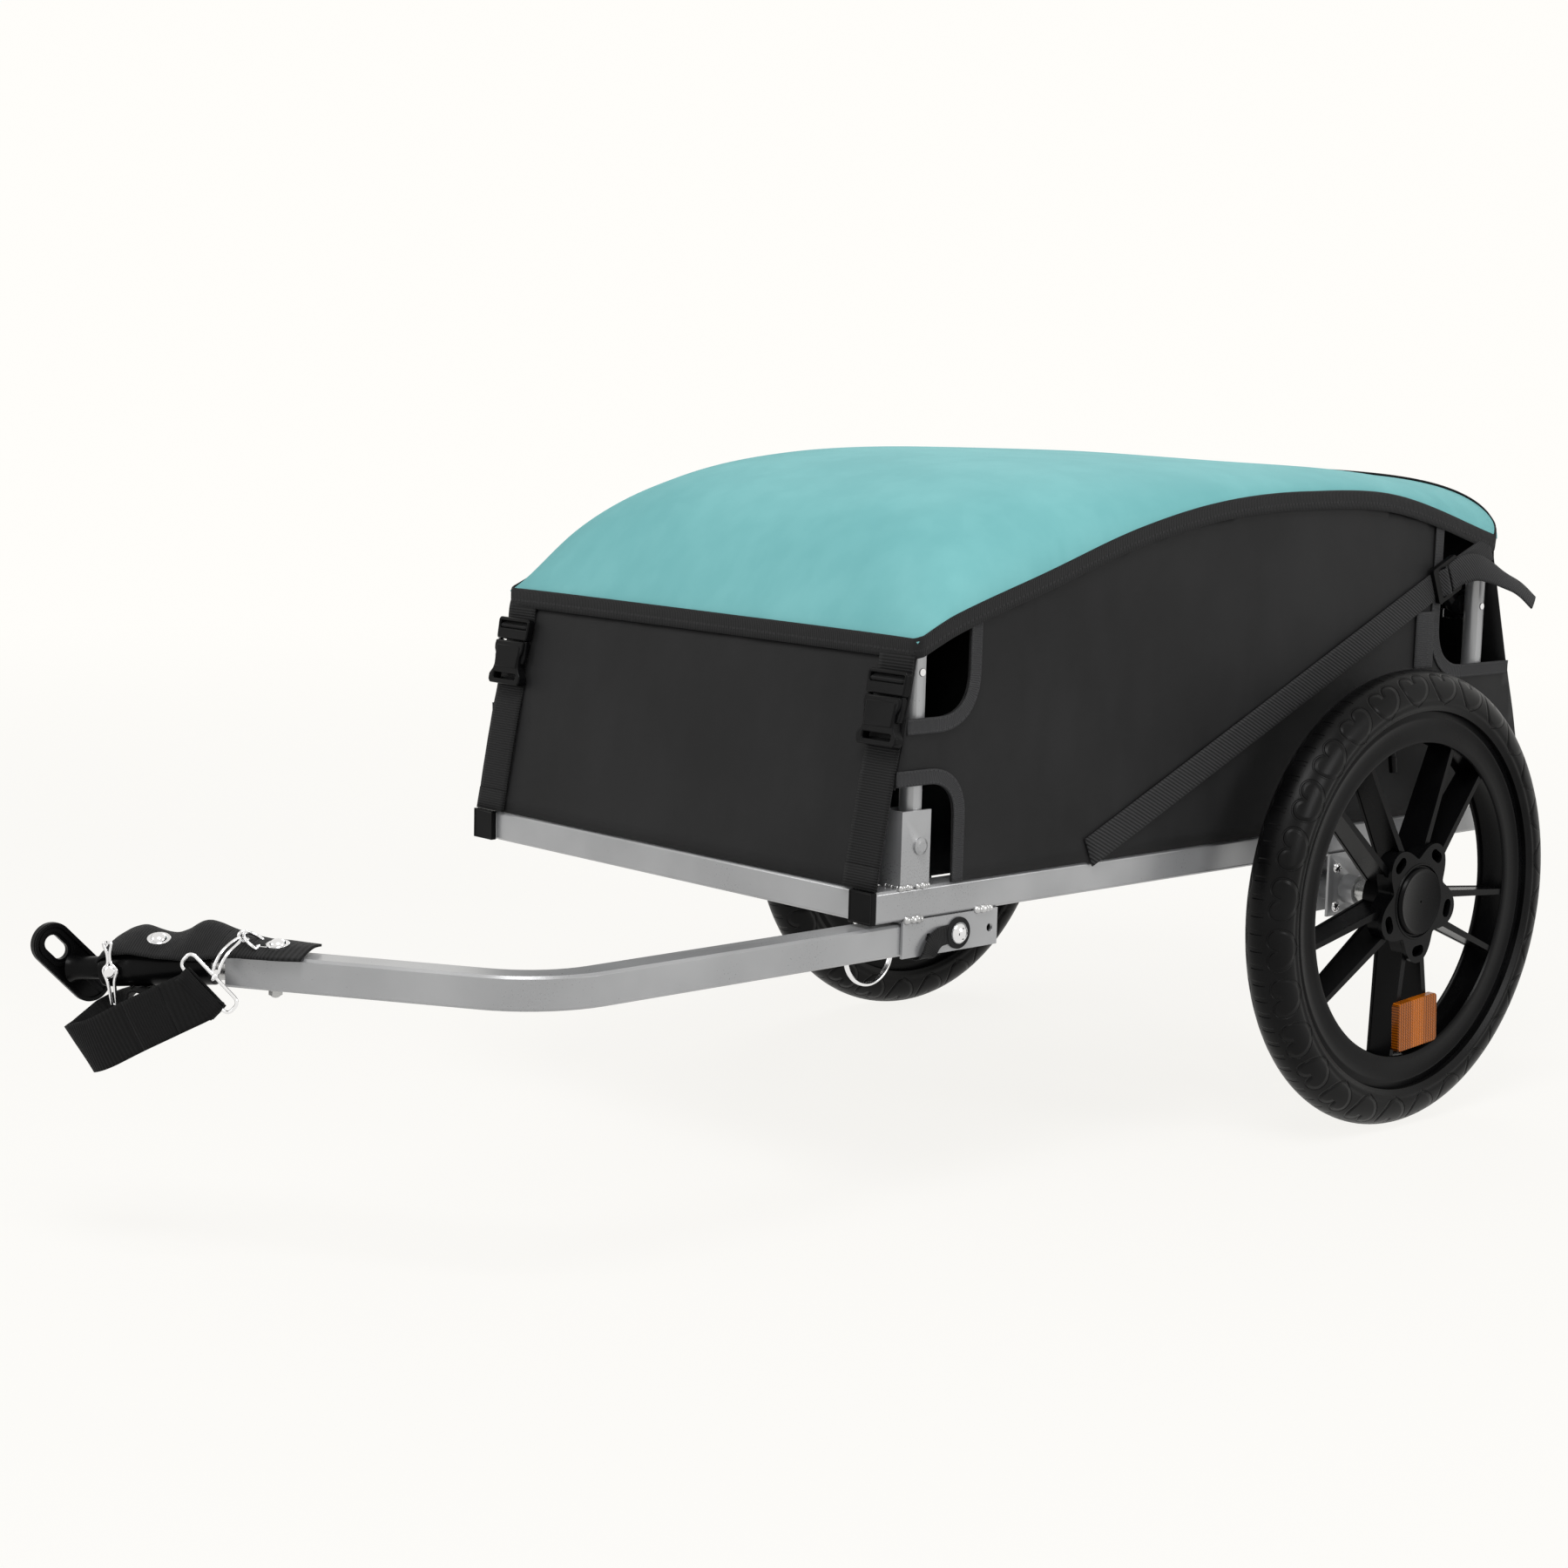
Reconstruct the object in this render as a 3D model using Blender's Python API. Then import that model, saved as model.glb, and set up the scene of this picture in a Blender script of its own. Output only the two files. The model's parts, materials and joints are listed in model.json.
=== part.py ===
"""Two-wheel bicycle cargo trailer: steel tube base, folding top frame, fabric body and cover, tow arm and hitch.

Metres, +Z up. +X is the trailer's left side, -Y is forward (towards the bicycle), and the wheels stand on z = 0.
The numbers along the length are measured from the axle, and one empty moves the whole trailer by AXLE_Y.
"""

import math

import bmesh
import bpy
from mathutils import Vector

# Fits
GAP = 0.0003
RUNNING = 0.0003
SEAT_REACH = 0.001

# Base frame, square steel tube. Every height starts from the wheels that the frame stands on
WHEEL_RADIUS = 0.200
TUBE = 0.025
TUBE_WALL = 0.002
FRAME_HALF_WIDTH = 0.246
RAIL_TOP = WHEEL_RADIUS + 0.0585
FRONT_Y = -0.587
REAR_Y = 0.267
MID_RAIL_Y = -0.17
PLUG_HEAD = 0.005
PLUG_SPIGOT = 0.015

# Wheels
TRACK_HALF = FRAME_HALF_WIDTH + 0.056
TYRE_WIDTH = 0.044
TYRE_HEIGHT = 0.042
BEAD_HALF_WIDTH = 0.0115
BEAD_DEPTH = 0.0085
RIM_LIP = 0.0028
RIM_DEPTH = 0.028
HUB_RADIUS = 0.034
HUB_HALF_LENGTH = 0.020
CAP_RADIUS = 0.0285
CAP_THICKNESS = 0.0035
WHEEL_SIDES = 40
SPOKE_PAIRS = 5
SPOKE_ANGLE = math.radians(-86)
SPOKE_SPREAD_HUB = 0.010
SPOKE_SPREAD_RIM = 0.026
SPOKE_WIDTH = 0.007
SPOKE_DEPTH = 0.026
AXLE_RADIUS = 0.006
AXLE_COLLAR_RADIUS = 0.010
REFLECTOR_LENGTH = 0.056
REFLECTOR_HEIGHT = 0.043
REFLECTOR_DEPTH = 0.008

# Axle bracket under each side rail
AXLE_BRACKET_LENGTH = 0.055
AXLE_BRACKET_PLATE = 0.0025
AXLE_BRACKET_DROP = 0.056
BUSH_RADIUS = 0.013
BUSH_OUT = 0.014
BRACKET_SCREW_RADIUS = 0.0042
BRACKET_SCREW_HEIGHT = 0.0022
BRACKET_SCREW_INSET = 0.011

# Folding uprights
UPRIGHT_RADIUS = 0.009
UPRIGHT_WALL = 0.0015
UPRIGHT_X = FRAME_HALF_WIDTH - 0.012
FRONT_TOP_Y = FRONT_Y + 0.033
REAR_TOP_Y = REAR_Y - 0.071
FRONT_PIVOT_Y = FRONT_TOP_Y + UPRIGHT_RADIUS + 0.0025
REAR_PIVOT_Y = REAR_TOP_Y - UPRIGHT_RADIUS
FRONT_PIVOT_Z = RAIL_TOP + 0.0315
LINK_HEIGHT = 0.132
REAR_PIVOT_RISE = 0.020
UPRIGHT_BELOW_PIVOT = 0.013
FRONT_UPRIGHT_ABOVE_PIN = 0.0175
REAR_UPRIGHT_ABOVE_PIN = 0.025
BRACKET_PLATE = 0.0025
BRACKET_ABOVE_PIVOT = 0.0275
BRACKET_BEHIND_PIVOT = 0.011
BRACKET_AHEAD_OF_PIVOT = 0.020
PIVOT_BOLT_RADIUS = 0.004
PIVOT_HEAD_RADIUS = 0.0068
PIVOT_HEAD_HEIGHT = 0.003

# Top frame and its lock pins
TOP_BAR_RADIUS = 0.008
TOP_BAR_WALL = 0.0015
TOP_BAR_X = UPRIGHT_X - 0.022
TOP_BAR_END = 0.011
FRONT_BAR_BEHIND_PIN = 0.0155
FRONT_BAR_ABOVE_PIN = 0.026
ARCH_FRONT_Y = FRONT_Y + 0.102
ARCH_REAR_Y = REAR_Y - 0.207
BOW_AHEAD_OF_PIN = 0.042
BOSS_RADIUS = 0.010
LOCK_PIN_RADIUS = 0.003
LOCK_PIN_HEAD_RADIUS = 0.006
LOCK_PIN_HEAD_LENGTH = 0.005
BAIL_RADIUS = 0.015
BAIL_WIRE = 0.0009

# Fabric body
CLOTH = 0.0015
BODY_X = FRAME_HALF_WIDTH + 0.0018
SKIRT = 0.014
EDGE_GAP = 0.001
COVER_CLOTH = 0.002
FLOOR_CLOTH = 0.002
FLOOR_CLEAR = 0.005
# (y, height above the rails) along the cover's side edges, and along its middle
SIDE_EDGE = (
    (-0.554, 0.1875), (-0.511, 0.2055), (-0.416, 0.233), (-0.306, 0.265),
    (-0.200, 0.2845), (-0.090, 0.291), (0.040, 0.2855), (0.196, 0.2465),
)
CENTRE_EDGE = (
    (-0.554, 0.1885), (-0.500, 0.2615), (-0.420, 0.2975), (-0.300, 0.3145),
    (-0.150, 0.3155), (0.050, 0.3085), (0.196, 0.2975),
)
COVER_COLUMNS = 12
COVER_ROWS = 15
FRONT_CUT_Y = FRONT_TOP_Y + 0.058
FRONT_CUT_BOTTOM = RAIL_TOP + 0.1295
LOW_CUT_Y = FRONT_TOP_Y + 0.045
LOW_CUT_TOP = RAIL_TOP + 0.0785
REAR_CUT_Y = REAR_TOP_Y - 0.083
REAR_CUT_BOTTOM = RAIL_TOP + 0.1325
CUT_RADIUS = 0.028
FRONT_CORNER_CUT_X = FRAME_HALF_WIDTH - 0.033
FRONT_CORNER_CUT_TOP = RAIL_TOP + 0.0765
FRONT_CORNER_CUT_RADIUS = 0.012

# Webbing and buckles
FRONT_WEB_X = FRAME_HALF_WIDTH - 0.018
FRONT_WEB_WIDTH = 0.036
WEBBING = 0.0015
BUCKLE_WIDTH = 0.044
BUCKLE_THICKNESS = 0.010
CLIP_TOP = RAIL_TOP + 0.1725
BUCKLE_SPLIT = RAIL_TOP + 0.145
SOCKET_BOTTOM = RAIL_TOP + 0.1075
TAB_TOP = RAIL_TOP + 0.180
CLIP_SLOT = 0.007
DIAGONAL_WIDTH = 0.025
DIAGONAL_FOOT = (FRONT_Y + 0.235, RAIL_TOP + 0.008)
DIAGONAL_LOCK = (REAR_TOP_Y - 0.081, RAIL_TOP + 0.2115)
DIAGONAL_TOP = (REAR_TOP_Y - 0.010, RAIL_TOP + 0.2385)
LADDER_LOCK = (0.036, 0.032, 0.006)
TAIL_END = (REAR_TOP_Y + 0.042, RAIL_TOP + 0.1845)

# Tow arm and its receiver
ARM_WALL = 0.002
ARM_CENTRE_Z = RAIL_TOP - 0.0405
ARM_PIVOT_Y = FRONT_Y + 0.089
ARM_CORNER_Y = FRONT_Y - 0.303
ARM_CORNER_TO_TIP = 0.235
ARM_BEND_RADIUS = 0.080
ARM_TURN = math.radians(58.6)
RECEIVER_FRONT_Y = ARM_PIVOT_Y - 0.060
RECEIVER_REAR_Y = ARM_PIVOT_Y + 0.0445
RECEIVER_PLATE = 0.0025
RECEIVER_BOTTOM = ARM_CENTRE_Z - 0.0138
TOW_BOLT_RADIUS = 0.004
TOW_BOLT_HEAD_RADIUS = 0.0085
TOW_BOLT_HEAD_HEIGHT = 0.0045
TOW_PIN_Y = ARM_PIVOT_Y - 0.032
SPARE_HOLE_Y = ARM_PIVOT_Y + 0.036
TOW_PIN_RADIUS = 0.003
TOW_PIN_HEAD_RADIUS = 0.0055
TOW_PIN_HEAD_LENGTH = 0.008
TOW_PIN_TRAVEL = 0.029
TOW_RING_RADIUS = 0.024
TOW_RING_WIRE = 0.0013
TETHER_WIDTH = 0.015

# Hitch
SPRING_GAP = 0.012
SPRING_INSERT = 0.012
HOUSING_RADIUS = 0.0135
HOUSING_LENGTH = 0.088
HITCH_DROOP = math.radians(5.5)
STUB_RADIUS = 0.0085
STUB_OUT = 0.026
STUB_IN = 0.040
HITCH_PIN_RADIUS = 0.003
HITCH_PIN_FROM_MOUTH = 0.012
PLATE_LENGTH = 0.074
PLATE_WIDTH = 0.031
PLATE_THICKNESS = 0.007
PLATE_TILT = math.radians(45)
PLATE_CENTRE_RISE = 0.004
EYE_OFFSET = 0.018
EYE_LENGTH = 0.021
EYE_WIDTH = 0.012
EYE_RECESS = 0.004
EYE_RECESS_DEPTH = 0.002
STRAP_WIDTH = 0.038
STRAP = 0.002
RIVET_RADIUS = 0.006
RIVET_HEIGHT = 0.002
D_RING_BEHIND_TIP = 0.022
D_RING_RADIUS = 0.010
D_RING_WIRE = 0.0013
D_RING_TILT = math.radians(35)
HOOK_ANGLE = math.radians(38)
HOOK_RADIUS = 0.0040
HOOK_WIRE = 0.0014
HOOK_ELBOW = (0.0, 0.031, 0.0115)
SWIVEL_LENGTH = 0.0100
SWIVEL_RADIUS = 0.0034
LOOP_WIRE = 0.0012
LOOP_HALF_HEIGHT = 0.0045
LOOP_PLAY = 0.0025

CUTTERS = []


def wipe_scene():
    for obj in list(bpy.data.objects):
        bpy.data.objects.remove(obj, do_unlink=True)


def material(name, colour, roughness, metallic=0.0):
    made = bpy.data.materials.new(name)
    made.use_nodes = True
    shader = made.node_tree.nodes["Principled BSDF"]
    shader.inputs["Base Color"].default_value = (*colour, 1.0)
    shader.inputs["Roughness"].default_value = roughness
    shader.inputs["Metallic"].default_value = metallic
    made.diffuse_color = (*colour, 1.0)
    return made


def empty_at(name, place, parent=None):
    """An empty at a place given in the axle frame. Children keep their own axle-frame coordinates."""
    empty = bpy.data.objects.new(name, None)
    empty.empty_display_size = 0.02
    bpy.context.collection.objects.link(empty)
    origin = Vector(parent["place"]) if parent else Vector((0, 0, 0))
    empty.location = Vector(place) - origin if parent else Vector((0, AXLE_Y, 0)) + Vector(place)
    empty.parent = parent
    empty["place"] = list(place)
    return empty


def add(name, mesh_data, finish, carrier, smooth=False):
    """Links a bmesh as a named object, carried by an empty."""
    mesh = bpy.data.meshes.new(name)
    mesh_data.to_mesh(mesh)
    mesh_data.free()
    obj = bpy.data.objects.new(name, mesh)
    bpy.context.collection.objects.link(obj)
    mesh.materials.append(finish)
    if smooth:
        mesh.shade_smooth()
        mesh.set_sharp_from_angle(angle=math.radians(40))
    if carrier is not None:
        obj.parent = carrier
        obj.location = -Vector(carrier["place"])
    return obj


def helper(mesh_data, like):
    """A hidden cutter or extra shape that a Boolean on another object uses."""
    obj = add("helper_%d" % len(CUTTERS), mesh_data, like.data.materials[0], None)
    obj.parent = like.parent
    obj.location = like.location
    obj.hide_render = True
    obj.display_type = "WIRE"
    CUTTERS.append(obj)
    return obj


def boolean(obj, mesh_data, operation):
    modifier = obj.modifiers.new(operation.title(), "BOOLEAN")
    modifier.operation = operation
    modifier.solver = "EXACT"
    modifier.object = helper(mesh_data, obj)


def cut(obj, mesh_data):
    boolean(obj, mesh_data, "DIFFERENCE")


def join(obj, mesh_data):
    boolean(obj, mesh_data, "UNION")


def ring_of(bm, points):
    return [bm.verts.new(p) for p in points]


def skin(bm, first, second):
    count = len(first)
    for i in range(count):
        j = (i + 1) % count
        bm.faces.new((first[i], first[j], second[j], second[i]))


def closed(bm):
    bmesh.ops.recalc_face_normals(bm, faces=bm.faces[:])
    return bm


def block(low, high):
    bm = bmesh.new()
    bmesh.ops.create_cube(bm, size=1.0)
    size = Vector(high) - Vector(low)
    middle = (Vector(high) + Vector(low)) / 2
    bmesh.ops.scale(bm, vec=size, verts=bm.verts[:])
    bmesh.ops.translate(bm, vec=middle, verts=bm.verts[:])
    return bm


def frame_along(direction, hint):
    """Two unit vectors square to a direction: the side and the up of a section."""
    along = Vector(direction).normalized()
    side = along.cross(Vector(hint)).normalized()
    return side, side.cross(along).normalized()


def sweep(path, sections, hints, closed_path=False):
    """One closed body: a section, given as (side, up) offsets, carried along a path of points.

    sections is one list of offsets, or one list for each point. hints is one up vector, or one for each point.
    """
    bm = bmesh.new()
    points = [Vector(p) for p in path]
    count = len(points)
    rings = []
    for i, point in enumerate(points):
        before = points[i - 1] if i > 0 or closed_path else point
        after = points[(i + 1) % count] if i < count - 1 or closed_path else point
        hint = hints[i] if isinstance(hints, list) else hints
        section = sections[i] if isinstance(sections[0][0], (list, tuple)) else sections
        into = (point - before).normalized() if (point - before).length else (after - point).normalized()
        out = (after - point).normalized() if (after - point).length else into
        tangent = (into + out).normalized()
        stretch = 1.0 / max(0.5, tangent.dot(out))
        side, up = frame_along(tangent, hint)
        turn = out - into
        across = turn.normalized() if turn.length > 1e-6 else None
        ring = []
        for a, b in section:
            offset = side * a + up * b
            if across is not None:
                offset += across * offset.dot(across) * (stretch - 1.0)
            ring.append(point + offset)
        rings.append(ring_of(bm, ring))
    for first, second in zip(rings, rings[1:]):
        skin(bm, first, second)
    if closed_path:
        skin(bm, rings[-1], rings[0])
    else:
        bm.faces.new(rings[0])
        bm.faces.new(rings[-1][::-1])
    return closed(bm)


def circle(radius, sides, phase=0.0):
    step = 2 * math.pi / sides
    return [(radius * math.cos(phase + i * step), radius * math.sin(phase + i * step)) for i in range(sides)]


def rectangle(width, height):
    return [(-width / 2, -height / 2), (width / 2, -height / 2), (width / 2, height / 2), (-width / 2, height / 2)]


def rod(start, end, radius, sides=16, end_radius=None):
    """A solid round bar or cone between two points."""
    side, up = frame_along(Vector(end) - Vector(start), square_to(Vector(end) - Vector(start)))
    bm = bmesh.new()
    rings = []
    for place, size in ((start, radius), (end, radius if end_radius is None else end_radius)):
        rings.append(ring_of(bm, [Vector(place) + side * a + up * b for a, b in circle(size, sides)]))
    skin(bm, rings[0], rings[1])
    bm.faces.new(rings[0])
    bm.faces.new(rings[1][::-1])
    return closed(bm)


def square_to(direction):
    """A vector that is well clear of a direction."""
    along = Vector(direction).normalized()
    return Vector((0, 0, 1)) if abs(along.z) < 0.9 else Vector((0, 1, 0))


def loop_wire(centre, normal, radius, wire, turns=24, sides=6):
    """A closed ring of round wire."""
    side, up = frame_along(normal, square_to(normal))
    path = [Vector(centre) + side * a + up * b for a, b in circle(radius, turns)]
    return sweep(path, circle(wire, sides), Vector(normal).normalized(), closed_path=True)


def turned(profile, centre, sides):
    """A solid of revolution about the X direction. profile lists (x, r) round a closed outline."""
    bm = bmesh.new()
    rings = []
    for i in range(sides):
        angle = 2 * math.pi * i / sides
        direction = Vector((0, math.cos(angle), math.sin(angle)))
        places = [Vector((centre[0] + x, centre[1], centre[2])) + direction * r for x, r in profile]
        rings.append(ring_of(bm, places))
    for i in range(sides):
        skin(bm, rings[i], rings[(i + 1) % sides])
    return closed(bm)


def plate(outline, place, depth):
    """A flat sheet: 2-D outline points put into space by place(u, v), thickened by the vector depth."""
    bm = bmesh.new()
    near = ring_of(bm, [Vector(place(u, v)) for u, v in outline])
    far = ring_of(bm, [Vector(place(u, v)) + Vector(depth) for u, v in outline])
    skin(bm, near, far)
    bm.faces.new(near)
    bm.faces.new(far[::-1])
    return closed(bm)


def arc(centre, radius, start, end, steps):
    """Points along a circular arc, angles in degrees."""
    angles = [math.radians(start + (end - start) * i / steps) for i in range(steps + 1)]
    return [(centre[0] + radius * math.cos(a), centre[1] + radius * math.sin(a)) for a in angles]


def smooth_through(knots, samples):
    """Points of a Catmull-Rom curve through the knots, as many between each two as samples says."""
    points = [Vector(k) for k in knots]
    points = [points[0] * 2 - points[1]] + points + [points[-1] * 2 - points[-2]]
    found = []
    for i in range(1, len(points) - 2):
        p0, p1, p2, p3 = points[i - 1:i + 3]
        for j in range(samples):
            t = j / samples
            found.append(
                (p1 * 2 + (p2 - p0) * t + (p0 * 2 - p1 * 5 + p2 * 4 - p3) * t**2
                 + (p1 * 3 - p0 - p2 * 3 + p3) * t**3) / 2
            )
    return found + [points[-2]]


def height_along(knots, y):
    """Height at one y of a smooth line through knots, given as (y, height above the rails)."""
    ys = [k[0] for k in knots]
    y = min(max(y, ys[0]), ys[-1])
    i = max(0, min(len(knots) - 2, sum(1 for k in ys[1:] if k <= y)))
    slopes = []
    for k in range(len(knots)):
        a, b = max(0, k - 1), min(len(knots) - 1, k + 1)
        slopes.append((knots[b][1] - knots[a][1]) / (knots[b][0] - knots[a][0]))
    span = ys[i + 1] - ys[i]
    t = (y - ys[i]) / span
    h00 = 2 * t**3 - 3 * t**2 + 1
    h10 = t**3 - 2 * t**2 + t
    h01 = 3 * t**2 - 2 * t**3
    h11 = t**3 - t**2
    ends = h00 * knots[i][1] + h01 * knots[i + 1][1]
    return RAIL_TOP + ends + (h10 * slopes[i] + h11 * slopes[i + 1]) * span


def cover_height(x, y):
    """Height of the cover's outer face: it bulges quickly from its side edges to a nearly level top."""
    side = height_along(SIDE_EDGE, y)
    centre = height_along(CENTRE_EDGE, y)
    across = min(1.0, abs(x) / BODY_X)
    return side + (centre - side) * math.sqrt(max(0.0, 1 - across**4))


def mirror_x(point, side):
    return (point[0] * side, point[1], point[2])


# Sizes that follow from the ones above
RAIL_BOTTOM = RAIL_TOP - TUBE
RAIL_X = FRAME_HALF_WIDTH - TUBE / 2
RAIL_Z = RAIL_TOP - TUBE / 2
RAIL_INNER_X = FRAME_HALF_WIDTH - TUBE
PIN_Z = FRONT_PIVOT_Z + LINK_HEIGHT
REAR_PIVOT_Z = FRONT_PIVOT_Z + REAR_PIVOT_RISE
REAR_PIN_Z = REAR_PIVOT_Z + LINK_HEIGHT
CLOTH_X = BODY_X - CLOTH
PANEL_TOP_DROP = SKIRT + EDGE_GAP
CLOTH_BOTTOM = RAIL_TOP + GAP
CORNER_Z = height_along(SIDE_EDGE, FRONT_TOP_Y)
FRONT_PANEL_TOP = CORNER_Z - PANEL_TOP_DROP
FRONT_PANEL_LEAN = (FRONT_TOP_Y - FRONT_Y - GAP) / (FRONT_PANEL_TOP - CLOTH_BOTTOM)
REAR_CORNER_Z = height_along(SIDE_EDGE, REAR_TOP_Y)
REAR_PANEL_FOOT_Y = REAR_Y - GAP
REAR_PANEL_LEAN = (REAR_TOP_Y - REAR_PANEL_FOOT_Y) / (REAR_CORNER_Z - PANEL_TOP_DROP - EDGE_GAP - CLOTH_BOTTOM)
TYRE_SEAT = WHEEL_RADIUS - TYRE_HEIGHT
ARM_X = FRAME_HALF_WIDTH - RECEIVER_PLATE - GAP - TUBE / 2
ARM_TANGENT = ARM_BEND_RADIUS * math.tan(ARM_TURN / 2)
ARM_FORWARD = Vector((-math.sin(ARM_TURN), -math.cos(ARM_TURN), 0))
HITCH_SIDE = Vector((math.cos(ARM_TURN), -math.sin(ARM_TURN), 0))
HITCH_FORWARD = ARM_FORWARD * math.cos(HITCH_DROOP) - Vector((0, 0, math.sin(HITCH_DROOP)))
HITCH_UP = HITCH_FORWARD.cross(HITCH_SIDE)
ARM_CORNER = Vector((ARM_X, ARM_CORNER_Y, ARM_CENTRE_Z))
ARM_TIP = ARM_CORNER + ARM_FORWARD * ARM_CORNER_TO_TIP
SPRING_RADIUS = TUBE / 2 - ARM_WALL - GAP
COUPLING_PIVOT = ARM_TIP + ARM_FORWARD * SPRING_GAP / 2
HOUSING_REAR = COUPLING_PIVOT + HITCH_FORWARD * SPRING_GAP / 2
HOUSING_FRONT = HOUSING_REAR + HITCH_FORWARD * HOUSING_LENGTH
STUB_END = HOUSING_FRONT + HITCH_FORWARD * STUB_OUT
PLATE_REACH = (PLATE_LENGTH - PLATE_WIDTH) / 2 * math.sin(PLATE_TILT) + PLATE_WIDTH / 2
AXLE_Y = (PLATE_REACH - STUB_END.y - REAR_Y - PLUG_HEAD) / 2
TOW_PIN_GRIP = TUBE + 2 * RECEIVER_PLATE + 2 * GAP
TOW_PIN_TIP_X = FRAME_HALF_WIDTH - TOW_PIN_TRAVEL
TOW_PIN_HEAD_X = TOW_PIN_TIP_X - TOW_PIN_GRIP - SEAT_REACH
TOW_EYE = Vector((TOW_PIN_HEAD_X - TOW_PIN_HEAD_LENGTH / 2, TOW_PIN_Y, ARM_CENTRE_Z))
RECEIVER_INNER_X = FRAME_HALF_WIDTH - TOW_PIN_GRIP


def square_section(size, corner):
    """A square with its corners cut off, as eight (side, up) points."""
    half = size / 2
    near = half - corner
    return [
        (near, -half), (half, -near), (half, near), (near, half),
        (-near, half), (-half, near), (-half, -near), (-near, -half),
    ]


def points_along(path, section, hints):
    """Rings of section points on a path, mitred at its corners."""
    points = [Vector(p) for p in path]
    rings = []
    for i, point in enumerate(points):
        into = (point - points[i - 1]).normalized() if i else (points[1] - point).normalized()
        out = (points[i + 1] - point).normalized() if i < len(points) - 1 else into
        tangent = (into + out).normalized()
        side, up = frame_along(tangent, hints)
        turn = out - into
        ring = []
        for a, b in section:
            offset = side * a + up * b
            if turn.length > 1e-6:
                across = turn.normalized()
                offset += across * offset.dot(across) * (1.0 / tangent.dot(out) - 1.0)
            ring.append(point + offset)
        rings.append(ring)
    return rings


def pipe(path, outer, inner, hint):
    """An open-ended tube: outer and inner sections with as many points, carried along a path."""
    bm = bmesh.new()
    skins = []
    for section in (outer, inner):
        skins.append([ring_of(bm, ring) for ring in points_along(path, section, hint)])
    for rings in skins:
        for first, second in zip(rings, rings[1:]):
            skin(bm, first, second)
    for end in (0, -1):
        skin(bm, skins[0][end], skins[1][end])
    return closed(bm)


def stepped(start, direction, steps):
    """A solid whose section changes in steps. steps lists (distance, section) along a direction."""
    along = Vector(direction).normalized()
    side, up = frame_along(along, square_to(along))
    bm = bmesh.new()
    rings = []
    for distance, section in steps:
        place = Vector(start) + along * distance
        rings.append(ring_of(bm, [place + side * a + up * b for a, b in section]))
    for first, second in zip(rings, rings[1:]):
        skin(bm, first, second)
    bm.faces.new(rings[0])
    bm.faces.new(rings[-1][::-1])
    return closed(bm)


def ribbon(path, widths, width, thickness):
    """A flat strap: path points, and the direction of its width at each."""
    bm = bmesh.new()
    rings = []
    points = [Vector(p) for p in path]
    for i, point in enumerate(points):
        ahead = points[min(i + 1, len(points) - 1)]
        behind = points[max(i - 1, 0)]
        along = (ahead - behind).normalized()
        across = Vector(widths[i])
        across = (across - along * across.dot(along)).normalized()
        normal = along.cross(across)
        rings.append(ring_of(bm, [point + across * a + normal * b for a, b in rectangle(width, thickness)]))
    for first, second in zip(rings, rings[1:]):
        skin(bm, first, second)
    bm.faces.new(rings[0])
    bm.faces.new(rings[-1][::-1])
    bmesh.ops.connect_verts_nonplanar(bm, angle_limit=math.radians(0.01), faces=bm.faces[:])
    return closed(bm)


def shell(outer, inner):
    """A closed sheet between two grids of points, given as rows."""
    bm = bmesh.new()
    borders = []
    for grid in (outer, inner):
        rows = [ring_of(bm, row) for row in grid]
        for first, second in zip(rows, rows[1:]):
            for i in range(len(first) - 1):
                bm.faces.new((first[i], first[i + 1], second[i + 1], second[i]))
        border = rows[0] + [row[-1] for row in rows[1:-1]] + rows[-1][::-1]
        borders.append(border + [row[0] for row in rows[-2:0:-1]])
    skin(bm, borders[0], borders[1])
    return closed(bm)


def tube_wall(radius, wall, sides=12):
    return circle(radius, sides), circle(radius - wall, sides)


def both_sides():
    return (("left", 1), ("right", -1))


# Base frame


def square_tube(name, start, end, finish, carrier):
    """A straight square tube, open at both ends."""
    outer = square_section(TUBE, TUBE_WALL)
    inner = square_section(TUBE - 2 * TUBE_WALL, TUBE_WALL / 2)
    return add(name, pipe([start, end], outer, inner, (0, 0, 1)), finish, carrier)


def rails(steel, frame):
    for name, side in both_sides():
        x = side * RAIL_X
        square_tube(name + "_rail", (x, FRONT_Y, RAIL_Z), (x, REAR_Y, RAIL_Z), steel, frame)
    reach = RAIL_INNER_X - GAP
    for name, y in (("front", FRONT_Y + TUBE / 2), ("middle", MID_RAIL_Y), ("rear", REAR_Y - TUBE / 2)):
        square_tube(name + "_rail", (-reach, y, RAIL_Z), (reach, y, RAIL_Z), steel, frame)


def rail_plugs(black, frame):
    """Push-in caps that close the four ends of the side rails."""
    head = square_section(TUBE, TUBE_WALL)
    spigot = square_section(TUBE - 2 * TUBE_WALL - 2 * GAP, TUBE_WALL / 2)
    for end, y, inwards in (("front", FRONT_Y, 1), ("rear", REAR_Y, -1)):
        for name, side in both_sides():
            face = (side * RAIL_X, y - inwards * (PLUG_HEAD + GAP), RAIL_Z)
            steps = [(0, head), (PLUG_HEAD, head), (PLUG_HEAD, spigot), (PLUG_HEAD + PLUG_SPIGOT, spigot)]
            add("%s_%s_plug" % (end, name), stepped(face, (0, inwards, 0), steps), black, frame)


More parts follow.
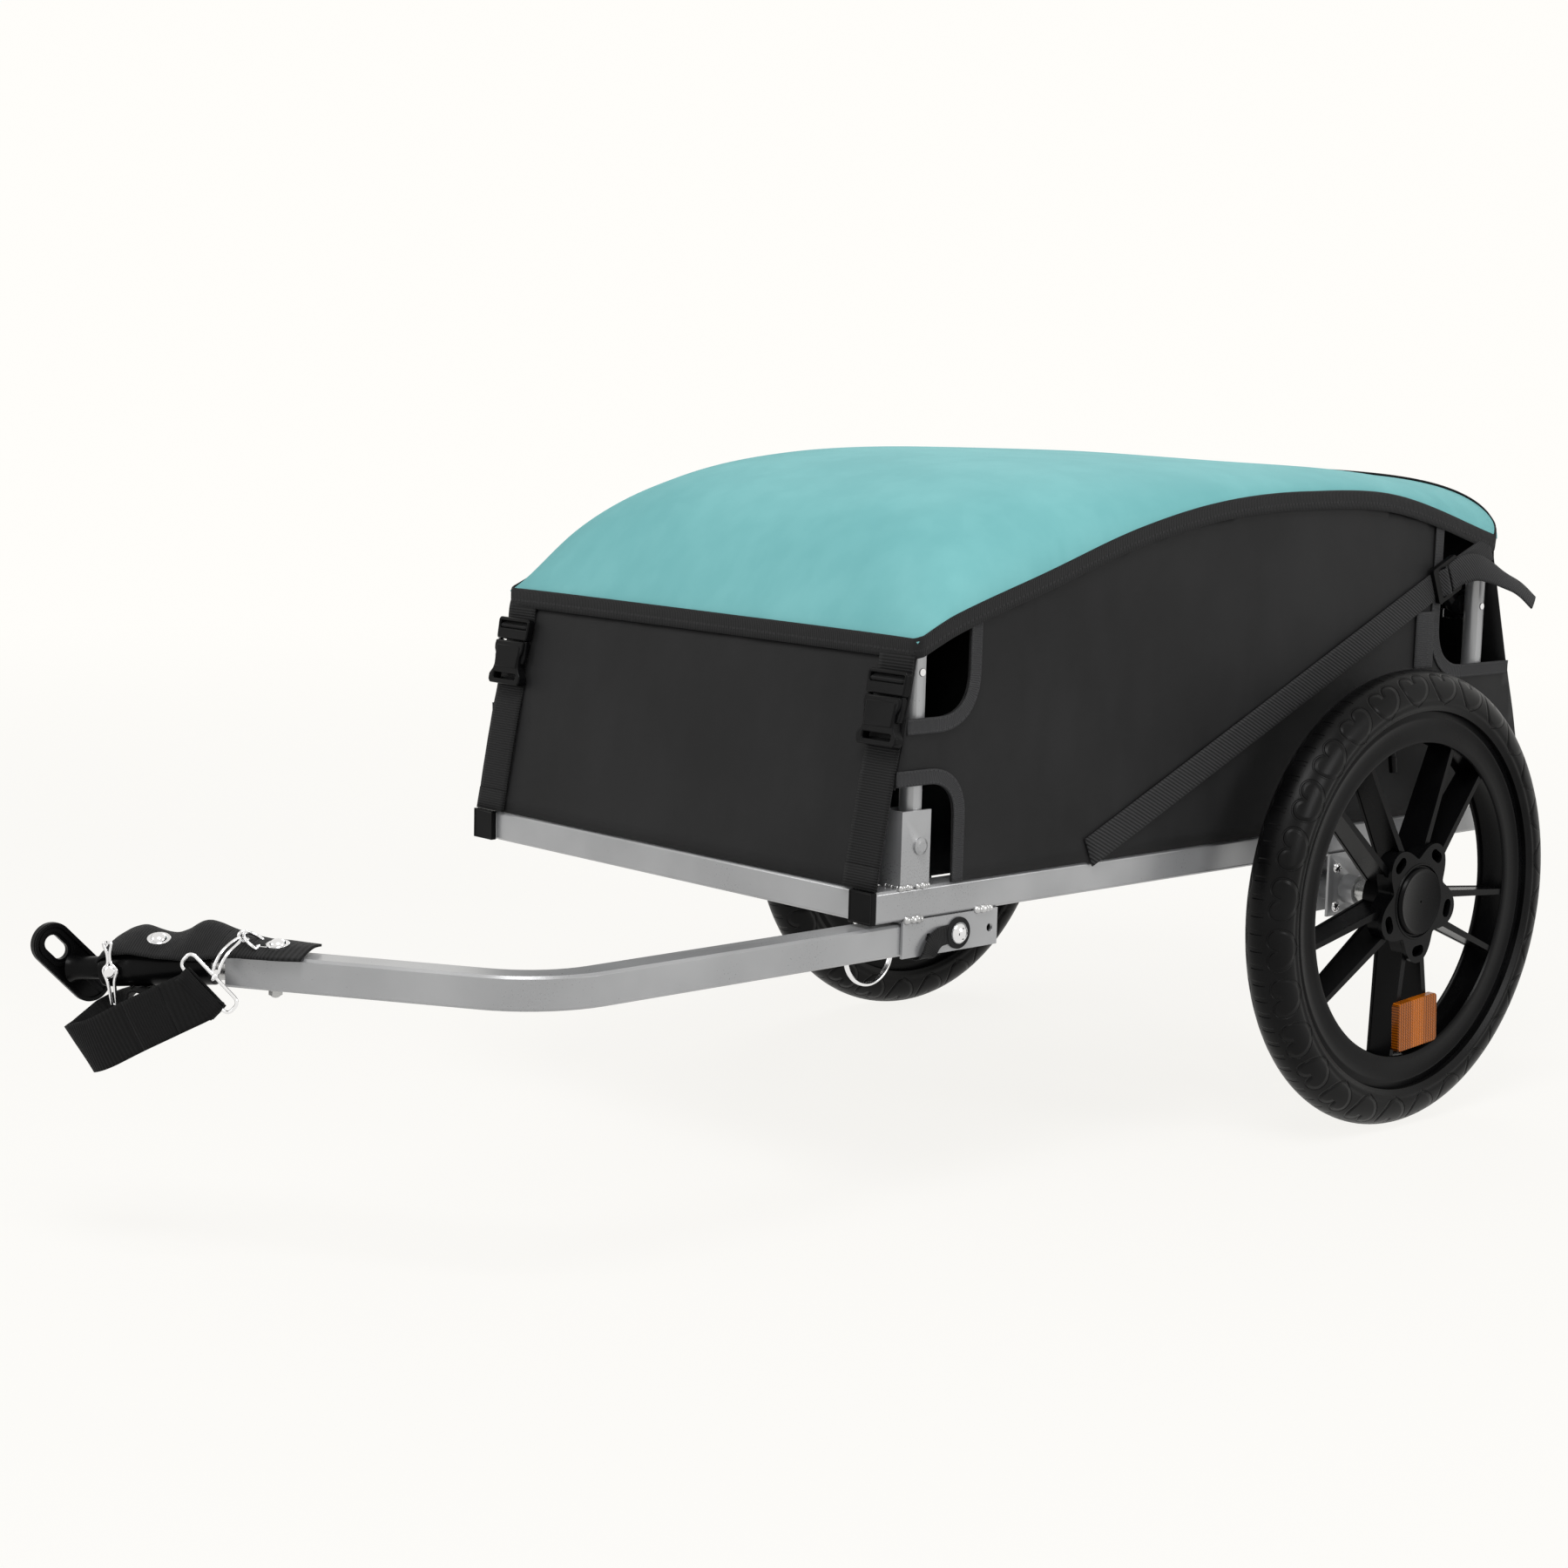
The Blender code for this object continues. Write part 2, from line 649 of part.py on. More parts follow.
def upright_bracket(name, side, pivot, head_outside, steel, frame):
    """A steel channel on a side rail, with the bolt that an upright turns on.

    Its web faces forward, so the upright can only fold to the rear.
    """
    outer_x = FRAME_HALF_WIDTH
    inner_x = UPRIGHT_X - UPRIGHT_RADIUS - RUNNING - BRACKET_PLATE
    y, z = pivot
    low = (inner_x, y - BRACKET_AHEAD_OF_PIVOT, CLOTH_BOTTOM)
    high = (outer_x, y + BRACKET_BEHIND_PIVOT, z + BRACKET_ABOVE_PIVOT)
    shape = block(mirror_x(low, side), mirror_x(high, side))
    bmesh.ops.recalc_face_normals(shape, faces=shape.faces[:])
    bracket = add(name, shape, steel, frame)
    low = (inner_x + BRACKET_PLATE, low[1] + BRACKET_PLATE, CLOTH_BOTTOM - TUBE)
    high = (outer_x - BRACKET_PLATE, high[1] + TUBE, high[2] + TUBE)
    inside = block(mirror_x(low, side), mirror_x(high, side))
    bmesh.ops.recalc_face_normals(inside, faces=inside.faces[:])
    cut(bracket, inside)
    shank = circle(PIVOT_BOLT_RADIUS, 16)
    head = circle(PIVOT_HEAD_RADIUS, 16)
    crown = circle(PIVOT_HEAD_RADIUS * 0.6, 16)
    if head_outside:
        start, direction, length = inner_x + SEAT_REACH, side, outer_x - inner_x - SEAT_REACH
    else:
        start, direction, length = outer_x - SEAT_REACH, -side, outer_x - inner_x - SEAT_REACH
    reach = PIVOT_HEAD_HEIGHT
    steps = [(0, shank), (length - SEAT_REACH, shank), (length - SEAT_REACH, head)]
    steps += [(length + reach / 2, head), (length + reach, crown)]
    join(bracket, stepped((side * start, y, z), (direction, 0, 0), steps))
    return bracket


def upright_brackets(steel, frame):
    for name, side in both_sides():
        front = (FRONT_PIVOT_Y, FRONT_PIVOT_Z)
        rear = (REAR_PIVOT_Y, REAR_PIVOT_Z)
        upright_bracket("front_%s_bracket" % name, side, front, True, steel, frame)
        upright_bracket("rear_%s_bracket" % name, side, rear, False, steel, frame)


def axle_brackets(steel, frame):
    """A channel under each side rail with a bush through it for the quick-release axle, and four screws."""
    half = AXLE_BRACKET_LENGTH / 2
    top = RAIL_BOTTOM - GAP
    bottom = top - AXLE_BRACKET_DROP
    for name, side in both_sides():
        low = mirror_x((RAIL_INNER_X, -half, bottom), side)
        high = mirror_x((FRAME_HALF_WIDTH, half, top), side)
        bracket = add(name + "_axle_bracket", closed(block(low, high)), steel, frame)
        inner_low = (RAIL_INNER_X + AXLE_BRACKET_PLATE, -half - TUBE, bottom - TUBE)
        inner_high = (FRAME_HALF_WIDTH - AXLE_BRACKET_PLATE, half + TUBE, top - AXLE_BRACKET_PLATE)
        cut(bracket, closed(block(mirror_x(inner_low, side), mirror_x(inner_high, side))))
        inner = (side * RAIL_INNER_X, 0, WHEEL_RADIUS)
        outer = (side * (FRAME_HALF_WIDTH + BUSH_OUT), 0, WHEEL_RADIUS)
        join(bracket, rod(inner, outer, BUSH_RADIUS, 20))
        screws = bmesh.new()
        for y in (-half + BRACKET_SCREW_INSET, half - BRACKET_SCREW_INSET):
            for z in (bottom + BRACKET_SCREW_INSET / 1.4, top - AXLE_BRACKET_PLATE - BRACKET_SCREW_INSET):
                start = (side * (FRAME_HALF_WIDTH - SEAT_REACH), y, z)
                end = (side * (FRAME_HALF_WIDTH + BRACKET_SCREW_HEIGHT), y, z)
                append(screws, rod(start, end, BRACKET_SCREW_RADIUS, 12, BRACKET_SCREW_RADIUS * 0.8))
        join(bracket, screws)
        past = SEAT_REACH * 5
        inner = (side * (RAIL_INNER_X - past), 0, WHEEL_RADIUS)
        outer = (side * (FRAME_HALF_WIDTH + BUSH_OUT + past), 0, WHEEL_RADIUS)
        cut(bracket, rod(inner, outer, AXLE_RADIUS + RUNNING, 16))


def append(bm, other):
    """Adds the faces of one bmesh to another."""
    mesh = bpy.data.meshes.new("part_of_helper")
    other.to_mesh(mesh)
    other.free()
    bm.from_mesh(mesh)
    bpy.data.meshes.remove(mesh)


# Wheels


def tyre_outline():
    """(x, r) outline of the tyre: square beads in the rim, then a round section."""
    middle = WHEEL_RADIUS - TYRE_WIDTH / 2
    outline = [(-BEAD_HALF_WIDTH, TYRE_SEAT), (BEAD_HALF_WIDTH, TYRE_SEAT)]
    outline.append((BEAD_HALF_WIDTH, TYRE_SEAT + BEAD_DEPTH))
    outline += arc((0, middle), TYRE_WIDTH / 2, -28, 208, 8)
    outline.append((-BEAD_HALF_WIDTH, TYRE_SEAT + BEAD_DEPTH))
    return outline


def rim_outline():
    """(x, r) outline of the moulded rim: a channel for the tyre, tapering towards the spokes."""
    inner = BEAD_HALF_WIDTH + GAP
    outer = inner + RIM_LIP
    seat = TYRE_SEAT - GAP
    tip = TYRE_SEAT + BEAD_DEPTH - GAP * 2
    foot = TYRE_SEAT - RIM_DEPTH * 0.7
    half = [(inner, seat), (inner, tip), (outer, tip), (outer, TYRE_SEAT - RIM_DEPTH * 0.3), (inner, foot)]
    return half + [(-x, r) for x, r in reversed(half)]


def spoke_ribs(centre):
    """All spoke ribs of a wheel: pairs that spread from the hub to the rim."""
    ribs = bmesh.new()
    near = HUB_RADIUS - 0.004
    far = TYRE_SEAT - RIM_DEPTH * 0.7 + 0.004
    for i in range(SPOKE_PAIRS):
        angle = SPOKE_ANGLE + 2 * math.pi * i / SPOKE_PAIRS
        outwards = Vector((0, math.cos(angle), math.sin(angle)))
        across = Vector((0, -math.sin(angle), math.cos(angle)))
        for hand in (-1, 1):
            start = Vector(centre) + outwards * near + across * hand * SPOKE_SPREAD_HUB
            end = Vector(centre) + outwards * far + across * hand * SPOKE_SPREAD_RIM
            append(ribs, sweep([start, end], rectangle(SPOKE_WIDTH, SPOKE_DEPTH), (1, 0, 0)))
    return ribs


def wheels(black, rubber, steel, amber, frame):
    for name, side in both_sides():
        centre = Vector((side * TRACK_HALF, 0, WHEEL_RADIUS))
        release = empty_at(name + "_axle_slide", (side * TRACK_HALF, 0, WHEEL_RADIUS), frame)
        spin = empty_at(name + "_wheel_spin", (side * TRACK_HALF, 0, WHEEL_RADIUS), release)
        add(name + "_tyre", turned(tyre_outline(), centre, WHEEL_SIDES), rubber, spin, smooth=True)
        rim = add(name + "_rim", turned(rim_outline(), centre, WHEEL_SIDES), black, spin, smooth=True)
        out = Vector((side, 0, 0))
        steps = [
            (0, circle(HUB_RADIUS * 0.8, 24)), (0.006, circle(HUB_RADIUS, 24)),
            (2 * HUB_HALF_LENGTH, circle(HUB_RADIUS, 24)), (2 * HUB_HALF_LENGTH, circle(CAP_RADIUS, 24)),
            (2 * HUB_HALF_LENGTH + CAP_THICKNESS, circle(CAP_RADIUS - 0.001, 24)),
        ]
        join(rim, stepped(centre - out * HUB_HALF_LENGTH, out, steps))
        join(rim, spoke_ribs(centre))
        bore_end = HUB_HALF_LENGTH - 0.004
        cut(rim, rod(centre - out * (HUB_HALF_LENGTH + 0.01), centre + out * bore_end, AXLE_RADIUS + RUNNING, 16))
        shank = circle(AXLE_RADIUS, 16)
        collar = circle(AXLE_COLLAR_RADIUS, 16)
        inner = RAIL_INNER_X - SEAT_REACH * 2
        collar_start = FRAME_HALF_WIDTH + BUSH_OUT + GAP
        collar_end = TRACK_HALF - HUB_HALF_LENGTH - GAP
        end = TRACK_HALF + bore_end - SEAT_REACH
        steps = [(inner, shank), (collar_start, shank), (collar_start, collar), (collar_end, collar)]
        steps += [(collar_end, shank), (end, shank)]
        add(name + "_axle", stepped((0, 0, WHEEL_RADIUS), out, steps), steel, release, smooth=True)
        add(name + "_reflector", reflector(centre, side), amber, spin)


def reflector(centre, side):
    """A flat block clipped across the lowest pair of spoke ribs, outside them."""
    outwards = Vector((0, math.cos(SPOKE_ANGLE), math.sin(SPOKE_ANGLE)))
    across = Vector((0, -math.sin(SPOKE_ANGLE), math.cos(SPOKE_ANGLE)))
    reach = TYRE_SEAT - RIM_DEPTH - REFLECTOR_HEIGHT / 2
    middle = centre + outwards * reach + Vector((side, 0, 0)) * (SPOKE_DEPTH / 2 + GAP)
    outline = rectangle(REFLECTOR_LENGTH, REFLECTOR_HEIGHT)
    return plate(outline, lambda u, v: middle + across * u - outwards * v, (side * REFLECTOR_DEPTH, 0, 0))


# Folding top frame


def upright(name, side, pivot, above, steel, carrier):
    """A round tube that turns on its bracket's bolt and carries the top frame on a lock pin."""
    y, z = pivot
    outer, inner = tube_wall(UPRIGHT_RADIUS, UPRIGHT_WALL)
    bottom = (side * UPRIGHT_X, y, z - UPRIGHT_BELOW_PIVOT)
    top = (side * UPRIGHT_X, y, z + LINK_HEIGHT + above)
    tube = add(name, pipe([bottom, top], outer, inner, (0, 1, 0)), steel, carrier, smooth=True)
    reach = UPRIGHT_RADIUS * 2
    for height, radius in ((z, PIVOT_BOLT_RADIUS), (z + LINK_HEIGHT, LOCK_PIN_RADIUS)):
        start = (side * (UPRIGHT_X - reach), y, height)
        end = (side * (UPRIGHT_X + reach), y, height)
        cut(tube, rod(start, end, radius + RUNNING, 12))
    return tube


def top_bar_route():
    """(y, z) knots of a side bar: up from the front pin, an arch under the cover, down to the rear pin."""
    under = TOP_BAR_RADIUS + COVER_CLOTH + EDGE_GAP
    edge_x = TOP_BAR_X + TOP_BAR_RADIUS
    knots = [
        (FRONT_PIVOT_Y, PIN_Z - TOP_BAR_END), (FRONT_PIVOT_Y, PIN_Z),
        (FRONT_PIVOT_Y + 0.006, PIN_Z + 0.014), (FRONT_PIVOT_Y + 0.024, PIN_Z + 0.034),
    ]
    for i in range(7):
        y = ARCH_FRONT_Y + (ARCH_REAR_Y - ARCH_FRONT_Y) * i / 6
        knots.append((y, cover_height(edge_x, y) - under))
    last = Vector((knots[-1][0], knots[-1][1]))
    pin = Vector((REAR_PIVOT_Y, REAR_PIN_Z))
    down = (pin - last).normalized()
    for place in (last + (pin - last) * 0.25, last + (pin - last) * 0.6, pin, pin + down * TOP_BAR_END):
        knots.append((place.x, place.y))
    return knots


def top_frame(black, carrier):
    """Two side bars with a boss at each pin, a straight front bar, and a bow that holds the cover up."""
    outer, inner = tube_wall(TOP_BAR_RADIUS, TOP_BAR_WALL, 10)
    route = top_bar_route()
    for name, side in both_sides():
        path = [Vector((side * TOP_BAR_X, y, z)) for y, z in route]
        bar = add(name + "_top_bar", pipe(path, outer, inner, (1, 0, 0)), black, carrier, smooth=True)
        inner_x, outer_x = TOP_BAR_X - TOP_BAR_RADIUS, UPRIGHT_X - UPRIGHT_RADIUS - GAP
        for y, z in ((FRONT_PIVOT_Y, PIN_Z), (REAR_PIVOT_Y, REAR_PIN_Z)):
            boss_start = (side * (TOP_BAR_X + TOP_BAR_RADIUS / 2), y, z)
            join(bar, rod(boss_start, (side * outer_x, y, z), BOSS_RADIUS, 16))
            start = (side * (inner_x - TUBE), y, z)
            cut(bar, rod(start, (side * (outer_x + TUBE), y, z), LOCK_PIN_RADIUS + RUNNING, 12))
    half = TOP_BAR_X - TOP_BAR_RADIUS - GAP
    y = FRONT_PIVOT_Y + FRONT_BAR_BEHIND_PIN
    z = PIN_Z + FRONT_BAR_ABOVE_PIN
    bar = pipe([(-half, y, z), (half, y, z)], outer, inner, (0, 0, 1))
    add("front_top_bar", bar, black, carrier, smooth=True)
    y = REAR_PIVOT_Y - BOW_AHEAD_OF_PIN
    foot = Vector(route[-5]).lerp(Vector(route[-2]), (y - route[-5][0]) / (REAR_PIVOT_Y - route[-5][0])).y
    reach = half - TOP_BAR_RADIUS
    rise = cover_height(0, y) - TOP_BAR_RADIUS - COVER_CLOTH - EDGE_GAP - foot
    path = [(-reach, y, foot - TOP_BAR_RADIUS / 2)]
    for i in range(13):
        angle = math.pi * (i / 12 - 0.5)
        wide, high = math.sin(angle), math.cos(angle)
        x = reach * math.copysign(abs(wide) ** (2 / 3), wide)
        path.append((x, y, foot + rise * max(high, 0.0) ** (2 / 3)))
    path.append((reach, y, foot - TOP_BAR_RADIUS / 2))
    add("cover_bow", pipe(path, outer, inner, (0, 1, 0)), black, carrier, smooth=True)


def lock_pins(bright, carrier):
    """Four pins through uprights and top bars, with wire bails: rings in front, clips over the bosses behind."""
    ends = (("front", FRONT_PIVOT_Y, PIN_Z), ("rear", REAR_PIVOT_Y, REAR_PIN_Z))
    for end, y, z in ends:
        for name, side in both_sides():
            head_x = TOP_BAR_X - TOP_BAR_RADIUS - GAP
            tip_x = UPRIGHT_X + UPRIGHT_RADIUS + SEAT_REACH
            slide = empty_at("%s_%s_pin_slide" % (end, name), (side * head_x, y, z), carrier)
            shank = circle(LOCK_PIN_RADIUS, 12)
            head = circle(LOCK_PIN_HEAD_RADIUS, 12)
            length = LOCK_PIN_HEAD_LENGTH
            steps = [(0, head), (length, head), (length, shank), (length + tip_x - head_x, shank)]
            start = (side * (head_x - length), y, z)
            body = stepped(start, (side, 0, 0), steps)
            pin = add("%s_%s_lock_pin" % (end, name), body, bright, slide, smooth=True)
            back = head_x - length / 2
            if end == "front":
                centre = (side * back, y + BAIL_RADIUS * 0.8, z)
                join(pin, loop_wire(centre, (1, 0, 0), BAIL_RADIUS, BAIL_WIRE, 16, 5))
                continue
            reach, tip = BAIL_RADIUS - BAIL_WIRE * 2, UPRIGHT_X - UPRIGHT_RADIUS - BAIL_WIRE * 2
            path = [(tip, y, z + reach), (back, y, z + reach), (back, y, z - reach), (tip, y, z - reach)]
            path = [mirror_x(place, side) for place in path]
            join(pin, sweep(path, circle(BAIL_WIRE, 5), (0, 1, 0)))


# Fabric body


def front_plane(x, z, out=0.0):
    """A point on the front panel's outer face, or that far in front of it."""
    return Vector((x, FRONT_Y + GAP + (z - CLOTH_BOTTOM) * FRONT_PANEL_LEAN - out, z))


def rear_plane(x, z, out=0.0):
    """A point on the rear panel's outer face: it leans forward up to the side corners, then stands upright."""
    lean = (min(z, REAR_CORNER_Z - PANEL_TOP_DROP - EDGE_GAP) - CLOTH_BOTTOM) * REAR_PANEL_LEAN
    return Vector((x, REAR_PANEL_FOOT_Y + lean + out, z))


def rounded(corner, before, after, radius, steps=5):
    """Points that round a corner of an outline."""
    corner, before, after = Vector(corner), Vector(before), Vector(after)
    start = corner + (before - corner).normalized() * radius
    end = corner + (after - corner).normalized() * radius
    found = []
    for i in range(steps + 1):
        t = i / steps
        found.append(tuple(start * (1 - t) ** 2 + corner * 2 * t * (1 - t) + end * t**2))
    return found


def cover_station(i):
    """Where row i of the cover lies along the length: the rows are closer together at both ends."""
    return FRONT_TOP_Y + (REAR_TOP_Y - FRONT_TOP_Y) * (1 - math.cos(math.pi * i / COVER_ROWS)) / 2


def side_panel_outline():
    """(y, z) outline of a side panel, with its three cut-outs for the brackets and pins."""
    stations = [cover_station(i) for i in range(COVER_ROWS + 1)]

    def top(y):
        i = max(k for k in range(COVER_ROWS) if stations[k] <= y)
        low, high = stations[i], stations[i + 1]
        start, end = height_along(SIDE_EDGE, low), height_along(SIDE_EDGE, high)
        return start + (end - start) * (y - low) / (high - low) - PANEL_TOP_DROP

    front_high = front_plane(0, FRONT_CUT_BOTTOM)
    front_low = front_plane(0, LOW_CUT_TOP)
    rear_low = rear_plane(0, CLOTH_BOTTOM)
    rear_high = rear_plane(0, REAR_CUT_BOTTOM)
    outline = [(LOW_CUT_Y, CLOTH_BOTTOM), (rear_low.y, rear_low.z), (rear_high.y, rear_high.z)]
    corner = (REAR_CUT_Y, REAR_CUT_BOTTOM)
    outline += rounded(corner, (rear_high.y, rear_high.z), (REAR_CUT_Y, top(REAR_CUT_Y)), CUT_RADIUS * 1.4)
    between = [y for y in reversed(stations) if FRONT_CUT_Y + 0.002 < y < REAR_CUT_Y - 0.002]
    outline += [(y, top(y)) for y in [REAR_CUT_Y] + between + [FRONT_CUT_Y]]
    corner = (FRONT_CUT_Y, FRONT_CUT_BOTTOM)
    outline += rounded(corner, (FRONT_CUT_Y, top(FRONT_CUT_Y)), (front_high.y, front_high.z), CUT_RADIUS * 1.2)
    outline += [(front_high.y, front_high.z), (front_low.y, front_low.z)]
    corner = (LOW_CUT_Y, LOW_CUT_TOP)
    outline += rounded(corner, (front_low.y, front_low.z), (LOW_CUT_Y, CLOTH_BOTTOM), CUT_RADIUS)
    return outline


def side_panels(cloth, frame):
    for name, side in both_sides():
        outline = side_panel_outline()
        sheet = plate(outline, lambda y, z: Vector((side * CLOTH_X, y, z)), (side * CLOTH, 0, 0))
        add(name + "_panel", sheet, cloth, frame)


def front_panel(cloth, frame):
    """The front panel, cut away at its lower corners, with the lower webbing of the front straps sewn to it."""
    half = CLOTH_X - GAP
    cut_x, cut_z, top = FRONT_CORNER_CUT_X, FRONT_CORNER_CUT_TOP, FRONT_PANEL_TOP
    radius = FRONT_CORNER_CUT_RADIUS
    right = [(cut_x, CLOTH_BOTTOM)]
    right += rounded((cut_x, cut_z), (cut_x, CLOTH_BOTTOM), (half, cut_z), radius) + [(half, cut_z)]
    outline = right + [(half, top), (-half, top)] + [(-x, z) for x, z in reversed(right)]
    depth = Vector((0, CLOTH, 0))
    panel = add("front_panel", plate(outline, front_plane, depth), cloth, frame)
    webbing = bmesh.new()
    for _, side in both_sides():
        low, high = CLOTH_BOTTOM, BUCKLE_SPLIT - 0.012
        left, right = FRONT_WEB_X - FRONT_WEB_WIDTH / 2, FRONT_WEB_X + FRONT_WEB_WIDTH / 2
        outline = [(side * left, low), (side * right, low), (side * right, high), (side * left, high)]
        append(webbing, plate(outline, lambda x, z: front_plane(x, z, WEBBING), (0, WEBBING + CLOTH / 2, 0)))
    join(panel, webbing)


def rear_panel(cloth, frame):
    half = CLOTH_X - GAP
    grids = []
    for out in (0, -CLOTH):
        rows = []
        for level in range(3):
            row = []
            for i in range(COVER_COLUMNS + 1):
                wave = math.sin((2 * i / COVER_COLUMNS - 1) * math.pi / 2)
                top = cover_height(wave * BODY_X, REAR_TOP_Y) - PANEL_TOP_DROP
                z = (CLOTH_BOTTOM, REAR_CORNER_Z - PANEL_TOP_DROP - EDGE_GAP, top)[level]
                row.append(rear_plane(wave * half, z, out))
            rows.append(row)
        grids.append(rows)
    add("rear_panel", shell(*grids), cloth, frame)


def floor(cloth, frame):
    half = UPRIGHT_X - UPRIGHT_RADIUS - RUNNING - BRACKET_PLATE - 2 * GAP
    top = CLOTH_BOTTOM + FLOOR_CLOTH
    front = front_plane(0, top + FLOOR_CLEAR, -CLOTH - GAP).y
    rear = rear_plane(0, top + FLOOR_CLEAR, -CLOTH - GAP).y
    add("cargo_floor", block((-half, front, CLOTH_BOTTOM), (half, rear, top)), cloth, frame)


def cover_grid(inset, drop):
    """Rows of points of one face of the cover, with the skirt as an extra row or column all round."""
    rows = []
    side = BODY_X - inset
    for i in range(-1, COVER_ROWS + 2):
        true_y = cover_station(min(max(i, 0), COVER_ROWS))
        y = min(max(true_y, FRONT_TOP_Y + inset), REAR_TOP_Y - inset)
        row = []
        for j in range(-1, COVER_COLUMNS + 2):
            u = 2 * min(max(j, 0), COVER_COLUMNS) / COVER_COLUMNS - 1
            wave = math.sin(u * math.pi / 2)
            z = cover_height(wave * BODY_X, true_y)
            lowered = i in (-1, COVER_ROWS + 1) or j in (-1, COVER_COLUMNS + 1)
            row.append(Vector((wave * side, y, z - SKIRT if lowered else z - drop)))
        rows.append(row)
    return rows


def cover(cloth, carrier):
    """The bulging cover with a skirt all round."""
    bm = bmesh.new()
    borders = []
    for inset, drop in ((0, 0), (CLOTH, COVER_CLOTH)):
        grid = cover_grid(inset, drop)
        last_i, last_j = len(grid) - 1, len(grid[0]) - 1
        verts = {}
        for i, row in enumerate(grid):
            for j, point in enumerate(row):
                if not (i in (0, last_i) and j in (0, 1, last_j - 1, last_j)):
                    verts[i, j] = bm.verts.new(point)
        for i, near_i in ((0, 1), (last_i, last_i - 1)):
            verts[i, 1] = verts[near_i, 0]
            verts[i, last_j - 1] = verts[near_i, last_j]
        for i in range(last_i):
            for j in range(last_j):
                keys = [(i, j), (i, j + 1), (i + 1, j + 1), (i + 1, j)]
                if all(k in verts for k in keys):
                    bm.faces.new([verts[k] for k in keys])
        border = [verts[0, j] for j in range(1, last_j)] + [verts[i, last_j] for i in range(2, last_i - 1)]
        border += [verts[last_i, j] for j in range(last_j - 1, 0, -1)]
        border += [verts[i, 0] for i in range(last_i - 2, 1, -1)]
        borders.append(border)
    skin(bm, borders[0], borders[1])
    add("cover", closed(bm), cloth, carrier, smooth=True)


def front_buckles(black, top, cover_carrier):
    """A side-release buckle on each front strap: the clip hangs from the cover on webbing, over the socket.

    Both turn about the cover's front edge when the top frame folds down.
    """
    out = WEBBING + GAP
    edge_y = FRONT_TOP_Y - GAP
    half = BUCKLE_WIDTH / 2
    waist = half * 0.82
    neck = (SOCKET_BOTTOM + BUCKLE_SPLIT) / 2
    for name, side in both_sides():
        place = buckle_place(side, out)
        swing = empty_at(name + "_socket_swing", (side * FRONT_WEB_X, edge_y, TAB_TOP), top)
        low, high = SOCKET_BOTTOM, BUCKLE_SPLIT - GAP
        outline = [(-half, high), (-half, neck + 0.006), (-waist, neck), (-half, low + 0.004), (-half * 0.9, low)]
        outline += [(-u, v) for u, v in reversed(outline)]
        add(name + "_buckle_socket", plate(outline, place, (0, -BUCKLE_THICKNESS, 0)), black, swing)
        swing = empty_at(name + "_clip_swing", (side * FRONT_WEB_X, edge_y, TAB_TOP), cover_carrier)
        low, high = BUCKLE_SPLIT, CLIP_TOP
        outline = [(-half, low), (-half, high - 0.003), (-half + 0.003, high)]
        outline += [(-u, v) for u, v in reversed(outline)]
        clip = add(name + "_buckle_clip", plate(outline, place, (0, -BUCKLE_THICKNESS * 0.8, 0)), black, swing)
        slot = rectangle(FRONT_WEB_WIDTH + 2 * SEAT_REACH, CLIP_SLOT)
        shift = [(u, v + high - CLIP_SLOT * 1.1) for u, v in slot]
        cut(clip, plate(shift, buckle_place(side, out - SEAT_REACH), (0, -BUCKLE_THICKNESS * 2, 0)))
        strap = WEBBING + GAP
        middle = [front_plane(side * FRONT_WEB_X, z, GAP + strap / 2) for z in (low + 0.004, high - 0.0025)]
        middle.append(Vector((side * FRONT_WEB_X, edge_y - strap / 2, high + 0.002)))
        middle.append(Vector((side * FRONT_WEB_X, edge_y - strap / 2, TAB_TOP)))
        join(clip, sweep(middle, rectangle(FRONT_WEB_WIDTH, strap), (0, -1, 0)))


def buckle_place(side, out):
    return lambda u, v: front_plane(side * FRONT_WEB_X + u, v, out)


def diagonal_straps(cloth, frame):
    """The strap across each side panel that keeps the top frame upright, with its ladder lock and loose tail."""
    for name, side in both_sides():
        x = side * (BODY_X + GAP + WEBBING / 2)
        foot, lock, top = (Vector((x, y, z)) for y, z in (DIAGONAL_FOOT, DIAGONAL_LOCK, DIAGONAL_TOP))
        run = (lock - foot).normalized()
        across = Vector((0, -run.z, run.y))
        band = ribbon([foot, lock, top], [across] * 3, DIAGONAL_WIDTH, WEBBING)
        strap = add(name + "_diagonal_strap", band, cloth, frame)
        length, width, depth = LADDER_LOCK
        outline = rectangle(length, width)
        start = Vector((side * (BODY_X + GAP), lock.y, lock.z))
        join(strap, plate(outline, lambda u, v: start + run * u + across * v, (side * depth, 0, 0)))
        end = Vector((side * (BODY_X + depth + WEBBING), *TAIL_END))
        tail_start = lock + Vector((side * depth / 2, 0, 0))
        middle = (tail_start + end) / 2 + Vector((0, 0, 0.012))
        fall = (end - tail_start).normalized()
        down = Vector((0, -fall.z, fall.y))
        join(strap, ribbon([tail_start, middle, end], [down] * 3, DIAGONAL_WIDTH, WEBBING))


# Tow arm


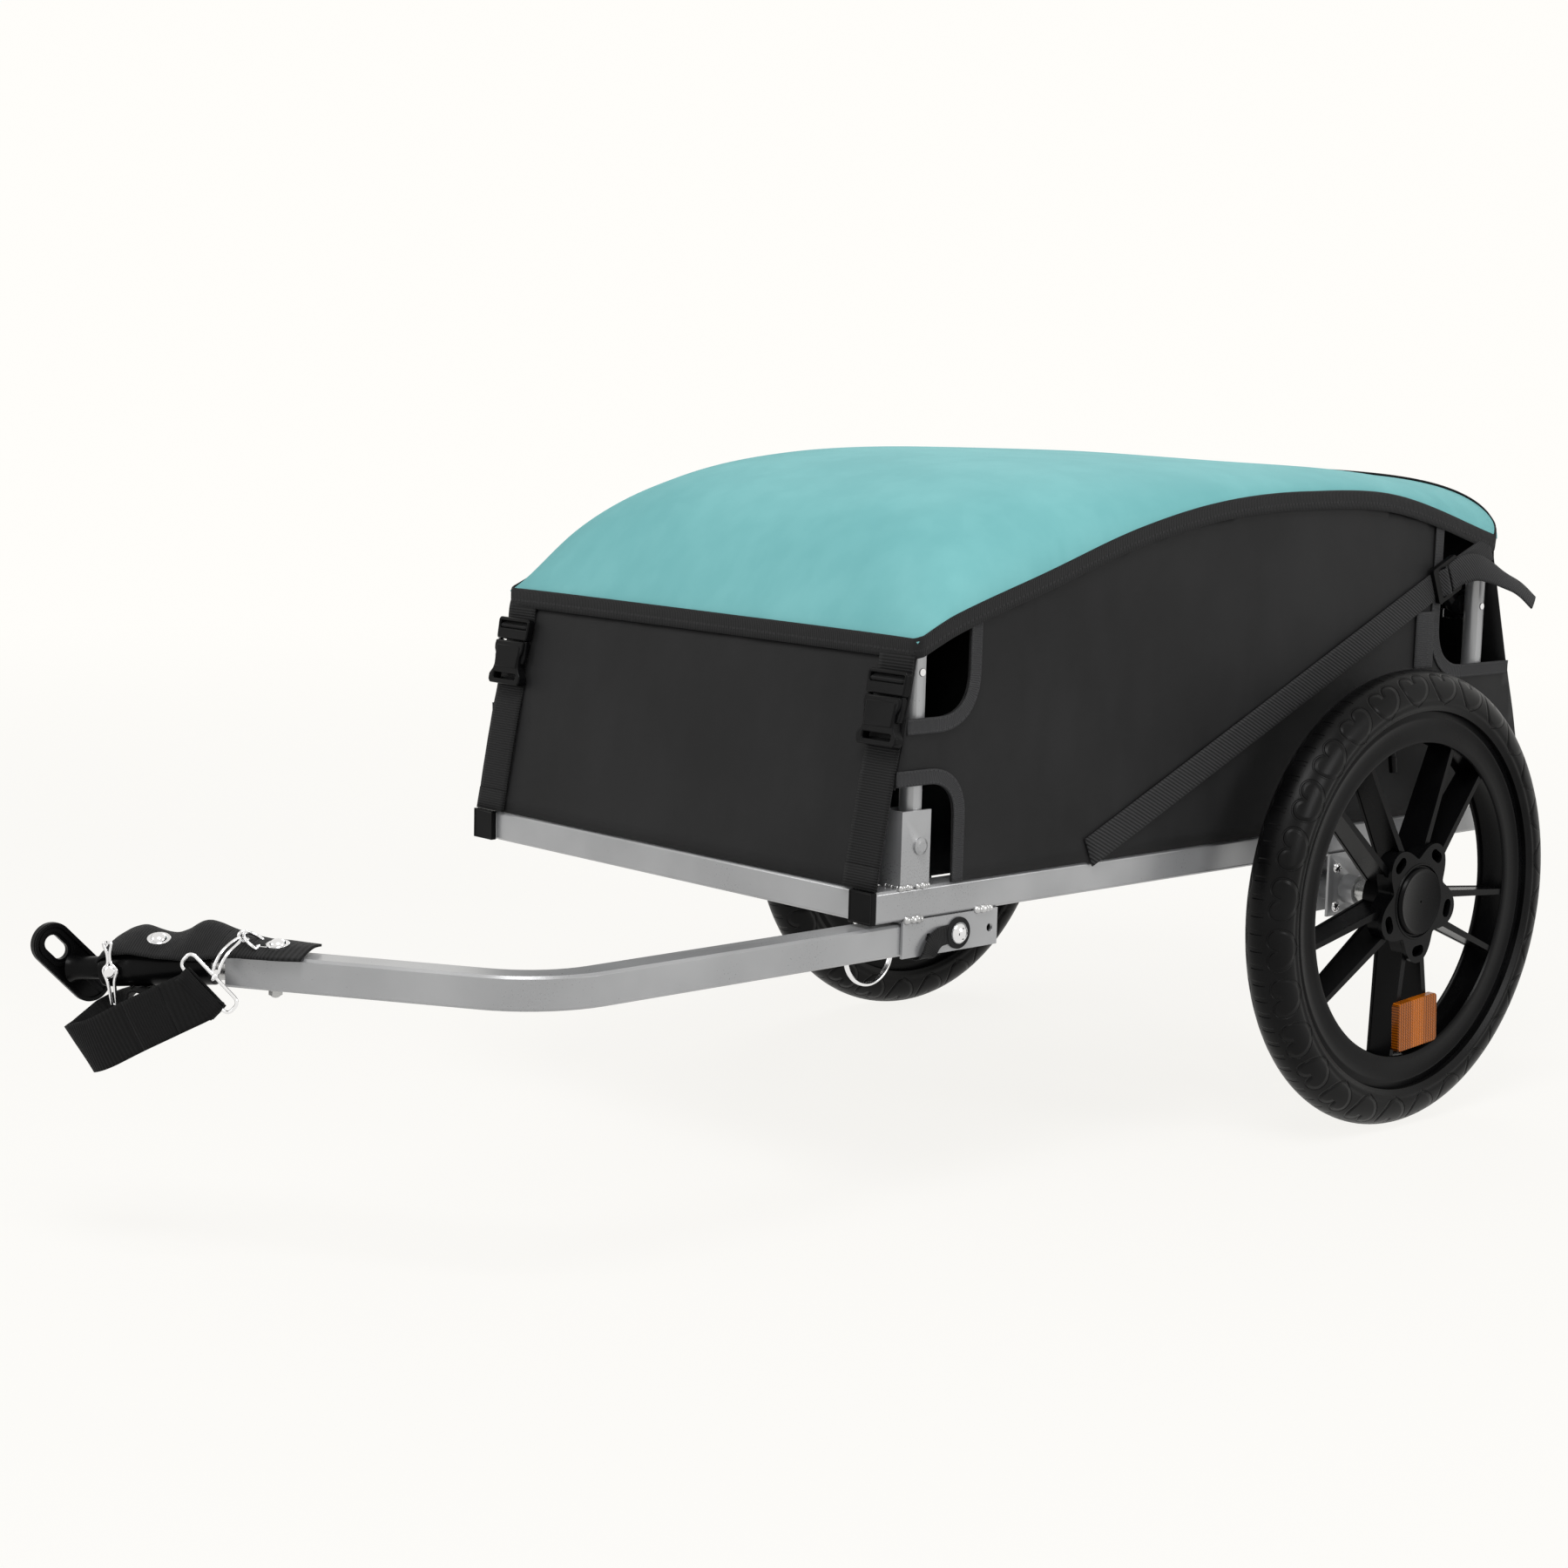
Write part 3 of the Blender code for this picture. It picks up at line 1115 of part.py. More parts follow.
def tow_receiver(steel, frame):
    """The open channel under the left rail that the tow arm turns in, with its pivot bolt."""
    top = RAIL_BOTTOM - GAP
    low = (RECEIVER_INNER_X, RECEIVER_FRONT_Y, RECEIVER_BOTTOM)
    channel = add("tow_receiver", block(low, (FRAME_HALF_WIDTH, RECEIVER_REAR_Y, top)), steel, frame)
    inside_low = (RECEIVER_INNER_X + RECEIVER_PLATE, RECEIVER_FRONT_Y - TUBE, RECEIVER_BOTTOM - TUBE)
    inside_high = (FRAME_HALF_WIDTH - RECEIVER_PLATE, RECEIVER_REAR_Y + TUBE, ARM_CENTRE_Z + TUBE / 2 + GAP * 2)
    cut(channel, block(inside_low, inside_high))
    steps = [
        (0, circle(TOW_BOLT_RADIUS, 16)), (TOW_PIN_GRIP - SEAT_REACH, circle(TOW_BOLT_RADIUS, 16)),
        (TOW_PIN_GRIP - SEAT_REACH, circle(TOW_BOLT_HEAD_RADIUS, 16)),
        (TOW_PIN_GRIP + TOW_BOLT_HEAD_HEIGHT / 2, circle(TOW_BOLT_HEAD_RADIUS, 16)),
        (TOW_PIN_GRIP + TOW_BOLT_HEAD_HEIGHT, circle(TOW_BOLT_HEAD_RADIUS * 0.55, 16)),
    ]
    join(channel, stepped((RECEIVER_INNER_X + SEAT_REACH / 2, ARM_PIVOT_Y, ARM_CENTRE_Z), (1, 0, 0), steps))
    for y in (TOW_PIN_Y, SPARE_HOLE_Y):
        start = (RECEIVER_INNER_X - TUBE, y, ARM_CENTRE_Z)
        cut(channel, rod(start, (FRAME_HALF_WIDTH + TUBE, y, ARM_CENTRE_Z), TOW_PIN_RADIUS + RUNNING, 16))


def tow_arm(steel, carrier):
    """A square tube that runs forward from the receiver and turns across towards the bicycle."""
    rear = ARM_PIVOT_Y + TUBE / 2
    path = [Vector((ARM_X, rear, ARM_CENTRE_Z))]
    centre = (ARM_X - ARM_BEND_RADIUS, ARM_CORNER_Y + ARM_TANGENT)
    turn = math.degrees(ARM_TURN)
    path += [Vector((x, y, ARM_CENTRE_Z)) for x, y in arc(centre, ARM_BEND_RADIUS, 0, -turn, 9)]
    path.append(ARM_TIP)
    outer = square_section(TUBE, ARM_WALL)
    inner = square_section(TUBE - 2 * ARM_WALL, ARM_WALL / 2)
    arm = add("tow_arm", pipe(path, outer, inner, (0, 0, 1)), steel, carrier)
    half = TUBE / 2
    keep = arc((ARM_PIVOT_Y, ARM_CENTRE_Z), half, 90, -90, 10)
    beyond = rear + TUBE
    waste = keep + [(beyond, ARM_CENTRE_Z - half), (beyond, ARM_CENTRE_Z - TUBE), (beyond + TUBE, ARM_CENTRE_Z)]
    waste += [(beyond, ARM_CENTRE_Z + TUBE), (beyond, ARM_CENTRE_Z + half)]
    cut(arm, plate(waste, lambda y, z: Vector((ARM_X - TUBE, y, z)), (2 * TUBE, 0, 0)))
    for y, radius in ((ARM_PIVOT_Y, TOW_BOLT_RADIUS), (TOW_PIN_Y, TOW_PIN_RADIUS)):
        cut(arm, rod((ARM_X - TUBE, y, ARM_CENTRE_Z), (ARM_X + TUBE, y, ARM_CENTRE_Z), radius + RUNNING, 16))


def tow_pin(bright, frame):
    """The arm's lock pin, drawn back out of the arm, and the split ring that hangs in its eye."""
    slide = empty_at("tow_pin_slide", TOW_EYE, frame)
    shank = circle(TOW_PIN_RADIUS, 12)
    head = circle(TOW_PIN_HEAD_RADIUS, 12)
    length = TOW_PIN_HEAD_LENGTH
    steps = [(0, head), (length, head), (length, shank), (length + TOW_PIN_TIP_X - TOW_PIN_HEAD_X, shank)]
    start = (TOW_PIN_HEAD_X - length, TOW_PIN_Y, ARM_CENTRE_Z)
    pin = add("tow_pin", stepped(start, (1, 0, 0), steps), bright, slide, smooth=True)
    eye = TOW_RING_WIRE + RUNNING
    reach = Vector((0, TOW_PIN_HEAD_RADIUS * 2, 0))
    cut(pin, rod(TOW_EYE - reach, TOW_EYE + reach, eye * 1.35, 12))
    swing = empty_at("tow_ring_swing", TOW_EYE, slide)
    centre = TOW_EYE - Vector((0, 0, TOW_RING_RADIUS))
    ring = loop_wire(centre, (1, 0, 0), TOW_RING_RADIUS, TOW_RING_WIRE, 24, 6)
    add("tow_ring", ring, bright, swing, smooth=True)


def tow_tether(cloth, frame):
    """A strip of webbing from the pivot bolt, down the receiver's face and under it, to the split ring."""
    face = FRAME_HALF_WIDTH + GAP + WEBBING / 2
    bolt_y = ARM_PIVOT_Y - TOW_BOLT_HEAD_RADIUS - GAP
    under = RECEIVER_BOTTOM - GAP - WEBBING
    catch = math.radians(20)
    ring = TOW_EYE - Vector((0, 0, TOW_RING_RADIUS))
    ring += Vector((0, math.cos(catch), math.sin(catch))) * TOW_RING_RADIUS
    path = [
        (face, bolt_y, ARM_CENTRE_Z), (face, bolt_y - 0.013, ARM_CENTRE_Z - 0.001),
        (face, bolt_y - 0.021, ARM_CENTRE_Z - 0.006), (face, bolt_y - 0.0245, ARM_CENTRE_Z - 0.013),
        (face - WEBBING / 2, bolt_y - 0.025, under), (face - 0.006, bolt_y - 0.0253, under - WEBBING / 2),
        (RECEIVER_INNER_X, bolt_y - 0.024, under - WEBBING),
        (RECEIVER_INNER_X - 0.015, bolt_y - 0.014, under - WEBBING),
        (ring.x + TOW_RING_WIRE + WEBBING, ring.y, ring.z),
    ]
    upright_width, flat_width = Vector((0, 0, 1)), Vector((0, 1, 0))
    widths = [upright_width, upright_width, upright_width - flat_width, flat_width * -1]
    widths += [flat_width * -1] * 5
    add("tow_tether", ribbon(path, widths, TETHER_WIDTH, WEBBING), cloth, frame)


# Hitch


def hitch_point(ahead, side, up):
    """A point measured from the arm's tip: along the arm, to the near side, and up."""
    return ARM_TIP + ARM_FORWARD * ahead + HITCH_SIDE * side + Vector((0, 0, up))


def coupling_spring(steel, carrier):
    start = ARM_TIP - ARM_FORWARD * SPRING_INSERT
    end = HOUSING_REAR + HITCH_FORWARD * SPRING_INSERT
    spring = sweep([start, COUPLING_PIVOT, end], circle(SPRING_RADIUS, 16), (0, 0, 1))
    add("coupling_spring", spring, steel, carrier, smooth=True)


def hitch_housing(black, carrier):
    """The round black housing: a bore at the rear for the spring and one at the front for the coupler's stub."""
    sleeve = rod(HOUSING_REAR, HOUSING_FRONT, HOUSING_RADIUS, 24)
    housing = add("hitch_housing", sleeve, black, carrier, smooth=True)
    past = HITCH_FORWARD * 0.01
    depth = HITCH_FORWARD * (SPRING_INSERT + SEAT_REACH)
    cut(housing, rod(HOUSING_REAR - past, HOUSING_REAR + depth, SPRING_RADIUS + GAP, 20))
    depth = HITCH_FORWARD * (STUB_IN + SEAT_REACH)
    cut(housing, rod(HOUSING_FRONT - depth, HOUSING_FRONT + past, STUB_RADIUS + GAP, 20))
    cut(housing, hitch_pin_bore())


def hitch_pin_place(side):
    return HOUSING_FRONT - HITCH_FORWARD * HITCH_PIN_FROM_MOUTH + HITCH_SIDE * side


def hitch_pin_bore():
    reach = HOUSING_RADIUS * 2
    return rod(hitch_pin_place(-reach), hitch_pin_place(reach), HITCH_PIN_RADIUS + RUNNING, 14)


def oblong(length, width, centre, steps=8):
    """A slot outline along the first axis, round at both ends."""
    reach = (length - width) / 2
    right = arc((centre + reach, 0), width / 2, -90, 90, steps)
    left = arc((centre - reach, 0), width / 2, 90, 270, steps)
    return right + left


def hitch_coupler(black, carrier):
    """The part that stays on the bicycle: an oblong plate with an eye for the wheel axle, and a round stub."""
    back = HOUSING_FRONT - HITCH_FORWARD * STUB_IN
    stub = rod(back, STUB_END + HITCH_FORWARD * 0.002, STUB_RADIUS, 20)
    coupler = add("hitch_coupler", stub, black, carrier, smooth=True)
    centre = STUB_END + Vector((-PLATE_THICKNESS / 2, 0, PLATE_CENTRE_RISE))
    along = Vector((0, -math.sin(PLATE_TILT), math.cos(PLATE_TILT)))
    across = Vector((0, math.cos(PLATE_TILT), math.sin(PLATE_TILT)))

    def place(u, v):
        return centre + along * u + across * v

    def deeper(u, v):
        return place(u, v) + Vector((PLATE_THICKNESS - EYE_RECESS_DEPTH, 0, 0))

    def before(u, v):
        return place(u, v) - Vector((PLATE_THICKNESS, 0, 0))

    join(coupler, plate(oblong(PLATE_LENGTH, PLATE_WIDTH, 0), place, (PLATE_THICKNESS, 0, 0)))
    cut(coupler, plate(oblong(EYE_LENGTH, EYE_WIDTH, EYE_OFFSET, 6), before, (3 * PLATE_THICKNESS, 0, 0)))
    recess = oblong(EYE_LENGTH + 2 * EYE_RECESS, EYE_WIDTH + 2 * EYE_RECESS, EYE_OFFSET, 6)
    cut(coupler, plate(recess, deeper, (PLATE_THICKNESS, 0, 0)))
    cut(coupler, hitch_pin_bore())


def hitch_pin(bright, carrier):
    """The pin that holds the stub in the housing, with its spring-wire clip on the near side."""
    tip = HOUSING_RADIUS + SEAT_REACH
    face = HOUSING_RADIUS + GAP
    head_length = 0.004
    shank = circle(HITCH_PIN_RADIUS, 12)
    head = circle(HITCH_PIN_RADIUS * 1.5, 12)
    steps = [(0, shank), (tip + face, shank), (tip + face, head), (tip + face + head_length, head)]
    pin = add("hitch_pin", stepped(hitch_pin_place(-tip), HITCH_SIDE, steps), bright, carrier, smooth=True)
    middle = hitch_pin_place(face + head_length / 2)
    path = []
    for a, b in oblong(0.046, 0.009, -0.006, 6):
        path.append(middle + HITCH_UP * a + HITCH_FORWARD * b)
    join(pin, sweep(path, circle(0.0011, 6), HITCH_SIDE, closed_path=True))


def safety_strap(cloth, carrier):
    """Webbing riveted to the housing and to the arm, slack over the sprung joint between them."""
    rest = TUBE / 2 + GAP + STRAP / 2
    knots = [(0.100, 0.007), (0.093, 0.012), (0.085, 0.0165), (0.074, 0.0165), (0.063, HOUSING_RADIUS - 0.0042)]
    knots += [(0.053, 0.0125), (0.042, 0.020), (0.033, 0.0245), (0.022, 0.0222), (0.011, 0.0182)]
    knots += [(0, rest), (-0.010, rest), (-0.033, rest), (-0.060, rest)]
    path = [hitch_point(ahead, 0, up) for ahead, up in knots]
    strap = add("safety_strap", ribbon(path, [HITCH_SIDE] * len(path), STRAP_WIDTH, STRAP), cloth, carrier)
    rivets = bmesh.new()
    for ahead, up in ((0.063, HOUSING_RADIUS - 0.0042), (-0.033, rest)):
        foot = hitch_point(ahead, 0, up)
        head = foot + Vector((0, 0, STRAP / 2 + RIVET_HEIGHT))
        append(rivets, rod(foot, head, RIVET_RADIUS, 12, RIVET_RADIUS * 0.7))
    join(strap, rivets)


def d_ring_plane():
    """The middle of the ring's straight side, and the direction in which the ring points."""
    pivot = hitch_point(-D_RING_BEHIND_TIP, 0, TUBE / 2 + GAP + STRAP + GAP + D_RING_WIRE)
    forward = ARM_FORWARD * math.cos(D_RING_TILT) + Vector((0, 0, math.sin(D_RING_TILT)))
    return pivot, forward


def d_ring(bright, carrier):
    pivot, forward = d_ring_plane()
    path = [pivot + HITCH_SIDE * D_RING_RADIUS, pivot - HITCH_SIDE * D_RING_RADIUS]
    for a, b in arc((D_RING_RADIUS / 2, 0), D_RING_RADIUS, -90, 90, 8):
        path.append(pivot + forward * a + HITCH_SIDE * b)
    wire = circle(D_RING_WIRE, 6)
    add("d_ring", sweep(path, wire, forward.cross(HITCH_SIDE), closed_path=True), bright, carrier, smooth=True)


def d_ring_catch():
    """Where the snap hook holds the ring's wire, and the direction of the wire there."""
    pivot, forward = d_ring_plane()
    ahead = D_RING_RADIUS / 2 + D_RING_RADIUS * math.cos(HOOK_ANGLE)
    place = pivot + forward * ahead + HITCH_SIDE * D_RING_RADIUS * math.sin(HOOK_ANGLE)
    return place, HITCH_SIDE * math.cos(HOOK_ANGLE) - forward * math.sin(HOOK_ANGLE)


def strap_loop_frame():
    """Centre and the two in-plane directions of the flat wire loop that holds the hanging strap."""
    centre = hitch_point(0.0047, 0.030, -0.0078)
    long_way = (ARM_FORWARD * 0.745 + Vector((0, 0, 0.667))).normalized()
    short_way = (ARM_FORWARD * 0.667 - Vector((0, 0, 0.745))).normalized()
    return centre, long_way, short_way


def snap_hook(bright, carrier):
    """Snap hook on the D-ring, with the wire loop that the hanging strap is sewn round."""
    centre, long_way, short_way = strap_loop_frame()
    wire = LOOP_WIRE
    half = STRAP_WIDTH / 2 + wire + LOOP_PLAY
    corner = LOOP_HALF_HEIGHT / 2
    path = []
    for a, b in ((-half, -1), (half, -1), (half, 1), (-half, 1)):
        ends = [(a - math.copysign(corner, a), b * LOOP_HALF_HEIGHT), (a, b * corner)]
        path += ends if a * b > 0 else ends[::-1]
    points = [centre + long_way * a + short_way * b for a, b in path]
    bent = sweep(points, circle(wire, 8), HITCH_SIDE, closed_path=True)
    hook = add("snap_hook", bent, bright, carrier, smooth=True)
    swivel = centre - short_way * LOOP_HALF_HEIGHT
    catch, along_wire = d_ring_catch()
    elbow = hitch_point(*HOOK_ELBOW)
    rise = (elbow - swivel).normalized()
    neck = swivel + rise * SWIVEL_LENGTH
    join(hook, rod(swivel - rise * wire, neck, SWIVEL_RADIUS, 12, SWIVEL_RADIUS * 0.7))
    away = (catch - elbow).normalized()
    aside = along_wire.cross(away).normalized()
    bend = [neck - rise * wire, elbow, catch + aside * HOOK_RADIUS - away * HOOK_RADIUS]
    for a, b in arc((0, 0), HOOK_RADIUS, 0, 180, 6):
        bend.append(catch + aside * a + away * b)
    bend.append(catch - aside * HOOK_RADIUS - away * HOOK_RADIUS)
    join(hook, sweep(bend, circle(HOOK_WIRE, 8), along_wire))


def loop_strap(cloth, carrier):
    """The wide hanging strap: from the wire loop forward and down, round its fold and back under the housing."""
    centre, long_way, short_way = strap_loop_frame()
    start = centre + short_way * (LOOP_HALF_HEIGHT + LOOP_WIRE + GAP + STRAP / 2)
    under = HOUSING_RADIUS + GAP + STRAP / 2
    knots = [(0.030, 0.035, -0.024), (0.060, 0.036, -0.040), (0.088, 0.033, -0.057), (0.1035, 0.028, -0.063)]
    knots += [(0.108, 0.020, -0.060), (0.104, 0.011, -0.050), (0.094, 0.004, -0.036)]
    path = [start, start + short_way * 0.008] + [hitch_point(*knot) for knot in knots]
    path.append(HOUSING_FRONT - HITCH_FORWARD * 0.024 - HITCH_UP * (under + 0.0006))
    path.append(HOUSING_FRONT - HITCH_FORWARD * 0.038 - HITCH_UP * under)
    tilted = ARM_FORWARD * 0.60 + Vector((0, 0, 0.80))
    back = ARM_FORWARD * 0.75 + Vector((0, 0, 0.55)) - HITCH_SIDE * 0.35
    widths = [long_way] * 3 + [(long_way + tilted) / 2] + [tilted] * 3 + [(tilted + back) / 2, back]
    widths += [HITCH_SIDE * -1] * 2
    add("loop_strap", ribbon(path, widths, STRAP_WIDTH, STRAP), cloth, carrier)


def build():
    wipe_scene()
    steel = material("silver_paint", (0.62, 0.63, 0.65), 0.35, 0.85)
    zinc = material("zinc_plate", (0.70, 0.70, 0.70), 0.30, 1.0)
    bright = material("bright_wire", (0.80, 0.80, 0.80), 0.15, 1.0)
    black = material("black_plastic", (0.02, 0.02, 0.022), 0.45)
    black_steel = material("black_paint", (0.022, 0.022, 0.024), 0.35)
    rubber = material("tyre_rubber", (0.02, 0.02, 0.02), 0.75)
    amber = material("amber_reflector", (0.85, 0.30, 0.02), 0.25)
    cloth = material("black_cloth", (0.035, 0.035, 0.038), 0.90)
    teal = material("teal_cloth", (0.24, 0.55, 0.54), 0.85)
    webbing = material("black_webbing", (0.015, 0.015, 0.016), 0.90)

    frame = empty_at("frame_origin", (0, 0, 0))
    rails(steel, frame)
    rail_plugs(black, frame)
    upright_brackets(zinc, frame)
    axle_brackets(zinc, frame)
    wheels(black, rubber, zinc, amber, frame)

    folds = {}
    for end, pivot, above in (
        ("front", (FRONT_PIVOT_Y, FRONT_PIVOT_Z), FRONT_UPRIGHT_ABOVE_PIN),
        ("rear", (REAR_PIVOT_Y, REAR_PIVOT_Z), REAR_UPRIGHT_ABOVE_PIN),
    ):
        for name, side in both_sides():
            title = "%s_%s_upright" % (end, name)
            folds[title] = empty_at(title + "_fold", (side * UPRIGHT_X, *pivot), frame)
            upright(title, side, pivot, above, steel, folds[title])
    top = empty_at("top_frame_level", (UPRIGHT_X, FRONT_PIVOT_Y, PIN_Z), folds["front_left_upright"])
    top_frame(black_steel, top)
    lock_pins(bright, top)

    floor(cloth, frame)
    side_panels(cloth, frame)
    front_panel(cloth, frame)
    rear_panel(cloth, frame)
    lid = empty_at("cover_hinge", (0, REAR_TOP_Y, REAR_CORNER_Z), top)
    cover(teal, lid)
    front_buckles(black, top, lid)
    diagonal_straps(webbing, frame)

    tow_receiver(zinc, frame)
    arm = empty_at("tow_arm_fold", (ARM_X, ARM_PIVOT_Y, ARM_CENTRE_Z), frame)
    tow_arm(steel, arm)
    tow_pin(bright, frame)
    tow_tether(webbing, frame)
    yaw = empty_at("coupling_yaw", COUPLING_PIVOT, arm)
    coupling_spring(zinc, yaw)
    pitch = empty_at("coupling_pitch", COUPLING_PIVOT, yaw)
    hitch_housing(black, pitch)
    hitch_coupler(black, pitch)
    hitch_pin(bright, empty_at("hitch_pin_slide", hitch_pin_place(0), pitch))
    safety_strap(webbing, arm)
    ring = empty_at("d_ring_swing", d_ring_plane()[0], arm)
    d_ring(bright, ring)
    snap_hook(bright, ring)
    loop_strap(webbing, pitch)


build()
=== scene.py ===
# %% [markdown]
# # A bicycle cargo trailer
# The CAD model gives every rigid piece its place and size. This lesson dresses it: cloth, webbing, moulded
# plastic, rubber and painted tube, each made with the Blender tool that is closest to the real way of making.
# Lengths are in metres. +X is the trailer's left side, -Y is forward and +Z is up.

import json
import math

import bmesh
import bpy
from mathutils import Matrix, Vector, noise
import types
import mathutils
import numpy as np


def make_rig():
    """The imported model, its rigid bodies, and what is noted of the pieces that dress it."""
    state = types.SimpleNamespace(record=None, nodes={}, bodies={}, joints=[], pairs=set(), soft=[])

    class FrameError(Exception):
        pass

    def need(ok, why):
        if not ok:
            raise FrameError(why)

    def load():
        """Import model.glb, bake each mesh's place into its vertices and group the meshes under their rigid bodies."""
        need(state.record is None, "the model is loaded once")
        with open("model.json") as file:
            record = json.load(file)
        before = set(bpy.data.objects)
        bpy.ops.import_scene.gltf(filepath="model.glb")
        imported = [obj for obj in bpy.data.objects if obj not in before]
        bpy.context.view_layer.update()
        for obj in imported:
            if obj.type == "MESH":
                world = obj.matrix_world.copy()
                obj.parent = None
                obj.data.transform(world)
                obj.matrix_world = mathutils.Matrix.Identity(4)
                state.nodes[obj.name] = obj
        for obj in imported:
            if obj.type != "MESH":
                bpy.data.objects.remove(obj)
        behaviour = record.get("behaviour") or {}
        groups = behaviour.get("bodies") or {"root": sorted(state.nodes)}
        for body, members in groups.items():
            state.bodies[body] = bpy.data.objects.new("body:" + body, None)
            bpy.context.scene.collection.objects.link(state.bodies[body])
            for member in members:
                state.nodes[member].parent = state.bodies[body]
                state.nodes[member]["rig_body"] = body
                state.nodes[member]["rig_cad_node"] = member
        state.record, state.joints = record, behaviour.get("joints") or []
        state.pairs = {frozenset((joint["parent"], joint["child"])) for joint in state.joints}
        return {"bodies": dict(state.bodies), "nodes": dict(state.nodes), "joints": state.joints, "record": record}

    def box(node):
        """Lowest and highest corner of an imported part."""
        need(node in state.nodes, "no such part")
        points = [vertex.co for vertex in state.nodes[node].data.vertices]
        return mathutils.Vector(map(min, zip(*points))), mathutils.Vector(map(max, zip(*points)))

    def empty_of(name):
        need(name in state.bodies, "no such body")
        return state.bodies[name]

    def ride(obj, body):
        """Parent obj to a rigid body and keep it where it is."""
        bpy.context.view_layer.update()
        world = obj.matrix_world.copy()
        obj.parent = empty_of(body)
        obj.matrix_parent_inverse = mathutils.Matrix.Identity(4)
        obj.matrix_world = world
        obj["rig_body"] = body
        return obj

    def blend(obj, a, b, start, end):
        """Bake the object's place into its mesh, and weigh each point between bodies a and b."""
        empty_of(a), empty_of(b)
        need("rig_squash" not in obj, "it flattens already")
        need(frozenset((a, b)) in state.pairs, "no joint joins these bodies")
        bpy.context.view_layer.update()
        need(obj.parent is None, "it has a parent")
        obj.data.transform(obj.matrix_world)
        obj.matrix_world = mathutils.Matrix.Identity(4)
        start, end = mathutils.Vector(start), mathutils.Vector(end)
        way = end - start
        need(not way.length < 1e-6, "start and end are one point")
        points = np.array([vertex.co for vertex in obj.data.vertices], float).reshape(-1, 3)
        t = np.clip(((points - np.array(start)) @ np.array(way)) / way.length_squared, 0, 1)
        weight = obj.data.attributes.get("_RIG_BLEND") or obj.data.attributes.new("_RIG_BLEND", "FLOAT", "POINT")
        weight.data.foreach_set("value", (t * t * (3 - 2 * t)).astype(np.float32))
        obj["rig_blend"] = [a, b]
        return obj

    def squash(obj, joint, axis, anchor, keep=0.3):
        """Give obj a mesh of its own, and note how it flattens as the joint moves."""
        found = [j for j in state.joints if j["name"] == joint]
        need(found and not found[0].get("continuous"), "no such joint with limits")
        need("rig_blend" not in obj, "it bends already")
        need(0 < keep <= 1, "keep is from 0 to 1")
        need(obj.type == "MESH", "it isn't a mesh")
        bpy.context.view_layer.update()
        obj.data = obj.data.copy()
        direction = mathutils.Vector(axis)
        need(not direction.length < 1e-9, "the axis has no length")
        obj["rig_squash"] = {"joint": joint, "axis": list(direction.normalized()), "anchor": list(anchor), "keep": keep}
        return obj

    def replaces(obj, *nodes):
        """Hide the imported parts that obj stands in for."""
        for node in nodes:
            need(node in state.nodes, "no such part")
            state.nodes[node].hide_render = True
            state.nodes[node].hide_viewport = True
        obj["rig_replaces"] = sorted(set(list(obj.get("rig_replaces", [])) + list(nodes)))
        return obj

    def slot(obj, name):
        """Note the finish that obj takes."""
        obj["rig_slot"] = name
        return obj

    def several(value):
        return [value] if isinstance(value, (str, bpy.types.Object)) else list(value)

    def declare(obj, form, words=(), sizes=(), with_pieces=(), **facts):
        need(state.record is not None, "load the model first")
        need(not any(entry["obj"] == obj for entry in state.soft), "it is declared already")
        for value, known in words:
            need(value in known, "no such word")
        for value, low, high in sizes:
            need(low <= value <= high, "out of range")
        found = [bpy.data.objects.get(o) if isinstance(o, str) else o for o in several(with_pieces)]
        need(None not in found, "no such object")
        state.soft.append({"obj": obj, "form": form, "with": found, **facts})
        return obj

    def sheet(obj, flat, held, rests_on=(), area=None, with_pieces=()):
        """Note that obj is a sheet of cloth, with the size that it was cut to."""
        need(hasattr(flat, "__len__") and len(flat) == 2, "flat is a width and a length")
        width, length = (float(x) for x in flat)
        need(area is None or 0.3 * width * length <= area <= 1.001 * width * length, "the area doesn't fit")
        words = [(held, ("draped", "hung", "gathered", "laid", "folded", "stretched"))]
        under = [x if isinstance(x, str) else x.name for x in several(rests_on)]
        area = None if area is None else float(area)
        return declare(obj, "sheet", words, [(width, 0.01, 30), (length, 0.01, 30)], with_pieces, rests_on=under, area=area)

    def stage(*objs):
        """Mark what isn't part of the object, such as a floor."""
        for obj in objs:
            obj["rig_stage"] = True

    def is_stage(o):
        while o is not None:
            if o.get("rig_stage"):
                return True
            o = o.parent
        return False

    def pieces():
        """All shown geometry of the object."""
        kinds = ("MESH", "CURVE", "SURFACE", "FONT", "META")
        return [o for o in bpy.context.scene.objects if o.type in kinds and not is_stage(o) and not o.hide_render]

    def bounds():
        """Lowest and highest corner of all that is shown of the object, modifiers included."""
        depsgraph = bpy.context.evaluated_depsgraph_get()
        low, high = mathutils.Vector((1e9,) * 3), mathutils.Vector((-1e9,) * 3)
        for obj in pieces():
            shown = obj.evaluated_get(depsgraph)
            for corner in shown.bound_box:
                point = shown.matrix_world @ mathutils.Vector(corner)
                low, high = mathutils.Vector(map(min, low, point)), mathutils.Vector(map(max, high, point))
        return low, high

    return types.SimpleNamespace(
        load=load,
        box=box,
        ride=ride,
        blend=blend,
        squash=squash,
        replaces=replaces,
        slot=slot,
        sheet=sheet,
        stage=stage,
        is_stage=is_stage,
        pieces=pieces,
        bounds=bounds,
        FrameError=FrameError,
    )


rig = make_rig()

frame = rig.load()
cad_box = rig.bounds()
tyre_low, tyre_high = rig.box("left_tyre")
AXLE_Y = (tyre_low.y + tyre_high.y) / 2
SIDES = (("left", 1), ("right", -1))
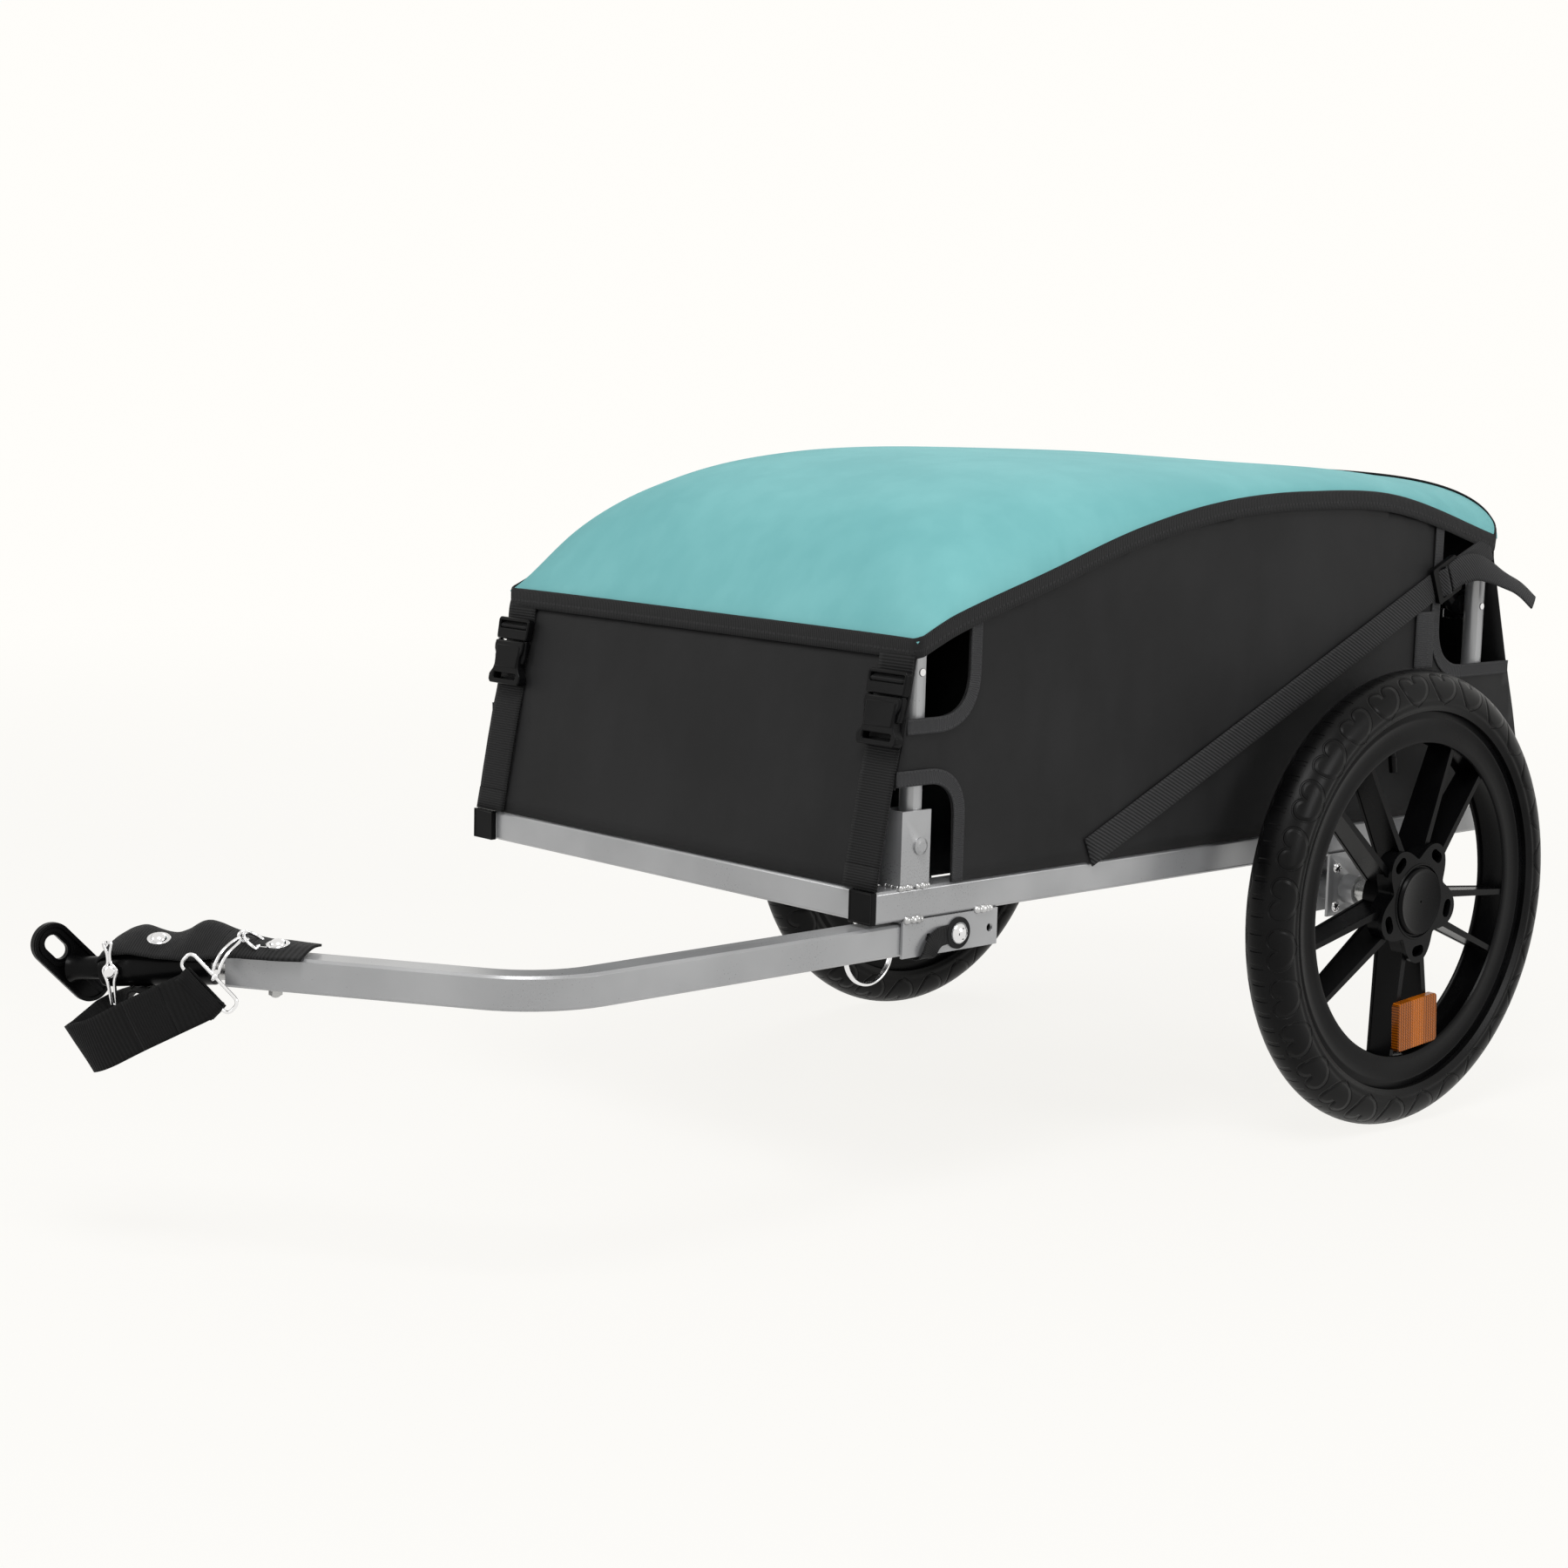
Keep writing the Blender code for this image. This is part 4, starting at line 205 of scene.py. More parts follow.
print("CAD box", [list(corner) for corner in cad_box], "axle at y", round(AXLE_Y, 4))

# %% [markdown]
# ## Writing shader maths as Python
# A material is a graph of nodes. Wrapping a socket in a small class lets `1 - mask * 0.2` build its Math
# nodes, and one method adds any other node: its settings first, then what goes into its sockets.


# %% A socket that does maths
class Field:
    def __init__(self, tree, socket=None):
        self.tree = tree
        self.socket = socket

    def node(self, kind, settings=None, inputs=None, output=0):
        made = self.tree.nodes.new("ShaderNode" + kind)
        for name, value in (settings or {}).items():
            setattr(made, name, value)
        for name, value in (inputs or {}).items():
            if isinstance(value, Field):
                self.tree.links.new(value.socket, made.inputs[name])
            else:
                made.inputs[name].default_value = value
        return Field(self.tree, made.outputs[output])

    def math(self, operation, first, second=0.0):
        return self.node("Math", {"operation": operation}, {0: first, 1: second})

    def __add__(self, other):
        return self.math("ADD", self, other)

    def __sub__(self, other):
        return self.math("SUBTRACT", self, other)

    def __rsub__(self, other):
        return self.math("SUBTRACT", other, self)

    def __mul__(self, other):
        return self.math("MULTIPLY", self, other)

    def __pow__(self, other):
        return self.math("POWER", self, other)

    def __lt__(self, other):
        return self.math("LESS_THAN", self, other)

    def __gt__(self, other):
        return self.math("GREATER_THAN", self, other)

    __radd__ = __add__
    __rmul__ = __mul__

    def between(self, low, high):
        return self.node("MapRange", {"interpolation_type": "SMOOTHSTEP"}, {0: self, 1: low, 2: high})

    def wave(self, turns):
        return self.math("SINE", self * (2 * math.pi * turns))

    def fraction(self):
        return self.math("FRACT", self)

    def size(self):
        return self.math("ABSOLUTE", self)


print("Field ready")


# %% [markdown]
# ## Finishes
# Every finish starts from the Principled shader. Constants sit on its own sockets. What changes over the
# surface feeds only its colour, its roughness or a bump. Hard pieces read Object coordinates, so their grain
# has the same size everywhere. Cloth reads a UV map in metres, so the weave follows the sheet when it bends.


# %% Starting a finish
def start_finish(name, **constants):
    made = bpy.data.materials.new(name)
    made.use_nodes = True
    shader = made.node_tree.nodes["Principled BSDF"]
    for socket, value in constants.items():
        shader.inputs[socket.replace("_", " ")].default_value = value
    return made, shader, Field(made.node_tree)


def paint_over(tree, shader, **fields):
    for socket, field in fields.items():
        tree.tree.links.new(field.socket, shader.inputs[socket.replace("_", " ")])


def speckle(tree, scale, detail=3.0, stretch=None):
    """Noise on Object coordinates, from 0 to 1, stretched where stretch gives three factors."""
    place = tree.node("TexCoord", output="Object")
    if stretch:
        place = tree.node("Mapping", None, {"Vector": place, "Scale": stretch})
    return tree.node("TexNoise", None, {"Vector": place, "Scale": scale, "Detail": detail})


def two_tone(tree, factor, first, second):
    return tree.node("Mix", {"data_type": "RGBA"}, {0: factor, 6: (*first, 1), 7: (*second, 1)}, 2)


def relief(tree, height, distance, strength=1.0):
    return tree.node("Bump", None, {"Height": height, "Distance": distance, "Strength": strength})


def seen_directly(tree):
    """1 for rays from the camera, also by way of a mirror or clear plastic, and 0 for all others."""
    kinds = ("Is Camera Ray", "Is Glossy Ray", "Is Transmission Ray")
    rays = [tree.node("LightPath", output=kind) for kind in kinds]
    return tree.math("MINIMUM", rays[0] + rays[1] + rays[2], 1.0)


def cloth_places(tree):
    """The two coordinates of a sheet in metres: across it and along it."""
    uv = tree.node("UVMap", {"uv_map": "cloth"})
    return (tree.node("SeparateXYZ", None, {0: uv}, 0), tree.node("SeparateXYZ", None, {0: uv}, 1))


# %% Metals
def metal(name, dark, light, roughness, metallic, grain=700.0, bump=0.00004, spread=0.10, shine=0.5):
    made, shader, tree = start_finish(name, Metallic=metallic, Specular_IOR_Level=shine)
    cloud = speckle(tree, 9.0)
    fine = speckle(tree, grain, 2.0)
    paint_over(tree, shader, Base_Color=two_tone(tree, cloud.between(0.35, 0.7), dark, light))
    paint_over(tree, shader, Roughness=roughness + (cloud - 0.5) * spread + (fine - 0.5) * spread)
    paint_over(tree, shader, Normal=relief(tree, fine, bump, 0.6))
    return made


silver_paint = metal("silver_paint", (0.34, 0.343, 0.347), (0.41, 0.413, 0.417), 0.30, 0.45)
black_paint = metal("black_paint", (0.006, 0.006, 0.0065), (0.012, 0.012, 0.0125), 0.36, 0.0, shine=0.12)
zinc_plate = metal("zinc_plate", (0.44, 0.44, 0.435), (0.57, 0.57, 0.56), 0.28, 0.85, 300.0)
weld_metal = metal("weld_metal", (0.42, 0.42, 0.42), (0.62, 0.62, 0.62), 0.32, 0.8, 160.0, 0.0004, 0.25)
bright_wire = metal("bright_wire", (0.74, 0.74, 0.75), (0.86, 0.86, 0.87), 0.14, 1.0, 500.0, 0.00001, 0.05)
print("metals", silver_paint.name, black_paint.name, zinc_plate.name, weld_metal.name, bright_wire.name)


# %% Plastics and rubber
def moulded(name, dark, light, roughness, grain=1400.0):
    made, shader, tree = start_finish(name, Specular_IOR_Level=0.08)
    cloud = speckle(tree, 14.0)
    fine = speckle(tree, grain, 2.0)
    paint_over(tree, shader, Base_Color=two_tone(tree, cloud.between(0.3, 0.75), dark, light))
    paint_over(tree, shader, Roughness=roughness + (cloud - 0.5) * 0.16)
    paint_over(tree, shader, Normal=relief(tree, fine, 0.00006, 0.5))
    return made


black_plastic = moulded("black_plastic", (0.0022, 0.0022, 0.0024), (0.0060, 0.0060, 0.0063), 0.30)
wheel_plastic = moulded("wheel_plastic", (0.0020, 0.0020, 0.0022), (0.0055, 0.0055, 0.0058), 0.28, 700.0)
print("plastics", black_plastic.name, wheel_plastic.name)


# %% Tread rubber
PATTERN_WIDTH = 0.0426
SHOULDER_LENGTH = 0.0472
HEART_LEVEL = 0.0274
HEART_POINT = 0.0078
LOBE_RADIUS = 0.00895
FLANK_RADIUS = 0.0200
FLANK_MIDDLE = -0.0021
RING_TOP = 0.0056


def tread_rubber():
    """Black rubber with heart-shaped sipes. u counts them round the wheel, v runs up to the crown."""
    made, shader, tree = start_finish("tyre_rubber", Specular_IOR_Level=0.11)
    turn, up = cloth_places(tree)
    across = (turn.fraction() - 0.5).size() * PATTERN_WIDTH
    out = up * SHOULDER_LENGTH
    lobe = out > HEART_LEVEL
    from_middle = across - (lobe * (LOBE_RADIUS - FLANK_MIDDLE) + FLANK_MIDDLE)
    from_level = out - HEART_LEVEL
    distance = (from_middle * from_middle + from_level * from_level) ** 0.5
    inside = lobe * (LOBE_RADIUS - FLANK_RADIUS) + FLANK_RADIUS - distance
    outline = 1 - inside.size().between(0.0004, 0.0011)
    stem = (1 - across.between(0.0004, 0.0011)) * (out < HEART_POINT) * (out > RING_TOP)
    crown = (turn * 3.0).fraction()
    blocks = (1 - (crown - 0.5).size().between(0.10, 0.17)) * (up > 0.86)
    sipes = tree.math("MAXIMUM", tree.math("MAXIMUM", outline, stem), blocks)
    cloud = speckle(tree, 22.0)
    fine = speckle(tree, 900.0, 2.0)
    tone = two_tone(tree, cloud.between(0.3, 0.75), (0.0014, 0.0014, 0.0015), (0.0045, 0.0045, 0.0047))
    paint_over(tree, shader, Base_Color=tone)
    paint_over(tree, shader, Roughness=0.36 + (cloud - 0.5) * 0.16)
    height = (1 - sipes) + inside.between(0.0005, 0.0040) * 0.35 + fine * 0.04
    paint_over(tree, shader, Normal=relief(tree, height, 0.0018, 1.0))
    return made


tyre_rubber = tread_rubber()
print("rubber", tyre_rubber.name)


# %% Reflector
def prism_amber():
    """Clear amber plastic with rows of tiny prisms behind its face."""
    made, shader, tree = start_finish(
        "amber_reflector", Coat_Weight=0.10, Coat_Roughness=0.06, Specular_IOR_Level=0.12,
    )
    across, along = cloth_places(tree)
    rows = across.wave(300.0) * 0.5 + 0.5
    ridge = (across * 150.0).fraction() > 0.5
    slopes = (along + across.size() * (ridge * 2.0 - 1.0)).wave(420.0) * 0.5 + 0.5
    middle = 1 - (across.size() - 0.004).between(0.002, 0.007)
    # The colour paints the prisms' glints: bright along their rows and slopes, and brighter in the middle.
    glint = rows * 0.45 + slopes * 0.35 + middle * 0.25
    paint_over(tree, shader, Base_Color=two_tone(tree, glint, (0.040, 0.006, 0.0003), (0.66, 0.175, 0.006)))
    paint_over(tree, shader, Roughness=0.14 + rows * 0.18)
    paint_over(tree, shader, Normal=relief(tree, rows * slopes, 0.0005, 0.6))
    return made


amber = prism_amber()
print("reflector", amber.name)


# %% Cloth
def woven(name, dark, light, roughness, thread=0.0011, depth=0.00012, cloud_scale=7.0, sheen=0.02):
    """Coated plain weave: two sets of threads and creases in its bump. Its colour is painted shade: darker in broad
    soft patches and where the creases sink.
    """
    made, shader, tree = start_finish(name, Sheen_Weight=sheen, Sheen_Roughness=0.5, Specular_IOR_Level=0.12)
    across, along = cloth_places(tree)
    weave = across.wave(1 / thread) * along.wave(1 / thread)
    cloud = speckle(tree, cloud_scale, 4.0)
    crease = speckle(tree, 38.0, 3.0, (1.0, 1.0, 0.35))
    # Painted shade: darker in broad soft patches, and where the creases sink in the bump below.
    tone = cloud.between(0.3, 0.72) * 0.65 + crease.between(0.35, 0.7) * 0.35
    paint_over(tree, shader, Base_Color=two_tone(tree, tone, dark, light))
    paint_over(tree, shader, Roughness=roughness + (crease - 0.5) * 0.12)
    height = weave * 0.5 + crease * 2.2
    paint_over(tree, shader, Normal=relief(tree, height, depth, 0.8))
    return made


black_cloth = woven("black_cloth", (0.0095, 0.0095, 0.0098), (0.0170, 0.0170, 0.0173), 0.55)
teal_cloth = woven(
    "teal_cloth", (0.172, 0.462, 0.466), (0.216, 0.532, 0.532), 0.78, 0.0010, 0.00013, 9.0, 0.05,
)
floor_cloth = woven("floor_cloth", (0.008, 0.008, 0.0085), (0.014, 0.014, 0.0145), 0.66)
print("cloths", black_cloth.name, teal_cloth.name, floor_cloth.name)


# %% Webbing and trim
def webbing_finish(name, dark, light, rib, slant=0.0, stitches=None):
    """Ribbed webbing: ridges across it, a finer twill on each, and stitches near its edges if wanted. Its colour paints
    sheen on what rises and shade in the grooves.
    """
    made, shader, tree = start_finish(name, Sheen_Weight=0.03, Sheen_Roughness=0.5, Specular_IOR_Level=0.14)
    across, along = cloth_places(tree)
    ridge = (along + across * slant).wave(1 / rib) * 0.5 + 0.5
    twill = (across * 1.0 + along * 0.5).wave(1 / (rib * 0.45)) * 0.5 + 0.5
    dust = speckle(tree, 260.0, 2.0)
    # Painted sheen and shade: the ridges and the twill are lighter where they rise and darker in their grooves. The
    # dust is a random tone.
    tone = ridge * 0.55 + twill * 0.2 + dust * 0.25
    height = ridge + twill * 0.35
    if stitches:
        inset, pitch = stitches
        row = 1 - (across.size() - inset).size().between(0.0003, 0.0008)
        dash = (along * (1 / pitch)).fraction().between(0.15, 0.35)
        thread = row * dash
        height = height - row * 0.9 + thread * 2.0
        # The sunk row of the stitches is darker, as painted shade, and the thread is lighter.
        tone = tone + thread * 0.7 - row * 0.25
    paint_over(tree, shader, Base_Color=two_tone(tree, tone.between(0.05, 1.0), dark, light))
    paint_over(tree, shader, Roughness=0.62 + dust * 0.15)
    paint_over(tree, shader, Normal=relief(tree, height, 0.00035, 0.9))
    return made


black_webbing = webbing_finish("black_webbing", (0.0010, 0.0010, 0.0010), (0.020, 0.020, 0.0205), 0.0021)
# The black webbing again, darker and with fainter painted sheen on its ribs, for the hanging strap.
dense_webbing = webbing_finish("dense_webbing", (0.0008, 0.0008, 0.0008), (0.0040, 0.0040, 0.0042), 0.0021)
twill_webbing = webbing_finish("twill_webbing", (0.006, 0.006, 0.006), (0.046, 0.046, 0.047), 0.0026, 0.6)
TAPE_STITCHES, TRIM_STITCHES = (0.0048, 0.0042), (0.0046, 0.0036)
binding_tape = webbing_finish(
    "binding_tape", (0.006, 0.006, 0.006), (0.026, 0.026, 0.0265), 0.0016, stitches=TAPE_STITCHES,
)
grey_trim = webbing_finish(
    "grey_trim", (0.028, 0.028, 0.029), (0.050, 0.050, 0.051), 0.0013, stitches=TRIM_STITCHES,
)
webbings = (black_webbing, dense_webbing, twill_webbing, binding_tape, grey_trim)
print("webbing", [finish.name for finish in webbings])


# %% [markdown]
# ## Helpers for shapes
# Lengths are measured from the wheel axle, as a trailer maker would, and each finished piece is moved by
# AXLE_Y at the end. Its object stays at the origin, so Object coordinates stay steady at every pose.


# %% Putting a piece on its body
def settle(name, bm, finish, body, replaced=(), slot=None, smooth=35, shift=True, bevel=0.0, thick=0.0):
    """Makes an object from a bmesh, rides it on a body and says which CAD nodes it stands for.

    smooth is the angle above which edges look sharp. A piece with a thickness is cloth, and smooth all over.
    """
    if shift:
        bmesh.ops.translate(bm, vec=(0, AXLE_Y, 0), verts=bm.verts[:])
    mesh = bpy.data.meshes.new(name)
    bm.to_mesh(mesh)
    bm.free()
    mesh.materials.append(finish)
    mesh.shade_smooth()
    if smooth < 180 and not thick:
        mesh.set_sharp_from_angle(angle=math.radians(smooth))
    obj = bpy.data.objects.new(name, mesh)
    bpy.context.collection.objects.link(obj)
    if thick:
        skin = obj.modifiers.new("Solidify", "SOLIDIFY")
        skin.thickness = thick
        skin.offset = 0.0
    if bevel:
        edge = obj.modifiers.new("Bevel", "BEVEL")
        edge.width = bevel
        edge.segments = 2
        edge.limit_method = "ANGLE"
        edge.angle_limit = math.radians(35)
        edge.harden_normals = False
    if body:
        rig.ride(obj, body)
    if replaced:
        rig.replaces(obj, *replaced)
    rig.slot(obj, slot or finish.name.split(".")[0])
    return obj


def body_of_node(node):
    bodies = frame["record"]["behaviour"]["bodies"]
    return next(body for body, nodes in bodies.items() if node in nodes)


def refined(node, finish, bevel=0.0004, slot=None, smooth=35):
    """A merged copy of a rigid CAD node, with its flat faces joined again and its edges softened."""
    bm = bmesh.new()
    bm.from_mesh(frame["nodes"][node].data)
    bmesh.ops.remove_doubles(bm, verts=bm.verts[:], dist=0.000002)
    bmesh.ops.dissolve_limit(bm, angle_limit=math.radians(0.6), verts=bm.verts[:], edges=bm.edges[:])
    return settle(node + "_part", bm, finish, body_of_node(node), (node,), slot, smooth, False, bevel)


def add_box(bm, size, centre=(0, 0, 0)):
    """Adds a box and returns its vertices."""
    made = bmesh.ops.create_cube(bm, size=1.0)["verts"]
    bmesh.ops.scale(bm, vec=size, verts=made)
    bmesh.ops.translate(bm, vec=centre, verts=made)
    return made


def turn_to(direction):
    """The rotation that takes +Z to a direction."""
    return Vector((0, 0, 1)).rotation_difference(Vector(direction).normalized()).to_matrix().to_4x4()


def add_rod(bm, start, end, radius, sides=24, end_radius=None):
    """Adds a round bar between two points."""
    start, end = Vector(start), Vector(end)
    place = Matrix.Translation((start + end) / 2) @ turn_to(end - start)
    bmesh.ops.create_cone(
        bm, cap_ends=True, segments=sides, radius1=radius, radius2=end_radius or radius,
        depth=(end - start).length, matrix=place,
    )


def add_dome(bm, centre, direction, radius, height, sides=20):
    """Adds a low round head, flat underneath."""
    made = bmesh.ops.create_uvsphere(bm, u_segments=sides, v_segments=12, radius=1.0)["verts"]
    bmesh.ops.delete(bm, geom=[v for v in made if v.co.z < -0.01], context="VERTS")
    made = [v for v in made if v.is_valid]
    rim = [e for e in bm.edges if e.is_boundary and e.verts[0] in made]
    bmesh.ops.contextual_create(bm, geom=rim)
    bmesh.ops.scale(bm, vec=(radius, radius, height), verts=made)
    bmesh.ops.transform(bm, matrix=Matrix.Translation(centre) @ turn_to(direction), verts=made)


def smooth_line(knots, samples=8):
    """Points of a Catmull-Rom curve through the knots."""
    points = [Vector(k) for k in knots]
    points = [points[0] * 2 - points[1]] + points + [points[-1] * 2 - points[-2]]
    found = []
    for i in range(1, len(points) - 2):
        a, b, c, d = points[i - 1:i + 3]
        for j in range(samples):
            t = j / samples
            bend, twist = a * 2 - b * 5 + c * 4 - d, b * 3 - a - c * 3 + d
            found.append((b * 2 + (c - a) * t + bend * t**2 + twist * t**3) / 2)
    return found + [points[-2]]


def spans_between(knot_spans, points, samples):
    """Width directions for every point, from one for each of the knots that the points were drawn through."""
    found = []
    for i in range(len(points)):
        at = min(i / samples, len(knot_spans) - 1.001)
        k = int(at)
        found.append(knot_spans[k].lerp(knot_spans[k + 1], at - k))
    return found


def wire_into(bm, points, radius, closed=False, sides=3):
    """Adds round wire along points, by way of a curve object that is made a mesh and thrown away."""
    curve = bpy.data.curves.new("wire", "CURVE")
    curve.dimensions = "3D"
    curve.bevel_depth = radius
    curve.bevel_resolution = sides
    curve.use_fill_caps = True
    spline = curve.splines.new("POLY")
    spline.points.add(len(points) - 1)
    for point, place in zip(spline.points, points):
        point.co = (*place, 1.0)
    spline.use_cyclic_u = closed
    holder = bpy.data.objects.new("wire", curve)
    bpy.context.collection.objects.link(holder)
    mesh = bpy.data.meshes.new_from_object(holder.evaluated_get(bpy.context.evaluated_depsgraph_get()))
    bm.from_mesh(mesh)
    bpy.data.objects.remove(holder)
    bpy.data.curves.remove(curve)
    bpy.data.meshes.remove(mesh)


def circle_points(centre, normal, radius, steps=48, start=0.0, sweep=2 * math.pi):
    """Points of a circle, or of an arc of it, square to a direction."""
    place = Matrix.Translation(centre) @ turn_to(normal)
    angles = [start + sweep * i / steps for i in range(steps + (sweep < 2 * math.pi - 1e-6))]
    return [place @ Vector((radius * math.cos(a), radius * math.sin(a), 0)) for a in angles]


def mirrored(half):
    """Half an outline, followed by its mirror image."""
    return half + [(-across, height) for across, height in reversed(half)]


# %% Cloth from a grid
def cloth_grid(columns, rows, place, size, closed=False):
    """A grid whose point (u, v), both from 0 to 1, goes to place(u, v). Its UV map is in metres of cloth."""
    bm = bmesh.new()
    bmesh.ops.create_grid(bm, x_segments=columns, y_segments=rows, size=0.5)
    layer = bm.loops.layers.uv.new("cloth")
    width, length = size
    for face in bm.faces:
        for loop in face.loops:
            loop[layer].uv = (loop.vert.co.x * width, (loop.vert.co.y + 0.5) * length)
    for vert in bm.verts:
        vert.co = place(vert.co.x + 0.5, vert.co.y + 0.5)
    if closed:
        bmesh.ops.remove_doubles(bm, verts=bm.verts[:], dist=0.00001)
    return bm


def path_length(points):
    return sum((b - a).length for a, b in zip(points, points[1:]))


def strap_grid(points, across, width, crown, columns):
    """Webbing along points. across is the direction of its width at each point, crown how far it bulges."""
    spans = [Vector(a) for a in across]

    def place(u, v):
        at = v * (len(points) - 1)
        i = min(int(at), len(points) - 2)
        t = at - i
        ahead = (points[i + 1] - points[i]).normalized()
        wide = spans[i].lerp(spans[i + 1], t)
        wide = (wide - ahead * wide.dot(ahead)).normalized()
        off = (u - 0.5) * width
        lift = crown * (1 - (2 * u - 1) ** 2)
        return points[i].lerp(points[i + 1], t) + wide * off + ahead.cross(wide) * lift

    return cloth_grid(columns, len(points) - 1, place, (width, path_length(points)))


def webbing(name, points, across, width, crown, finish, body, thick, replaced=(), slot=None, columns=8):
    """A finished piece of webbing along points, on its body."""
    bm = strap_grid(points, across, width, crown, columns)
    return settle(name, bm, finish, body, replaced, slot, thick=thick)


def wrinkle(place, scale, seed=0.0):
    """Steady noise from -1 to 1 at a place."""
    return noise.noise(Vector(place) * scale + Vector((seed, 0, 0)))


print("shape helpers ready")


# %% [markdown]
# ## Camera, floor and lamps
# The camera was solved from the two wheels and the square base in the picture. The floor is pale and plain.
# The lamps are large and soft, so a colour comes out about as it is written.

# %% Camera
CAMERA_PLACE = Vector((1.8075, -2.1463, 0.6668))
CAMERA_YAW = math.radians(46.9058)
CAMERA_PITCH = math.radians(8.447)
CAMERA_ROLL = math.radians(1.5236)
ahead = Vector((
    -math.sin(CAMERA_YAW) * math.cos(CAMERA_PITCH), math.cos(CAMERA_YAW) * math.cos(CAMERA_PITCH),
    -math.sin(CAMERA_PITCH),
))
level = Vector((math.cos(CAMERA_YAW), math.sin(CAMERA_YAW), 0))
upward = level.cross(ahead)
right = level * math.cos(CAMERA_ROLL) + upward * math.sin(CAMERA_ROLL)
upward = upward * math.cos(CAMERA_ROLL) - level * math.sin(CAMERA_ROLL)
lens = bpy.data.cameras.new("photo_camera")
lens.lens = 68.67
lens.sensor_width = 36.0
lens.clip_start = 0.05
camera = bpy.data.objects.new("photo_camera", lens)
bpy.context.collection.objects.link(camera)
turned_to_view = Matrix((right, upward, -ahead)).transposed().to_4x4()
camera.matrix_world = Matrix.Translation(CAMERA_PLACE + Vector((0, AXLE_Y, 0))) @ turned_to_view
bpy.context.scene.camera = camera
bpy.context.scene.view_settings.view_transform = "Standard"
print("camera at", [round(v, 3) for v in camera.location])

# %% Floor
BACKDROP = (1.0, 0.987, 0.955)
NEAR_GLOW = 0.88


def shadow_white(name, base):
    """A pale floor that shows plain white to the camera but keeps the object's shadow."""
    made, shader, tree = start_finish(name, Roughness=1.0, Specular_IOR_Level=0.0)
    shader.inputs["Base Color"].default_value = (*base, 1)
    glow = tree.node("Emission", None, {"Color": (*BACKDROP, 1), "Strength": 1.0})
    surface = Field(tree.tree, shader.outputs["BSDF"])
    place = tree.node("TexCoord", output="Object")
    away = tree.node("VectorMath", {"operation": "LENGTH"}, {0: place}, 1).between(1.0, 4.5)
    share = seen_directly(tree) * (away * (1 - NEAR_GLOW) + NEAR_GLOW)
    mixed = tree.node("MixShader", None, {0: share, 1: surface, 2: glow})
    tree.tree.links.new(mixed.socket, tree.tree.nodes["Material Output"].inputs["Surface"])
    return made


bm = bmesh.new()
bmesh.ops.create_grid(bm, x_segments=1, y_segments=1, size=30.0)
floor_mesh = bpy.data.meshes.new("studio_floor")
bm.to_mesh(floor_mesh)
bm.free()
floor_mesh.materials.append(shadow_white("studio_floor", (0.80, 0.80, 0.80)))
studio_floor = bpy.data.objects.new("studio_floor", floor_mesh)
studio_floor.location.z = -0.0005
bpy.context.collection.objects.link(studio_floor)
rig.stage(studio_floor)
print("floor ready")


# %% World and lamps
WORLD_LIGHT = 0.36


def studio_world():
    world = bpy.data.worlds.new("studio")
    world.use_nodes = True
    tree = Field(world.node_tree)
    seen = seen_directly(tree)
    background = world.node_tree.nodes["Background"]
    colour = two_tone(tree, seen, (0.95, 0.96, 1.0), BACKDROP)
    world.node_tree.links.new(colour.socket, background.inputs["Color"])
    strength = seen * (1.0 - WORLD_LIGHT) + WORLD_LIGHT
    world.node_tree.links.new(strength.socket, background.inputs["Strength"])
    bpy.context.scene.world = world


def lamp(name, place, target, size, power):
    light = bpy.data.lights.new(name, "AREA")
    light.shape = "RECTANGLE"
    light.size, light.size_y = size
    light.energy = power
    made = bpy.data.objects.new(name, light)
    made.location = place
    made.rotation_mode = "QUATERNION"
    made.rotation_quaternion = (Vector(target) - Vector(place)).to_track_quat("-Z", "Y")
    bpy.context.collection.objects.link(made)


studio_world()
lamp("key_lamp", (1.2, -1.4, 3.2), (0, 0.1, 0.3), (1.5, 1.5), 66)
lamp("front_lamp", (-1.6, -3.0, 1.5), (0, -0.2, 0.3), (1.0, 1.4), 18)
lamp("side_lamp", (3.2, 0.9, 1.3), (0.2, 0.2, 0.3), (1.0, 1.0), 30)
lamp("back_lamp", (-1.8, 2.8, 2.4), (0, 0.2, 0.4), (1.6, 1.2), 34)
print("lamps ready")


# %% [markdown]
# ## Wheels
# A tyre is one outline turned about the axle, so `spin` makes it in one step. Its UV map counts the patterns
# of its tread, which is how the mould was cut too. The rim was moulded in one shot: hoop, deep thin spokes in
# pairs, and a hub plate with a slot where each pair starts.

# %% Wheel sizes
AXLE_Z = 0.200
TRACK_HALF = 0.302
TYRE_WIDTH = 0.044
TYRE_SEAT = 0.158
BEAD_ANGLE = -33
TREAD_PATTERNS = 28
HUB_PLATE_X = 0.0165
SPOKE_ANGLES = [math.radians(-86 + 72 * i) for i in range(5)]
SPOKE_SPREAD = (0.010, 0.027)
SPOKE_DEPTH = (0.030, 0.024)
VALVE_ANGLE = math.radians(100)


def arc_points(centre, radius, start, end, steps):
    angles = [math.radians(start + (end - start) * i / steps) for i in range(steps + 1)]
    return [(centre[0] + radius * math.cos(a), centre[1] + radius * math.sin(a)) for a in angles]


